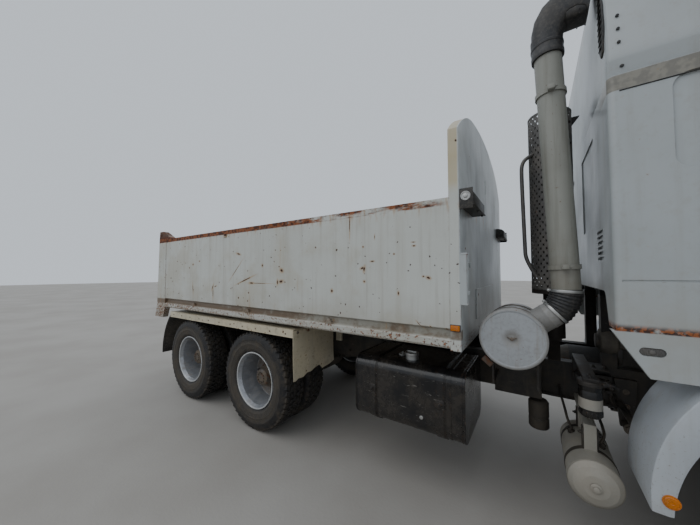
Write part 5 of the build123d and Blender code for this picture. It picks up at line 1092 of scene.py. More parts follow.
for z in (2.755, 2.60, 2.25, 1.9):
    nut(bm, (1.277 + GUARD_RADIUS * out[0], -0.6 + GUARD_RADIUS * out[1], z), out, 0.014, 0.007)
finished("guard_fin", bm, "chassis_black", "chassis", stands_for=("exhaust_guard",))

# Front fenders: a rolled shell whose outer lip widens upwards, a stay from the rail, and an amber reflector
for name, side in SIDES.items():
    bm = bmesh.new()
    shell = ((0.851, 0.8215), (1.2370, 0.8215), (1.2450, 0.8190), (1.2492, 0.8120))
    chains = [arc(bm, (AXLE_FRONT, side * y, 0.607), reach, -93.9, -47.9, 32) for y, reach in shell]
    lip = ((1.2492, 0.760, -86.6, -28.9), (1.2455, 0.748, -86.5, -28.2), (1.232, 0.745, -86.5, -28.0))
    chains += [arc(bm, (AXLE_FRONT, side * y, 0.505), reach, low, high, 32) for y, reach, low, high in lip]
    lofted(bm, chains)
    bmesh.ops.recalc_face_normals(bm, faces=bm.faces)
    bmesh.ops.solidify(bm, geom=bm.faces[:], thickness=0.004)
    finished(f"fender_{name}", bm, "fender_white", "chassis", stands_for=("front_fenders",))
    bm = bmesh.new()
    bar(bm, (1.64, side * RAIL_SEAT, 0.76), (1.64, side * 0.93, 0.76), 0.02, steps=28)
    bar(bm, (1.64, side * RAIL_SEAT, 0.76), (1.64, side * 0.442, 0.76), 0.045, steps=28, round_by=0.003)
    plate(bm, side, (1.632, 1.648), (0.78, 0.03), (0.735, 0.785), 0.003)
    for y in (0.88, 0.93, 1.15):
        nut(bm, (1.626, side * y, 0.757), (1, 0, 0), *BOLT_12)
    plate(bm, side, (1.6185, 1.626), (1.01, 0.165), (0.735, 0.779), 0.002)
    finished(f"fender_stay_{name}", bm, "chassis_black", "chassis", stands_for=("front_fenders",))
    bm = bmesh.new()
    reflector = ((1.2488, 0.0), (1.2488, 0.031), (1.2530, 0.031), (1.2540, 0.028), (1.2535, 0.0255), (1.2565, 0.022))
    reflector += ((1.2575, 0.008), (1.2560, 0.0065), (1.2560, 0.0))
    turned(bm, reflector, (1.665, 0, 0.619), (0, side, 0), 48)
    finished(f"fender_reflector_{name}", bm, "amber", "chassis", "lamp")

# Oil filter: a spun canister with a bare band round it, screwed up into its head
FILTER = (1.42, -1.0, 1.045)
bm = bmesh.new()
canister = ((-0.215, 0.0), (-0.214, 0.030), (-0.208, 0.047), (-0.198, 0.0535), (-0.190, 0.0550), (-0.062, 0.0550))
canister += ((-0.058, 0.0535), (-0.052, 0.0535), (-0.048, 0.0550), (-0.036, 0.0560), (-0.030, 0.0560), (-0.0296, 0.0))
turned(bm, canister, FILTER, (0, 0, 1), 72)
for x, y, z in spots((*FILTER[:2], 0.848), "XY", 0.0525, 16):
    bar(bm, (x, y, z), (x, y, z + 0.022), 0.0045, steps=10, round_by=0.001)
finished("filter_canister", bm, "filter_black", "chassis", stands_for=("oil_filter",))
bm = bmesh.new()
collar(bm, (-0.160, -0.100), (0.0552, 0.0556), FILTER, (0, 0, 1), 72)
finished("filter_band", bm, "reservoir_grey", "chassis", "filter_black")
bm = bmesh.new()
head = ((-0.029, 0.0), (-0.029, 0.060), (-0.026, 0.062), (-0.008, 0.062), (-0.002, 0.056), (0.0, 0.045), (0.0, 0.0))
turned(bm, head, FILTER, (0, 0, 1), 64)
slab(bm, (1.385, -1.04, 1.044), (1.455, -RAIL_SEAT, 1.060), 0.002)
slab(bm, (1.385, -0.446, 0.860), (1.455, -RAIL_SEAT, 1.060), 0.002)
slab(bm, (1.44, -1.03, 1.020), (1.49, -0.97, 1.042), 0.004)
for y in (-1.02, -0.98):
    nut(bm, (1.42, y, 1.060), (0, 0, 1), 0.017, 0.01, 0.006)
for z in (0.89, 0.94):
    nut(bm, (1.42, -0.446, z), (0, -1, 0), *BOLT_12)
line(
    bm, ((1.49, -1.0, 1.031), (1.53, -1.0, 1.031), (1.55, -0.96, 1.0), (1.55, -0.80, 0.93), (1.55, -0.46, 0.9)), 0.011
)
line(
    bm, ((1.42, -0.94, 1.031), (1.42, -0.90, 1.031), (1.41, -0.86, 0.98), (1.40, -0.70, 0.93), (1.40, -0.44, 0.92)),
    0.011
)
for place in ((1.49, -1.0, 1.031, 1, 0), (1.42, -0.94, 1.031, 0, 1)):
    at, run = Vector(place[:3]), Vector((place[3], place[4], 0))
    bar(bm, at - run * 0.004, at + run * 0.018, 0.0165, steps=6, round_by=0.001)
finished("filter_head", bm, "chassis_black", "chassis", stands_for=("oil_filter",))

# Air reservoir: end bosses, weld seams, straps and its plugs
bm = bmesh.new()
RESERVOIR = Vector((1.42, 0, 0.49))
for y, run in ((-1.1105, -1), (-0.5145, 1)):
    turned(
        bm, ((0, 0.0), (0, 0.026), (0.004, 0.026), (0.006, 0.023), (0.007, 0.0)), RESERVOIR + Vector((0, y, 0)),
        (0, run, 0), 40
    )
    at = RESERVOIR + Vector((0, y + run * 0.005, 0))
    bar(bm, at, at + Vector((0, run * 0.014, 0)), 0.0165, steps=6, round_by=0.0015)
for y in (-1.066, -0.559):
    turned(
        bm, ((-0.004, 0.1250), (-0.002, 0.1268), (0.002, 0.1268), (0.004, 0.1250)), RESERVOIR + Vector((0, y, 0)),
        steps=72, closed=True
    )
finished("reservoir_bosses", bm, "reservoir_grey", "chassis")
bm = bmesh.new()
for y in (-0.93, -0.64):
    collar(bm, (-0.016, 0.016), (0.1252, 0.1275), RESERVOIR + Vector((0, y, 0)), steps=72)
    slab(bm, (1.382, y - 0.02, 0.600), (1.388, y + 0.02, 0.740), 0.002)
    slab(bm, (1.452, y - 0.02, 0.600), (1.458, y + 0.02, 0.740), 0.002)
    nut(bm, (1.382, y, 0.70), (-1, 0, 0), 0.019, 0.011, 0.008)
    nut(bm, (1.458, y, 0.70), (1, 0, 0), 0.019, 0.011, 0.008)
for y, turn in ((-0.85, 0.5), (-0.72, -0.6)):
    foot = RESERVOIR + Vector((math.sin(turn) * 0.122, y, math.cos(turn) * 0.122))
    out = Vector((math.sin(turn), 0, math.cos(turn)))
    bar(bm, foot, foot + out * 0.012, 0.02, steps=24)
    bar(bm, foot + out * 0.012, foot + out * 0.03, 0.015, steps=6, round_by=0.001)
line(
    bm, ((1.478, -0.85, 0.623), (1.50, -0.85, 0.66), (1.50, -0.80, 0.70), (1.49, -0.60, 0.74), (1.47, -0.44, 0.76)),
    0.008
)
line(
    bm, ((1.351, -0.72, 0.617), (1.33, -0.72, 0.66), (1.32, -0.66, 0.72), (1.30, -0.52, 0.78), (1.30, -0.44, 0.80)),
    0.008
)
finished("reservoir_straps", bm, "chassis_black", "chassis")

# Fuel tank: strap liners, end seams, the filler with its cap, the sender's flange and the drain
bm = bmesh.new()
for x in (0.0300, 0.5800):
    hoop(bm, (x - 0.038,), (-1.1206, -0.4894), (0.4694, 0.9706), 0.0905, 0.076, 0.0028)
    hoop(bm, (x - 0.024,), (-1.1263, -0.4837), (0.4637, 0.9763), 0.0960, 0.048, 0.0018)
    for offset in (-0.018, 0.018):
        bar(bm, (x + offset, -0.485, 0.78), (x + offset, -0.46, 0.84), 0.007, steps=14)
    slab(bm, (x - 0.03, -1.134, 0.70), (x + 0.03, -1.126, 0.76), 0.002)
    nut(bm, (x, -1.134, 0.73), (0, -1, 0), 0.022, 0.012, 0.012)
for x in (-0.1380, 0.6450, 0.7200, 0.7380):
    hoop(bm, (x,), (-1.1202, -0.4898), (0.4698, 0.9702), 0.0902, 0.010, 0.0035)
finished("tank_bands", bm, "tank_black", "chassis")
bm = bmesh.new()
filler = (
    (-0.032, 0.0), (-0.032, 0.052), (-0.002, 0.052), (0.0, 0.0555), (0.004, 0.0565), (0.020, 0.0565), (0.024, 0.053)
)
filler += ((0.0255, 0.043), (0.0235, 0.040), (0.0235, 0.012), (0.026, 0.008), (0.026, 0.0))
turned(bm, filler, (0.31, -0.96, 1.0), (0, 0, 1), 64)
slab(bm, (0.27, -0.966, 1.0225), (0.35, -0.954, 1.034), 0.003)
sender = ((0.0, 0.0), (0.0, 0.036), (0.005, 0.036), (0.007, 0.034), (0.007, 0.0))
turned(bm, sender, (0.199, -0.89, 0.9703), (0, 0, 1), 48)
for at in spots((0.199, -0.89, 0.977), "XY", 0.027, 5):
    nut(bm, at, (0, 0, 1), 0.008, 0.004, washer=False)
bar(bm, (0.199, -0.89, 0.975), (0.199, -0.89, 0.995), 0.008, steps=6)
bar(bm, (0.50, -1.0, 0.472), (0.50, -1.0, 0.458), 0.02, steps=6, round_by=0.001)
bar(bm, (0.44, -1.118, 0.60), (0.44, -1.127, 0.60), 0.014, steps=24, round_by=0.002)
finished("tank_filler", bm, "bright_steel", "chassis", "guard_steel")

# Battery box: the lid's seam, its rubber catches and the handle
bm = bmesh.new()
hoop(bm, (0.1985,), (0.4885, 1.1015), (0.5585, 0.9415), 0.041, 0.0020, 0.001)
slab(bm, (0.195, 1.1002, 0.842), (0.745, 1.1045, 0.850), 0.001)
for x in (0.30, 0.64):
    slab(bm, (x - 0.02, 1.1002, 0.80), (x + 0.02, 1.110, 0.895), 0.003)
    bar(bm, (x - 0.028, 1.112, 0.802), (x + 0.028, 1.112, 0.802), 0.008, steps=16, round_by=0.002)
    bar(bm, (x - 0.022, 1.106, 0.885), (x + 0.022, 1.106, 0.885), 0.007, steps=16, round_by=0.002)
line(
    bm,
    (
        (0.41, 1.1, 0.905), (0.41, 1.128, 0.905), (0.42, 1.13, 0.905), (0.52, 1.13, 0.905), (0.53, 1.128, 0.905),
        (0.53, 1.1, 0.905)
    ),
    0.006
)
finished("battery_catches", bm, "rubber", "chassis", "tank_black")

# Tray: lugs on the lower rail, weld beads, side lamps, and the latch on the headboard's edge
for name, side in SIDES.items():
    bm = bmesh.new()
    for x in (-2.624, -1.480, -0.342):
        lug = (
            (x - 0.032, 1.232), (x + 0.032, 1.232), (x + 0.030, 1.248), (x + 0.012, 1.276), (x - 0.012, 1.276),
            (x - 0.030, 1.248)
        )
        low, high = sorted((side * 1.219, side * 1.248))
        outline_plate(bm, lug, low, high, "Y", 0.004)
        for over, out, rise, radius in ((0.033, 1.24, 1.236, 0.011), (-0.034, 1.241, 1.235, 0.009)):
            place = Matrix.Translation((x + over, side * out, rise))
            bmesh.ops.create_icosphere(bm, subdivisions=2, radius=radius, matrix=place)
    plate(bm, side, (-1.922, -1.882), (1.2505, 0.009), (2.098, 2.142), 0.004)
    bar(bm, (-1.902, side * 1.255, 2.112), (-1.902, side * 1.263, 2.112), 0.008, steps=18, round_by=0.001)
    for low, high in ((1.370, 1.438), (1.532, 1.630), (1.755, 1.875), (1.963, 2.120)):
        beads = int((high - low) / 0.011)
        for step in range(beads):
            at = (-3.432, side * 1.2505, low + 0.011 * (step + 0.5))
            place = Matrix.Translation(at) @ Matrix.Diagonal((0.8, 0.5, 1, 1))
            bmesh.ops.create_icosphere(bm, subdivisions=1, radius=0.0085, matrix=place)
    plate(bm, side, (0.685, 0.693), (1.2485, 0.003), (1.31, 2.17), 0.002)
    finished(f"tray_lugs_{name}", bm, "tray_white", "tray")
    bm = bmesh.new()
    plate(bm, side, (0.690, 0.757), (1.2520, 0.0025), (1.288, 1.333), 0.002)
    finished(f"side_lamp_base_{name}", bm, "rubber", "tray", "mirror_black")
    bm = bmesh.new()
    plate(bm, side, (0.694, 0.753), (1.2585, 0.0065), (1.292, 1.329), 0.005, segments=3)
    for step in range(5):
        plate(bm, side, (0.703 + step * 0.0105, 0.7058 + step * 0.0105), (1.2652, 0.0008), (1.296, 1.325), 0.0005)
    finished(f"side_lamp_{name}", bm, "amber", "tray", "mirror_black")
bm = bmesh.new()
slab(bm, (0.7985, -1.249, 1.4755), (0.8035, -1.201, 1.799), 0.002)
for z in (1.470, 1.800):
    slab(bm, (0.760, -1.252, z - 0.006), (0.806, -1.198, z + 0.006), 0.003)
slab(bm, (0.760, -1.205, 1.58), (0.783, -1.165, 1.71), 0.003)
slab(bm, (0.760, -1.165, 1.60), (0.768, -1.120, 1.69), 0.003)
bar(bm, (0.775, -1.186, 1.545), (0.775, -1.186, 1.745), 0.009, steps=18, round_by=0.001)
line(
    bm,
    (
        (0.775, -1.186, 1.735), (0.775, -1.170, 1.755), (0.79, -1.145, 1.755), (0.80, -1.130, 1.735),
        (0.795, -1.128, 1.71)
    ),
    0.007
)
for z in (1.615, 1.675):
    nut(bm, (0.768, -1.140, z), (1, 0, 0), 0.017, 0.01, 0.006)
bar(bm, (0.800, -1.225, 1.74), (0.810, -1.225, 1.74), 0.010, steps=20, round_by=0.001)
slab(bm, (0.7985, -1.238, 1.53), (0.812, -1.214, 1.556), 0.003)
finished("headboard_latch", bm, "tray_white", "tray")

# Tarpaulin boxes: the case, the roller's ringed end and the fixings under it
for name, side in SIDES.items():
    bm = bmesh.new()
    low, high = sorted((side * 1.249, side * 0.790))
    case = ((0.7605, 2.123), (0.846, 2.123), (0.848, 2.127), (0.848, 2.199), (0.820, 2.222), (0.7605, 2.222))
    outline_plate(bm, case, low, high, "Y", 0.003)
    plate(bm, side, (0.7605, 0.845), (1.2505, 0.002), (2.095, 2.230), 0.003)
    plate(bm, side, (0.7605, 0.856), (1.02, 0.23), (2.117, 2.1225), 0.001)
    plate(bm, side, (0.7605, 0.800), (1.02, 0.23), (2.222, 2.2265), 0.001)
    for y in (0.83, 1.02, 1.2):
        nut(bm, (0.835, side * y, 2.117), (0, 0, -1), 0.014, 0.008, 0.004)
    finished(f"tarp_case_{name}", bm, "box_black", "tray", stands_for=("tarp_boxes",))
    bm = bmesh.new()
    end = ((1.2524, 0.0), (1.2524, 0.0310), (1.2560, 0.0310), (1.2580, 0.0290), (1.2580, 0.0250), (1.2550, 0.0235))
    end += ((1.2550, 0.0150), (1.2600, 0.0140), (1.2615, 0.0110), (1.2615, 0.0))
    turned(bm, end, (0.8, 0, 2.178), (0, side, 0), 56)
    for x, y, z in spots((0.8, side * 1.257, 2.178), "XZ", 0.027, 4, 0.5):
        bar(bm, (x, y, z), (x, side * 1.2605, z), 0.0028, steps=10)
    finished(f"tarp_roller_{name}", bm, "bright_steel", "tray", "box_black")


# Cab: points on its front, which leans back above the belt and is round at its corners
def on_front(y, z, out=0.0):
    past = max(abs(y) - 0.985, 0)
    return Vector((3.42 - 0.1505 * max(z - 1.76, 0) + math.sqrt(0.0676 - past * past) + out, y, z))


def along_edges(corners, step, place):
    """Points at short steps round a closed outline, each put in its place."""
    points = []
    for (a, b), (c, d) in zip(corners, corners[1:] + corners[:1]):
        count = max(1, round(math.hypot(c - a, d - b) / step))
        points += [place(a + (c - a) * n / count, b + (d - b) * n / count) for n in range(count)]
    return points + points[:1]


# Windscreen and window rubbers, the cab's seams, and the wipers
bm = bmesh.new()
SCREEN = [(-1.088, 1.802), (1.088, 1.802), (1.088, 2.588), (-1.088, 2.588)]
line(bm, along_edges(SCREEN, 0.06, lambda y, z: on_front(y, z, 0.0015)), 0.0175, fine=3)
line(bm, along_edges(SCREEN, 0.06, lambda y, z: on_front(y, z, 0.0155)), 0.005, fine=3)
finished("windscreen_rubber", bm, "rubber", "cab", "mirror_black")
bm = bmesh.new()
for y in (-0.95, -0.30, 0.34):
    foot, tip = on_front(y, 1.772, 0.022), on_front(y + 0.42, 1.872, 0.036)
    bar(bm, foot - Vector((0.024, 0, 0)), foot + Vector((0.014, 0, 0)), 0.020, steps=28, round_by=0.003)
    line(bm, (foot, foot.lerp(tip, 0.3) + Vector((0.012, 0, 0)), tip), 0.007)
    blade = [on_front(y + reach, 1.862 + reach * 0.03, 0.026) for reach in (0.10, 0.28, 0.56, 0.74)]
    line(bm, blade, 0.006)
    line(bm, [point + Vector((-0.007, 0, -0.004)) for point in blade], 0.004)
    for reach in (0.18, 0.36, 0.50, 0.66):
        at = on_front(y + reach, 1.863 + reach * 0.03, 0.027)
        slab(bm, at - Vector((0.009, 0.014, 0.008)), at + Vector((0.009, 0.014, 0.008)), 0.003)
finished("wipers", bm, "box_black", "cab", "mirror_black")

# The heights between which each side's two mirrors stand
MIRRORS = ((1.965, 2.050), (2.075, 2.405))
for name, side in SIDES.items():
    window = [(2.442, 1.962), (3.298, 1.902), (3.184, 2.518), (2.442, 2.518)]
    bm = bmesh.new()
    for depth, radius in ((1.2445, 0.010), (1.2145, 0.008)):
        line(bm, along_edges(window, 0.05, lambda x, z: (x, side * depth, z)), radius, fine=3)
    line(bm, ((2.452, side * 1.2465, 1.953), (2.9, side * 1.2465, 1.9215), (3.292, side * 1.2465, 1.894)), 0.006)
    plate(bm, side, (2.5965, 2.6315), (1.2455, 0.0025), (1.716, 1.746), 0.002)
    finished(f"door_seal_{name}", bm, "rubber", f"side_door_{name}", "mirror_black")
    bm = bmesh.new()
    plate(bm, side, (2.420, 2.564), (1.2425, 0.004), (1.7225, 1.7395), 0.003, segments=3)
    plate(bm, side, (2.404, 2.580), (1.2323, 0.001), (1.702, 1.758), 0.0008)
    bar(bm, (2.614, side * 1.2445, 1.731), (2.614, side * 1.2520, 1.731), 0.0115, steps=28, round_by=0.002)
    plate(bm, side, (2.613, 2.615), (1.2522, 0.0006), (1.727, 1.735))
    finished(f"door_handle_{name}", bm, "mirror_black", f"side_door_{name}")
    bm = bmesh.new()
    face = [(2.372, 1.410), (3.360, 1.410), (3.360, 1.740), (3.275, 1.860), (2.372, 1.925)]
    low, high = sorted((side * 1.1930, side * 1.1800))
    outline_plate(bm, face, low, high, "Y", 0.004)
    plate(bm, side, (2.50, 3.16), (1.165, 0.03), (1.690, 1.740), 0.014, segments=3)
    plate(bm, side, (2.46, 3.10), (1.160, 0.03), (1.440, 1.545), 0.010, segments=3)
    line(
        bm,
        (
            (2.62, side * 1.14, 1.742), (2.62, side * 1.13, 1.775), (2.80, side * 1.13, 1.775),
            (2.80, side * 1.14, 1.742)
        ),
        0.009
    )
    bar(bm, (3.20, side * 1.182, 1.55), (3.20, side * 1.170, 1.55), 0.075, steps=40, round_by=0.004)
    finished(f"door_trim_{name}", bm, "dash_plastic", f"side_door_{name}")
    bm = bmesh.new()
    handle = ((1.243, 1.50), (1.300, 1.505), (1.305, 1.56), (1.305, 2.22), (1.300, 2.275), (1.243, 2.28))
    line(bm, [(2.305, side * y, z) for y, z in handle], 0.013, sides=5)
    for z in (1.50, 2.28):
        bar(bm, (2.305, side * 1.243, z), (2.305, side * 1.250, z), 0.026, steps=28, round_by=0.002)
    finished(f"grab_handle_{name}", bm, "mirror_black", "cab")
    # Mirrors: their faces, rims and the arms' rubber boots
    bm = bmesh.new()
    for low, high in MIRRORS:
        plate(bm, side, (3.4670, 3.4705), (1.355, 0.083), (low + 0.012, high - 0.012), 0.0015)
    finished(f"mirror_faces_{name}", bm, "mirror_face", "cab", "mirror_black")
    bm = bmesh.new()
    for low, high in MIRRORS:
        rim = [
            (side * 1.355 + a * 0.087, (low + high) / 2 + b * ((high - low) / 2 - 0.008))
            for a, b in ((-1, -1), (1, -1), (1, 1), (-1, 1))
        ]
        path = along_edges(rim, 0.02, lambda y, z: (3.4695, y, z))
        line(bm, path[:-1] + [(3.4698, *path[-1][1:])], 0.004, fine=3)
    for z in (1.950, 2.430):
        bar(bm, (3.530, side * 1.19, z), (3.530, side * 1.262, z), 0.024, 0.018, steps=32, round_by=0.003)
        bar(bm, (3.530, side * 1.340, z), (3.530, side * 1.372, z), 0.019, steps=6, round_by=0.002)
        up = 1 if z > 2 else -1
        nut(bm, (3.530, side * 1.355, z + up * 0.018), (0, 0, up), 0.019, 0.010, 0.004)
    finished(f"mirror_rims_{name}", bm, "mirror_black", "cab")
    # The sill's side lamp: a patterned metal face in its oval slot
    bm = bmesh.new()
    oval = [
        (1.626 + a * 0.0255 + 0.0185 * math.sin(turn), 1.293 + 0.0185 * math.cos(turn))
        for a, start in ((1, 0), (-1, math.pi))
        for turn in [start + math.pi * n / 12 for n in range(13)]
    ]
    low, high = sorted((side * 1.2335, side * 1.2385))
    outline_plate(bm, oval, low, high, "Y", 0.001)
    for step in range(9):
        x = 1.594 + step * 0.008
        tall = 0.0155 if 0 < step < 8 else 0.009
        plate(bm, side, (x - 0.0016, x + 0.0016), (1.2392, 0.0012), (1.293 - tall, 1.293 + tall))
    bar(bm, (1.626, side * 1.238, 1.293), (1.626, side * 1.2425, 1.293), 0.011, steps=24, round_by=0.0015)
    finished(f"sill_vent_{name}", bm, "guard_steel", "cab", "mirror_black")
    # The fairing's rear corner: a dark louvre, its slats and the screws along the joint
    bm = bmesh.new()
    leaf = [
        (side * y, z)
        for y, z in (
            (1.205, 2.86), (1.222, 2.98), (1.205, 3.12), (1.165, 3.22), (1.125, 3.25), (1.105, 3.18), (1.100, 3.02),
            (1.118, 2.90), (1.155, 2.85)
        )
    ]
    outline_plate(bm, leaf, 1.4925, 1.5005, "X", 0.003)
    for step in range(10):
        z = 2.895 + step * 0.034
        wide = 0.040 - abs(step - 4.5) * 0.0035
        plate(bm, side, (1.4890, 1.4930), (1.160, wide), (z, z + 0.020), 0.0015, Matrix.Rotation(0.35, 4, "Y"))
    finished(f"fairing_louvre_{name}", bm, "box_black", "cab", "mirror_black")
    bm = bmesh.new()
    for x, z in ((1.56, 2.735), (1.95, 2.735), (2.35, 2.735), (2.75, 2.735), (3.15, 2.735)):
        bar(bm, (x, side * 1.233, z), (x, side * 1.2375, z), 0.0085, steps=20, round_by=0.0015)
    line(bm, ((1.512, side * 1.2215, 2.6915), (2.4, side * 1.2215, 2.6915), (3.3, side * 1.2215, 2.6915)), 0.0055)
    line(bm, ((1.545, side * 1.2455, 2.604), (2.3, side * 1.2455, 2.604)), 0.0035)
    for step in range(3):
        bar(
            bm, (1.55, side * (1.238 - step * 0.006), 2.86 + step * 0.075),
            (1.55, side * (1.2465 - step * 0.006), 2.86 + step * 0.075), 0.0075, steps=18, round_by=0.0015
        )
    finished(f"fairing_seam_{name}", bm, "box_black", "cab", "mirror_black")

# Marker lamps along the roof's brow
bm = bmesh.new()
BROW_LAMPS = [(on_front(y, 1.7).x - 3.68 + 3.54, y) for y in (-1.0, -0.5, 0.0, 0.5, 1.0)]
for x, y in BROW_LAMPS:
    slab(bm, (x - 0.010, y - 0.050, 2.722), (x + 0.006, y + 0.050, 2.762), 0.003)
finished("brow_lamp_bases", bm, "box_black", "cab", "mirror_black")
bm = bmesh.new()
for x, y in BROW_LAMPS:
    slab(bm, (x + 0.004, y - 0.042, 2.728), (x + 0.024, y + 0.042, 2.756), 0.008, segments=3)
finished("brow_lamps", bm, "amber", "cab", "mirror_black")

# Grille: a frame round the recess and fine upright bars behind the wide ones
bm = bmesh.new()
for low, high in ((0.980, 1.004), (1.476, 1.500)):
    slab(bm, (3.672, -0.842, low), (3.688, 0.842, high), 0.004)
for side in SIDES.values():
    plate(bm, side, (3.672, 3.688), (0.831, 0.011), (0.980, 1.500), 0.004)
slab(bm, (3.6495, -0.8195, 1.0005), (3.6520, 0.8195, 1.4795))
for step in range(54):
    y = -0.81 + step * 1.62 / 53
    bar(bm, (3.656, y, 1.0), (3.656, y, 1.48), 0.003, steps=6)
finished("grille_bars", bm, "box_black", "cab", "mirror_black")

# Bumper: slats in its middle opening, a rubber lip and the tow covers
bm = bmesh.new()
for z in (0.558, 0.580, 0.602, 0.624, 0.646):
    slab(bm, (3.722, -0.421, z - 0.003), (3.742, 0.421, z + 0.003), 0.001, Matrix.Rotation(-0.3, 4, "Y"))
for step in range(29):
    y = -0.42 + step * 0.03
    bar(bm, (3.724, y, 0.538), (3.724, y, 0.662), 0.003, steps=6)
slab(bm, (3.742, -0.98, 0.382), (3.7535, 0.98, 0.402), 0.003)
for side in SIDES.values():
    plate(bm, side, (3.748, 3.7535), (0.57, 0.055), (0.560, 0.640), 0.002)
    bar(bm, (3.7530, side * 0.57, 0.60), (3.7560, side * 0.57, 0.60), 0.014, steps=24, round_by=0.001)
finished("bumper_trim", bm, "step_black", "chassis")

# Lamps: two round reflectors and a turn lamp behind each clear cover, and the rear clusters on their brackets
for name, side in SIDES.items():
    bm = bmesh.new()
    plate(bm, side, (3.612, 3.660), (0.88, 0.1585), (0.5415, 0.6985), 0.006)
    for low, high in ((0.5415, 0.5475), (0.6925, 0.6985)):
        plate(bm, side, (3.655, 3.742), (0.88, 0.1585), (low, high), 0.002)
    for y in (0.7245, 0.9605, 1.0355):
        plate(bm, side, (3.655, 3.738), (y, 0.003), (0.545, 0.695), 0.002)
    finished(f"headlamp_case_{name}", bm, "box_black", "chassis", "lamp", stands_for=("lamps",))
    bm = bmesh.new()
    bowl = (
        (0.0, 0.0), (0.002, 0.018), (0.012, 0.036), (0.028, 0.050), (0.050, 0.0590), (0.0545, 0.0590),
        (0.0545, 0.0605)
    )
    bowl += ((0.026, 0.0535), (0.008, 0.040), (-0.003, 0.020), (-0.004, 0.0))
    for y in (0.786, 0.900):
        turned(bm, bowl, (3.672, side * y, 0.62), (1, 0, 0), 48)
        bar(bm, (3.672, side * y, 0.62), (3.700, side * y, 0.62), 0.009, 0.006, steps=20)
        turned(
            bm, ((0.026, 0.0), (0.026, 0.014), (0.032, 0.014), (0.036, 0.010), (0.037, 0.0)), (3.672, side * y, 0.62),
            (1, 0, 0), 32
        )
    finished(f"headlamp_bowls_{name}", bm, "rod_chrome", "chassis", "lamp", stands_for=("lamps",))
    bm = bmesh.new()
    plate(bm, side, (3.738, 3.7435), (0.843, 0.120), (0.5425, 0.6975), 0.002)
    finished(f"headlamp_cover_{name}", bm, "glass", "chassis", stands_for=("lamps",))
    bm = bmesh.new()
    plate(bm, side, (3.690, 3.742), (0.998, 0.034), (0.549, 0.691), 0.006, segments=3)
    for step in range(9):
        plate(bm, side, (3.7415, 3.7435), (0.998, 0.030), (0.558 + step * 0.0148, 0.5655 + step * 0.0148), 0.0008)
    finished(f"turn_lamp_{name}", bm, "amber", "chassis", "lamp")
    bm = bmesh.new()
    plate(bm, side, (-3.5850, -3.5400), (0.82, 0.180), (0.6405, 0.7795), 0.006)
    plate(bm, side, (-3.5600, -3.5420), (0.525, 0.145), (0.706, 0.780), 0.003)
    plate(bm, side, (-3.5415, -3.4705), (0.4345, 0.004), (0.7105, 0.7795), 0.003)
    for z in (0.725, 0.762):
        nut(bm, (-3.500, side * 0.4385, z), (0, side, 0), *BOLT_12)
    for y in (0.70, 0.94):
        nut(bm, (-3.5405, side * y, 0.71), (1, 0, 0), 0.015, 0.009, 0.006)
    line(
        bm,
        (
            (-3.5380, side * 0.66, 0.735), (-3.50, side * 0.655, 0.735), (-3.49, side * 0.60, 0.75),
            (-3.49, side * 0.50, 0.76), (-3.49, side * 0.44, 0.76)
        ),
        0.006
    )
    finished(f"tail_lamp_case_{name}", bm, "box_black", "chassis", "lamp", stands_for=("lamps",))
    for part, finish, low, high in (
        ("brake", "red", 0.648, 0.757), ("turn", "amber", 0.763, 0.872), ("reverse", "lamp", 0.878, 0.992)
    ):
        bm = bmesh.new()
        middle, half = (low + high) / 2, (high - low) / 2
        plate(bm, side, (-3.6000, -3.5830), (middle, half), (0.648, 0.772), 0.006, segments=3)
        for step in range(7):
            slab(
                bm, (-3.6015, side * middle - half + 0.008, 0.660 + step * 0.0155),
                (-3.5995, side * middle + half - 0.008, 0.667 + step * 0.0155), 0.0008
            )
        finished(f"tail_{part}_{name}", bm, finish, "chassis", "lamp")
    # Steps: raised grips on the treads and bolts through their side plates
    bm = bmesh.new()
    for top in (0.430, 0.840):
        for row in range(4):
            for step in range(6):
                at = Vector((3.195 + row * 0.0435, side * (0.965 + step * 0.048), top))
                bar(bm, at - Vector((0, 0, 0.002)), at + Vector((0, 0, 0.0045)), 0.011, 0.008, steps=12)
        plate(bm, side, (3.169, 3.1725), (1.0875, 0.155), (top - 0.048, top - 0.004), 0.001)
    for z in (0.50, 0.60, 0.72):
        nut(bm, (3.25, side * 0.929, z), (0, -side, 0), *BOLT_12)
    finished(f"step_grips_{name}", bm, "step_black", "chassis")

# Seats: each cushion and back is filled like a bag and pulled in at its seams, one side made and the other copied
def pad(name, low, high, lean, swell):
    """A stuffed block between two corners, blown up as cloth with its growth capped; it gives back the turn and the
    foot to lean it about.
    """
    bm = bmesh.new()
    slab(bm, low, high, 0.030, segments=3)
    bmesh.ops.recalc_face_normals(bm, faces=bm.faces)
    data = bpy.data.meshes.new(name)
    bm.to_mesh(data)
    bm.free()
    piece = bpy.data.objects.new(name, data)
    bpy.context.collection.objects.link(piece)
    remesh = piece.modifiers.new("remesh", "REMESH")
    remesh.mode, remesh.voxel_size = "VOXEL", 0.010
    settle(piece)
    rest = [vert.co.copy() for vert in piece.data.vertices]
    blown = piece.modifiers.new("cloth", "CLOTH")
    blown.settings.use_pressure = True
    blown.settings.uniform_pressure_force = 4.0
    blown.settings.effector_weights.gravity = 0.0
    for frame_number in range(1, 21):
        bpy.context.scene.frame_set(frame_number)
        bpy.context.view_layer.update()
    settle(piece)
    bpy.context.scene.frame_set(1)
    turn = Matrix.Rotation(lean, 4, "Y")
    foot = Vector((high[0], 0, low[2]))
    for vert, start in zip(piece.data.vertices, rest):
        move = vert.co - start
        if move.length > swell:
            vert.co = start + move.normalized() * swell
    return piece, turn, foot


def settle(piece):
    """Apply what the modifiers made."""
    made = bpy.data.meshes.new_from_object(piece.evaluated_get(bpy.context.evaluated_depsgraph_get()))
    piece.modifiers.clear()
    old, piece.data = piece.data, made
    bpy.data.meshes.remove(old)


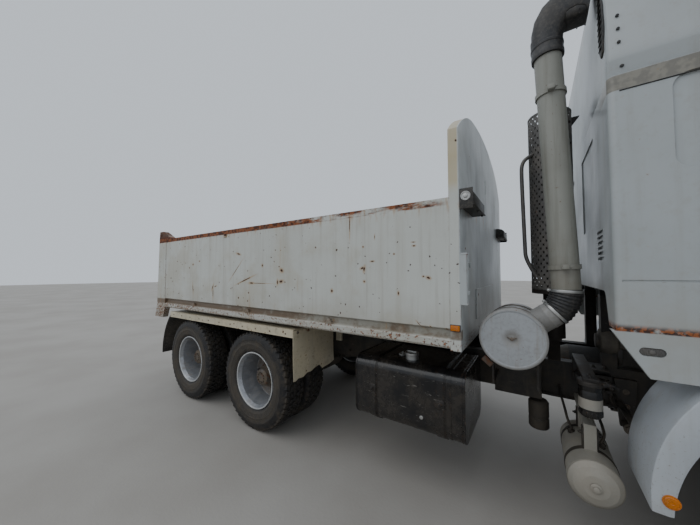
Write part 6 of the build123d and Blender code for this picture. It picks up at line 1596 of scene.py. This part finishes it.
def sewn(piece, turn, foot, channels, middle, deep=0.007):
    """Press sewn channels into a pad, lean it into place, and smooth it once."""
    bm = bmesh.new()
    bm.from_mesh(piece.data)
    for vert in bm.verts:
        along = (vert.co - foot).z if channels[0] == "Z" else (vert.co - foot).x
        across = vert.co.y - middle
        dent = max(math.exp(-(((along - at) / 0.006) ** 2)) for at in channels[1])
        dent = dent if abs(across) < 0.150 else 0.0
        dent = max(dent, math.exp(-(((abs(across) - 0.150) / 0.006) ** 2)))
        vert.co -= vert.normal * dent * deep
    bmesh.ops.smooth_vert(bm, verts=bm.verts, factor=0.3, use_axis_x=True, use_axis_y=True, use_axis_z=True)
    bmesh.ops.rotate(bm, verts=bm.verts, cent=foot, matrix=turn)
    return bm


SEAT_PARTS = (
    ("cushion", (2.496, 0.398, 1.594), (2.958, 0.842, 1.684), 0.0, 0.014, ("X", (-0.36, -0.24, -0.12))),
    ("back", (2.488, 0.400, 1.700), (2.582, 0.840, 2.160), -0.145, 0.014, ("Z", (0.10, 0.20, 0.30, 0.40))),
    ("headrest", (2.500, 0.490, 2.190), (2.580, 0.750, 2.345), -0.145, 0.012, ("Z", (0.08,))),
)
for part, low, high, lean, swell, channels in SEAT_PARTS:
    piece, turn, foot = pad(f"seat_{part}_shape", low, high, lean, swell)
    if part == "headrest":
        foot = Vector((2.582, 0, 1.700))
        channels = ("Z", (0.57,))
    bm = sewn(piece, turn, foot, channels, SEAT_Y)
    shape = bpy.data.meshes.new(f"seat_{part}")
    bm.to_mesh(shape)
    bm.free()
    old = piece.data
    bpy.data.objects.remove(piece)
    bpy.data.meshes.remove(old)
    for name, side in SIDES.items():
        bm = bmesh.new()
        bm.from_mesh(shape)
        if side < 0:
            bmesh.ops.scale(bm, verts=bm.verts, vec=(1, -1, 1))
        made = finished(f"seat_{part}_{name}", bm, "seat_cloth", "cab", stands_for=("seats",), smooth=80)
        made.modifiers.new("smooth", "SUBSURF").levels = 1
        made.modifiers["smooth"].render_levels = 1
for name, side in SIDES.items():
    # Pedestal, base plate, slides, piping round the cushion and back, belt buckle and its stalk
    bm = bmesh.new()
    plate(bm, side, (2.545, 2.875), (SEAT_Y, 0.155), (1.430, 1.470), 0.008)
    for step in range(7):
        grow = 0.010 if step % 2 else 0.0
        slab(
            bm, (2.568 - grow, side * SEAT_Y - 0.130 - grow, 1.468 + step * 0.013),
            (2.852 + grow, side * SEAT_Y + 0.130 + grow, 1.482 + step * 0.013), 0.005
        )
    plate(bm, side, (2.520, 2.930), (SEAT_Y, 0.205), (1.556, 1.580), 0.006)
    for y in (0.46, 0.78):
        plate(bm, side, (2.500, 2.940), (y, 0.014), (1.572, 1.592), 0.004)
    plate(bm, side, (2.4945, 2.5045), (SEAT_Y, 0.195), (1.610, 1.720), 0.004)
    for y in (0.55, 0.69):
        bar(bm, (2.512, side * y, 2.13), (2.497, side * y, 2.24), 0.007, steps=16)
    bar(bm, (2.50, side * 0.615 - 0.22, 1.655), (2.50, side * 0.615 + 0.22, 1.655), 0.018, steps=28, round_by=0.004)
    line(bm, ((2.54, side * 0.39, 1.58), (2.535, side * 0.378, 1.66), (2.53, side * 0.376, 1.735)), 0.010)
    plate(bm, side, (2.505, 2.552), (0.374, 0.014), (1.725, 1.785), 0.005)
    bar(bm, (2.90, side * 0.84, 1.575), (2.965, side * 0.845, 1.575), 0.008, steps=16, round_by=0.002)
    finished(f"seat_frame_{name}", bm, "dash_plastic", "cab", "seat_cloth", stands_for=("seats",))

# Dashboard: the binnacle's hood and dials, vents, switches, and the wheel with its boss, stalk and column shroud
DASH_TILT = Vector((-0.35, 0, 0.94)).normalized()
HUB = Vector((3.22, -0.62, 1.85))
bm = bmesh.new()
for y, radius in ((-0.735, 0.052), (-0.62, 0.030), (-0.505, 0.052), (-0.42, 0.024)):
    at = Vector((3.346, y, 1.768))
    turned(
        bm,
        ((0.0, 0.0), (0.0, radius), (0.014, radius + 0.005), (0.016, radius), (0.006, radius - 0.006), (0.006, 0.0)),
        at, (-0.95, 0, 0.45), 44
    )
    needle = at + Vector((-0.0075, 0, 0.0035))
    bar(bm, needle, needle + Vector((0.012, radius * 0.5, radius * 0.55)), 0.0016, steps=10)
outline_plate(
    bm,
    [(3.300, 1.800), (3.345, 1.838), (3.420, 1.842), (3.440, 1.790), (3.425, 1.776), (3.335, 1.822), (3.308, 1.792)],
    -0.83, -0.36, "Y", 0.004
)
for side in SIDES.values():
    for y in (0.16, 0.88):
        plate(bm, side, (3.312, 3.330), (y, 0.070), (1.716, 1.768), 0.006)
        for step in range(4):
            plate(bm, side, (3.305, 3.313), (y, 0.062), (1.722 + step * 0.012, 1.726 + step * 0.012), 0.001)
for row, z in enumerate((1.660, 1.610)):
    for step in range(7):
        y = -0.28 + step * 0.068
        x = 3.306 + row * 0.010
        slab(bm, (x, y - 0.022, z - 0.016), (x + 0.012, y + 0.022, z + 0.016), 0.003)
        slab(bm, (x - 0.006, y - 0.015, z - 0.002), (x + 0.004, y + 0.015, z + 0.011), 0.002)
for y in (-0.22, -0.10, 0.02):
    bar(bm, (3.332, y, 1.555), (3.300, y, 1.552), 0.018, 0.014, steps=28, round_by=0.002)
slab(bm, (3.326, 0.35, 1.56), (3.336, 0.90, 1.69), 0.004)
slab(bm, (3.318, 0.58, 1.670), (3.330, 0.67, 1.684), 0.003)
finished("dash_fittings", bm, "box_black", "cab", "dash_plastic")
bm = bmesh.new()
outer = [
    (0.013 + 0.0150 * math.sin(2 * math.pi * n / 16), 0.2100 + 0.0158 * math.cos(2 * math.pi * n / 16))
    for n in range(16)
]
turned(bm, outer, HUB, DASH_TILT, 72, closed=True)
boss = ((0.0, 0.0), (0.0, 0.062), (0.020, 0.064), (0.034, 0.058), (0.040, 0.042), (0.042, 0.0))
turned(bm, boss, HUB, DASH_TILT, 48)
turn = DASH_TILT.to_track_quat("Z", "Y").to_matrix().to_4x4()
for y in (-0.128, 0.128):
    slab(
        bm, HUB + DASH_TILT * 0.016 - Vector((0.017, 0.075 - y, 0.005)),
        HUB + DASH_TILT * 0.016 + Vector((0.017, 0.075 + y, 0.005)), 0.003, turn
    )
bar(bm, (3.365, -0.62, 1.572), (3.245, -0.62, 1.812), 0.042, 0.036, steps=36, round_by=0.006)
for side in (-1, 1):
    line(
        bm,
        (
            (3.262, -0.62 + side * 0.03, 1.775), (3.250, -0.62 + side * 0.10, 1.790),
            (3.238, -0.62 + side * 0.165, 1.805)
        ),
        0.006
    )
    bar(
        bm, (3.2395, -0.62 + side * 0.150, 1.803), (3.2365, -0.62 + side * 0.185, 1.808), 0.0095, steps=18,
        round_by=0.003
    )
finished("steering_wheel", bm, "rubber", "cab", "dash_plastic")
bm = bmesh.new()
for y, wide in ((-0.50, 0.035), (-0.66, 0.030), (-0.80, 0.030)):
    line(bm, ((3.42, y, 1.640), (3.40, y, 1.56), (3.335, y, 1.515)), 0.009)
    slab(bm, (3.296, y - wide, 1.478), (3.332, y + wide, 1.548), 0.004, Matrix.Rotation(0.5, 4, "Y"))
    for step in range(4):
        slab(
            bm, (3.286 + step * 0.006, y - wide + 0.004, 1.490 + step * 0.013),
            (3.292 + step * 0.006, y + wide - 0.004, 1.495 + step * 0.013), 0.0008
        )
line(bm, ((3.02, -0.26, 1.426), (3.02, -0.265, 1.60), (3.00, -0.285, 1.72)), 0.010)
bar(bm, (3.008, -0.280, 1.700), (2.992, -0.290, 1.760), 0.022, 0.018, steps=28, round_by=0.008)
for step in range(5):
    ring_at = Vector((3.02, -0.26, 1.430 + step * 0.014))
    bar(
        bm, ring_at, ring_at + Vector((0, 0, 0.012)), 0.055 - step * 0.008, 0.048 - step * 0.008, steps=28,
        round_by=0.003
    )
finished("pedals_and_lever", bm, "box_black", "cab", "dash_plastic")

# Springs: U-bolts over the axles with their plates and nuts, leaf clips, and nuts on the shackles and trunnions
bm = bmesh.new()
for side in SIDES.values():
    for x, y, reach, low, top, half in (
        (-2.06, 0.51, 0.0645, 0.478, 0.698, 0.07), (2.42, 0.50, 0.0500, 0.395, 0.606, 0.058)
    ):
        for end in (-half, half):
            for over in (-reach, reach):
                foot = Vector((x + end, side * y + over, low))
                bar(bm, foot, foot + Vector((0, 0, top - low)), 0.0085, steps=14)
                nut(bm, foot + Vector((0, 0, 0.022)), (0, 0, -1), 0.026, 0.016, 0.008)
            bar(
                bm, (x + end, side * y - reach - 0.006, top), (x + end, side * y + reach + 0.006, top), 0.0095,
                steps=14, round_by=0.002
            )
        slab(
            bm, (x - half - 0.03, side * y - reach - 0.012, low + 0.022),
            (x + half + 0.03, side * y + reach + 0.012, low + 0.034), 0.003
        )
    for x, y, wide, low, high in (
        (-2.58, 0.51, 0.0475, 0.578, 0.640), (-2.32, 0.51, 0.0475, 0.578, 0.682), (-1.80, 0.51, 0.0475, 0.578, 0.682),
        (-1.54, 0.51, 0.0475, 0.578, 0.640), (1.87, 0.50, 0.0425, 0.560, 0.614), (2.12, 0.50, 0.0425, 0.526, 0.606),
        (2.72, 0.50, 0.0425, 0.526, 0.606), (2.97, 0.50, 0.0425, 0.560, 0.614),
    ):
        for reach in (-wide, wide):
            slab(
                bm, (x - 0.018, side * y + reach - 0.003, low), (x + 0.018, side * y + reach + 0.003, high + 0.018),
                0.001
            )
        bar(
            bm, (x, side * y - wide - 0.008, high + 0.009), (x, side * y + wide + 0.008, high + 0.009), 0.006,
            steps=12
        )
        nut(bm, (x, side * (y + wide + 0.003), high + 0.009), (0, side, 0), 0.017, 0.010, 0.004)
    for x in (1.675, 3.165):
        nut(bm, (x, side * 0.540, 0.622), (0, side, 0), 0.046, 0.022, 0.010)
        for rise in (0.74, 0.84):
            nut(bm, (x, side * 0.460, rise), (0, side, 0), *BOLT_16)
    for x, z in (
        (-2.21, 0.83), (-2.06, 0.83), (-1.91, 0.83), (-2.17, 0.74), (-1.95, 0.74), (-2.14, 0.66), (-1.98, 0.66)
    ):
        nut(bm, (x, side * 0.452, z), (0, side, 0), 0.026, 0.015, 0.006)
    turned(
        bm, ((0.0, 0.0), (0.0, 0.060), (0.012, 0.060), (0.018, 0.050), (0.020, 0.0)), (-2.06, side * 0.5645, 0.566),
        (0, side, 0), 40
    )
    for at in spots((-2.06, side * 0.5765, 0.566), "ZX", 0.046, 6):
        nut(bm, at, (0, side, 0), 0.013, 0.010, washer=False)
finished("spring_fixings", bm, "nut_steel", "chassis", "chassis_black")

# Brakes: a chamber with its clamp ring, rod and slack arm behind each wheel of the driven axles
for label, x in AXLES_REAR.items():
    bm = bmesh.new()
    for side in SIDES.values():
        out = -1 if x < -2 else 1
        at = Vector((x + out * 0.235, side * 0.33, 0.560))
        chamber = (
            (-0.085, 0.0), (-0.085, 0.055), (-0.075, 0.068), (-0.006, 0.078), (-0.006, 0.086), (0.006, 0.086),
            (0.006, 0.078)
        )
        chamber += ((0.070, 0.070), (0.082, 0.058), (0.150, 0.058), (0.160, 0.046), (0.160, 0.0))
        turned(bm, chamber, at, (0, -side, 0), 48)
        for turn in range(2):
            angle = 0.8 + math.pi * turn
            nut(
                bm, at + Vector((math.sin(angle) * 0.094, -0.01, math.cos(angle) * 0.094)), (0, 1, 0), 0.017, 0.020,
                0.006
            )
        bar(bm, at + Vector((0, side * 0.085, 0)), at + Vector((0, side * 0.190, 0)), 0.009, steps=16)
        slab(
            bm, at + Vector((-0.014 - (0.09 if out > 0 else 0), side * 0.190 - 0.008, -0.018)),
            at + Vector((0.014 + (0.09 if out < 0 else 0), side * 0.190 + 0.008, 0.018)), 0.005
        )
        bar(bm, (x + out * 0.150, side * 0.24, 0.560), (x + out * 0.150, side * 0.545, 0.560), 0.0165, steps=20)
        plate(bm, side, (x + out * 0.165 - 0.04, x + out * 0.165 + 0.04), (0.30, 0.008), (0.47, 0.625), 0.004)
        line(
            bm,
            (
                at + Vector((0, -side * 0.12, 0.055)), at + Vector((0, -side * 0.12, 0.12)),
                (x + out * 0.20, side * 0.26, 0.70), (x + out * 0.16, side * 0.30, 0.715),
                (x + out * 0.12, side * 0.335, 0.72)
            ),
            0.008
        )
    for side, face in ((-1, -0.090), (1, 0.170)):
        cover = (
            (0.0, 0.0), (0.0, 0.198), (0.010, 0.198), (0.012, 0.170), (0.030, 0.150), (0.048, 0.110), (0.056, 0.060),
            (0.058, 0.0)
        )
        turned(bm, cover, (x, face, AXLE_Z), (0, side, 0), 64)
        for at in spots((x, face + side * 0.010, AXLE_Z), "ZX", 0.184, 14, 0.5):
            nut(bm, at, (0, side, 0), 0.020, 0.012, 0.004, washer=False)
    bar(bm, (x - 0.06, 0.04, AXLE_Z - 0.185), (x - 0.06, 0.04, AXLE_Z - 0.208), 0.016, steps=6, round_by=0.001)
    line(
        bm,
        ((x, 0.30, 0.588), (x, 0.30, 0.62), (x + 0.05, 0.30, 0.64), (x + 0.05, 0.28, 0.68), (x + 0.05, 0.33, 0.71)),
        0.007
    )
    finished(f"brakes_{label}", bm, "engine_iron", "chassis", "chassis_black")

# Rails: rows of bolts, and rigid air and brake lines clipped along the webs
bm = bmesh.new()
for side in SIDES.values():
    for x in (-3.34, -3.24, -2.52, -2.44, -1.62, -1.54, -0.98, -0.66, -0.24, 0.86, 0.96, 1.86, 2.74, 3.06):
        for z in (0.765, 0.925):
            nut(bm, (x, side * 0.430, z), (0, side, 0), *BOLT_16)
    for x in (-3.30, -1.58, -0.84, -0.20, 0.40, 1.10):
        for end in (-0.05, 0.05):
            nut(bm, (x + end, side * 0.385, 0.705), (0, 0, -1), 0.022, 0.012, 0.005)
finished("rail_bolts", bm, "chassis_black", "chassis")
bm = bmesh.new()
for y, z, radius in ((0.329, 0.80, 0.007), (0.329, 0.82, 0.007), (0.331, 0.845, 0.009)):
    line(bm, [(x, y, z) for x in (-2.95, -2.0, -1.0, 0.0, 0.9, 1.55)], radius)
    line(bm, [(x, -y, z) for x in (-1.9, -1.0, 0.0, 0.9, 1.45)], radius)
for x in (-2.8, -2.3, -1.8, -1.3, -0.8, -0.3, 0.2, 0.7, 1.2):
    for side in SIDES.values():
        plate(bm, side, (x - 0.008, x + 0.008), (0.3325, 0.0085), (0.788, 0.860), 0.003)
finished("brake_lines", bm, "box_black", "chassis", "chassis_black")

# Valves, a dryer and brackets on the rail between the tank and the cab
bm = bmesh.new()
slab(bm, (0.96, -0.445, 0.80), (1.20, -0.430, 0.95), 0.003)
for x, wide, deep, z in ((1.00, 0.055, 0.075, 0.87), (1.10, 0.050, 0.060, 0.90)):
    slab(bm, (x - wide / 2, -0.445 - deep, z - 0.045), (x + wide / 2, -0.444, z + 0.045), 0.010, segments=3)
    bar(bm, (x, -0.445 - deep / 2, z + 0.04), (x, -0.445 - deep / 2, z + 0.068), 0.020, steps=24, round_by=0.003)
    bar(bm, (x, -0.445 - deep, z), (x, -0.445 - deep - 0.018, z), 0.012, steps=6, round_by=0.001)
for start, z in ((0.985, 0.825), (1.015, 0.825), (1.09, 0.855), (1.115, 0.855)):
    line(
        bm,
        (
            (start, -0.49, z), (start, -0.50, z - 0.04), (start + 0.04, -0.47, 0.745), (start + 0.08, -0.455, 0.722),
            (start + 0.30, -0.452, 0.718)
        ),
        0.0065
    )
dryer = (
    (0.0, 0.0), (0.0, 0.060), (0.010, 0.066), (0.070, 0.066), (0.078, 0.060), (0.085, 0.060), (0.090, 0.066),
    (0.190, 0.066), (0.205, 0.056), (0.210, 0.030), (0.210, 0.0)
)
turned(bm, dryer, (1.165, -0.56, 0.50), (0, 0, 1), 56)
slab(bm, (1.145, -0.51, 0.60), (1.185, -0.43, 0.72), 0.005)
line(bm, ((1.165, -0.56, 0.71), (1.165, -0.56, 0.75), (1.12, -0.52, 0.79), (1.09, -0.48, 0.81)), 0.010)
for x, z in ((1.56, 0.90), (1.56, 0.80)):
    slab(bm, (x - 0.045, -0.475, z - 0.035), (x + 0.045, -0.430, z + 0.035), 0.008)
    for end in (-0.025, 0.025):
        bar(bm, (x + end, -0.474, z), (x + end, -0.488, z), 0.010, steps=6, round_by=0.001)
        line(
            bm,
            (
                (x + end, -0.486, z), (x + end, -0.50, z - 0.02), (x + end + 0.03, -0.475, z - 0.07),
                (x + end + 0.05, -0.45, 0.735)
            ),
            0.0055
        )
slab(bm, (1.48, -0.56, 0.985), (1.58, -0.43, 0.993), 0.002)
for x in (1.50, 1.56):
    nut(bm, (x, -0.50, 0.993), (0, 0, 1), *BOLT_12)
finished("rail_valves", bm, "chassis_black", "chassis")

# Joints of the propshafts, and ribs, pan bolts, pulleys and filters on the engine and gearbox
def cross_joint(bm, at, along):
    """A universal joint: two forks, the cross between them and its caps."""
    at, along = Vector(at), Vector(along).normalized()
    across = along.cross(Vector((0, 0, 1))).normalized()
    upright = across.cross(along)
    for way, fork in ((across, -1), (upright, 1)):
        for end in (-1, 1):
            middle = at + way * end * 0.046
            bar(bm, middle, middle + way * end * 0.018, 0.024, steps=20, round_by=0.002)
            bar(
                bm, middle + way * end * 0.008 + along * fork * 0.004,
                middle + way * end * 0.004 + along * fork * 0.075, 0.019, 0.024, steps=12
            )
        bar(bm, at - way * 0.052, at + way * 0.052, 0.014, steps=16)
    for end in (-1, 1):
        bar(bm, at + along * end * 0.070, at + along * end * 0.086, 0.070, steps=32, round_by=0.002)
        for step in range(8):
            angle = 2 * math.pi * (step + 0.5) / 8
            spot = at + along * end * 0.086 + across * math.sin(angle) * 0.056 + upright * math.cos(angle) * 0.056
            nut(bm, spot, along * end, 0.015, 0.009, washer=False)


bm = bmesh.new()
for at, along in (
    ((0.885, 0, 0.794), (-1, 0, -0.108)), ((-1.055, 0, 0.584), (-1, 0, -0.108)), ((-1.66, 0, 0.578), (1, 0, 0)),
    ((-2.40, 0, 0.578), (1, 0, 0))
):
    cross_joint(bm, at, along)
slid = Vector((-1, 0, -0.108)).normalized()
for x, z, reach, radius, tip, round_by in (
    (0.79, 0.784, 0.16, 0.062, 0.054, 0.003), (-0.10, 0.6878, 0.012, 0.0545, None, 0.0),
    (-0.93, 0.5985, 0.05, 0.056, None, 0.003),
):
    bar(bm, (x, 0, z), Vector((x, 0, z)) + slid * reach, radius, tip, 36, round_by)
finished("shaft_joints", bm, "engine_iron", "chassis")
bm = bmesh.new()
turned(
    bm, ((0.290, 0.240), (0.270, 0.258), (0.298, 0.258), (0.298, 0.230)), (1.39, 0, 0.8), (1, 0, 0), 72, closed=True
)
bar(bm, (1.225, 0, 0.8), (1.392, 0, 0.8), 0.166, 0.232, steps=56)
for turn in range(16):
    angle = 2 * math.pi * turn / 16
    nut(bm, (1.660, math.sin(angle) * 0.247, 0.8 + math.cos(angle) * 0.247), (-1, 0, 0), 0.018, 0.012, 0.0, False)
    if turn % 2:
        rib = Matrix.Translation((1.31, 0, 0.8)) @ Matrix.Rotation(angle, 4, "X")
        slab(bm, (-0.085, -0.006, 0.150), (0.085, 0.006, 0.206), 0.002)
        bmesh.ops.transform(bm, verts=[vert for vert in bm.verts if vert.co.x < 0.2 and vert.co.z < 0.4], matrix=rib)
for x in (0.948, 1.04, 1.13, 1.22):
    collar(bm, (-0.006, 0.006), (0.158, 0.172), (x, 0, 0.8), (1, 0, 0), 56)
for at in spots((0.942, 0, 0.8), "ZY", 0.135, 10):
    nut(bm, at, (-1, 0, 0), 0.018, 0.012, 0.004, False)
slab(bm, (1.00, -0.225, 0.72), (1.18, -0.140, 0.86), 0.012, segments=3)
for x, z in ((1.015, 0.735), (1.165, 0.735), (1.015, 0.845), (1.165, 0.845)):
    nut(bm, (x, -0.225, z), (0, -1, 0), 0.015, 0.009, 0.003, False)
slab(bm, (0.98, -0.10, 0.945), (1.30, 0.10, 1.005), 0.012, segments=3)
bar(bm, (1.12, 0.0, 1.00), (1.12, 0.0, 1.075), 0.030, 0.022, steps=28, round_by=0.004)
slab(bm, (1.965, -0.21, 0.462), (2.330, 0.21, 0.562), 0.030, segments=4)
slab(bm, (1.935, -0.235, 0.552), (2.345, 0.235, 0.564), 0.003)
for step in range(9):
    for y in (-0.222, 0.222):
        nut(bm, (1.955 + step * 0.047, y, 0.552), (0, 0, -1), 0.014, 0.009, 0.0, False)
bar(bm, (2.03, 0.0, 0.463), (2.03, 0.0, 0.446), 0.018, steps=6, round_by=0.001)
for step in range(6):
    x = 1.745 + step * 0.180
    top = 1.392 if x < 2.2 else 1.362
    slab(bm, (x, -0.14, 1.338), (x + 0.160, 0.14, top), 0.014, segments=3)
    for y in (-0.10, 0.10):
        nut(bm, (x + 0.080, y, top - 0.001), (0, 0, 1), 0.016, 0.010, 0.003, False)
    slab(bm, (x + 0.040, -0.350, 1.075), (x + 0.120, -0.318, 1.185), 0.008)
    bar(bm, (x + 0.080, -0.330, 1.130), (x + 0.080, -0.375, 1.130), 0.030, 0.036, steps=24)
    for over, z in ((0.050, 1.085), (0.110, 1.175)):
        nut(bm, (x + over, -0.350, z), (0, -1, 0), 0.015, 0.010, 0.003, False)
line(
    bm,
    ((2.76, -0.385, 1.130), (2.4, -0.385, 1.130), (2.0, -0.385, 1.130), (1.80, -0.385, 1.135), (1.66, -0.385, 1.16)),
    0.040, sides=6
)
scroll = ((-0.055, 0.0), (-0.055, 0.060), (-0.045, 0.088), (0.0, 0.100), (0.045, 0.088), (0.055, 0.060), (0.060, 0.0))
turned(bm, scroll, (1.60, -0.375, 1.165), (1, 0, 0), 48)
bar(bm, (1.53, -0.375, 1.165), (1.66, -0.375, 1.165), 0.052, steps=32, round_by=0.004)
slab(bm, (1.85, 0.318, 1.06), (2.72, 0.372, 1.16), 0.020, segments=3)
for x in (1.92, 2.06):
    canister = (
        (0.0, 0.0), (0.0, 0.038), (0.010, 0.044), (0.130, 0.044), (0.134, 0.050), (0.150, 0.050), (0.156, 0.040),
        (0.156, 0.0)
    )
    turned(bm, canister, (x, 0.385, 1.065), (0, 0, -1), 40)
for step in range(5):
    for side in (-1, 1):
        plate(bm, side, (1.72 + step * 0.25, 1.745 + step * 0.25), (0.3215, 0.002), (0.66, 0.98), 0.001)
finished("engine_fittings", bm, "engine_iron", "chassis")
bm = bmesh.new()
PULLEYS = ((0.0, 0.74, 0.095), (0.0, 1.02, 0.080), (0.20, 0.92, 0.045), (-0.21, 1.10, 0.055))
for y, z, radius in PULLEYS:
    turned(
        bm,
        (
            (0.0, 0.0), (0.0, radius), (0.006, radius), (0.012, radius - 0.010), (0.018, radius - 0.010),
            (0.024, radius), (0.030, radius), (0.030, radius * 0.4), (0.040, radius * 0.35), (0.040, 0.0)
        ),
        (3.0405, y, z), (1, 0, 0), 48
    )
for (y, z, radius), (v, w, other) in (
    (PULLEYS[0], PULLEYS[2]), (PULLEYS[2], PULLEYS[1]), (PULLEYS[1], PULLEYS[3]), (PULLEYS[3], PULLEYS[0])
):
    run = Vector((0, v - y, w - z)).normalized()
    out = Vector((0, run.z, -run.y))
    start, end = Vector((3.0555, y, z)) + out * (radius - 0.006), Vector((3.0555, v, w)) + out * (other - 0.006)
    bar(bm, start, end, 0.006, steps=8)
turned(bm, ((0.0, 0.0), (0.0, 0.070), (0.030, 0.070), (0.045, 0.045), (0.045, 0.0)), (3.080, 0, 1.02), (1, 0, 0), 36)
for turn in range(9):
    angle = 2 * math.pi * turn / 9
    slab(bm, (-0.004, -0.045, 0.06), (0.004, 0.045, 0.275), 0.003, Matrix.Rotation(0.5, 4, "Z"))
    place = Matrix.Translation((3.105, 0, 1.02)) @ Matrix.Rotation(angle, 4, "X")
    bmesh.ops.transform(bm, verts=[vert for vert in bm.verts if vert.co.x < 0.1], matrix=place)
collar(bm, (0.0, 0.060), (0.285, 0.297), (3.075, 0, 1.02), (1, 0, 0), 64)
slab(bm, (3.170, -0.33, 0.745), (3.215, 0.33, 1.300), 0.004)
for low, high in ((0.705, 0.750), (1.295, 1.345)):
    slab(bm, (3.160, -0.325, low), (3.225, 0.325, high), 0.012, segments=3)
for step in range(34):
    z = 0.762 + step * 0.0157
    slab(bm, (3.212, -0.325, z), (3.219, 0.325, z + 0.004), 0.0)
finished("fan_and_radiator", bm, "chassis_black", "chassis")

# Hoist: gland and wear rings, pin caps, ports and grease nipples
HOIST_FOOT, HOIST_EYE = Vector((-1.0, 0, 0.79)), Vector((-2.33, 0, 1.075))
HOIST_WAY = (HOIST_EYE - HOIST_FOOT).normalized()
bm = bmesh.new()
for start, end, grow in ((0.10, 0.13, 0.003), (0.70, 0.73, 0.002), (1.145, 1.190, 0.004)):
    collar(bm, (start, end), (0.070, 0.075 + grow), HOIST_FOOT, HOIST_WAY, 56)
across = Vector((0, 1, 0))
for reach in (0.16, 1.10):
    at = HOIST_FOOT + HOIST_WAY * reach + across * 0.070
    bar(bm, at, at + across * 0.030, 0.016, steps=20)
    bar(bm, at + across * 0.028, at + across * 0.046, 0.0135, steps=6, round_by=0.001)
tube_at = [
    HOIST_FOOT + HOIST_WAY * reach + across * out
    for reach, out in ((0.16, 0.112), (0.20, 0.114), (0.60, 0.092), (1.06, 0.114), (1.10, 0.112))
]
line(bm, tube_at, 0.008)
finished("hoist_rings", bm, "hoist_grey", "barrel")

# High roof: its outlines stacked and softened between the CAD's sections, then given a wall
def roof_outline(bm, rise, half, front, corner):
    verts = [
        bm.verts.new((x, y, 2.6905 + rise))
        for x, y in ((1.5, -half), (front, -half), (front, half), (1.5, half))
    ]
    bm.faces.new(verts)
    for ends, radius, segments in ((verts[1:3], corner, 10), (verts[::3], 0.022, 3)):
        shape = {"offset_type": "OFFSET", "segments": segments, "profile": 0.5, "affect": "VERTICES", "material": -1}
        made = bmesh.ops.bevel(bm, geom=ends, offset=radius, **shape)
    return next(face for face in made["verts"][0].link_faces)


# Height over the cab's top, half width, front edge, corner radius, and how much of each side its bend takes up
ROOF = (
    ((0.00, 1.220, 3.540, 0.235), 0.0),
    ((0.09, 1.245, 3.545, 0.260), 0.14),
    ((0.50, 1.210, 3.120, 0.200), 0.34),
    ((0.76, 1.085, 2.540, 0.160), 0.34),
    ((0.76, 0.700, 2.000, 0.100), 0.0),
)
bm = bmesh.new()
levels = [ROOF[0][0]]
for (before, _), (here, share), (after, _) in zip(ROOF, ROOF[1:], ROOF[2:]):
    for step in range(7):
        t = step / 6
        start = [b + (a - b) * share for a, b in zip(before, here)]
        end = [b + (a - b) * share for a, b in zip(after, here)]
        levels.append([a * (1 - t) ** 2 + 2 * b * t * (1 - t) + c * t * t for a, b, c in zip(start, here, end)])
flat = [roof_outline(bm, *level) for level in levels]
loops = [list(face.edges) for face in flat]
bmesh.ops.delete(bm, geom=flat[:-1], context="FACES_ONLY")
lofted(bm, loops)
bmesh.ops.recalc_face_normals(bm, faces=bm.faces)
bmesh.ops.solidify(bm, geom=bm.faces[:], thickness=0.03)
finished("high_roof", bm, "cab_white", "cab", stands_for=("cab_roof",), smooth=24)

# Camera
CAMERA_AT = Vector((1.17, -3.1595, 1.6782))
CAMERA_TURN = 0.5905
CAMERA_PITCH = 0.0362
CAMERA_ROLL = -0.0021
camera_data = bpy.data.cameras.new("camera")
camera_data.sensor_width = 36
camera_data.lens = 36 * 276.9 / 700
camera_data.clip_end = 300
camera = bpy.data.objects.new("camera", camera_data)
camera.matrix_world = (
    Matrix.Translation(CAMERA_AT)
    @ Matrix.Rotation(CAMERA_TURN, 4, "Z")
    @ Matrix.Rotation(math.pi / 2 + CAMERA_PITCH, 4, "X")
    @ Matrix.Rotation(CAMERA_ROLL, 4, "Z")
)
bpy.context.collection.objects.link(camera)
bpy.context.scene.camera = camera

# A pale floor that fades into a pale sky, and soft light from above
world = bpy.data.worlds.new("studio")
bpy.context.scene.world = world
world.use_nodes = True
world.node_tree.nodes["Background"].inputs["Color"].default_value = paint(208, 215, 223)
world.node_tree.nodes["Background"].inputs["Strength"].default_value = 1.05

floor_mesh = bmesh.new()
bmesh.ops.create_circle(floor_mesh, cap_ends=True, segments=96, radius=60)
floor_data = bpy.data.meshes.new("floor")
floor_mesh.to_mesh(floor_data)
floor_mesh.free()
floor = bpy.data.objects.new("floor", floor_data)
bpy.context.collection.objects.link(floor)
floor_finish = Finish("studio_floor")
floor_cloud = floor_finish.noise(0.6, 4).rise(0.3, 0.7)
floor_finish.surface(
    floor_finish.mix(floor_cloud, (166, 162, 156), (154, 149, 142)), 0.7, floor_finish.noise(40, 3), 0.0015
)
floor_data.materials.append(floor_finish.material)

for name, turn, strength, size in (
    ("key", (0.72, 0.0, -0.55), 0.65, 0.9),
    ("fill", (0.9, 0.0, 2.4), 0.22, 1.4),
):
    light_data = bpy.data.lights.new(name, "SUN")
    light_data.energy = strength
    light_data.angle = size
    light = bpy.data.objects.new(name, light_data)
    light.rotation_euler = turn
    bpy.context.collection.objects.link(light)
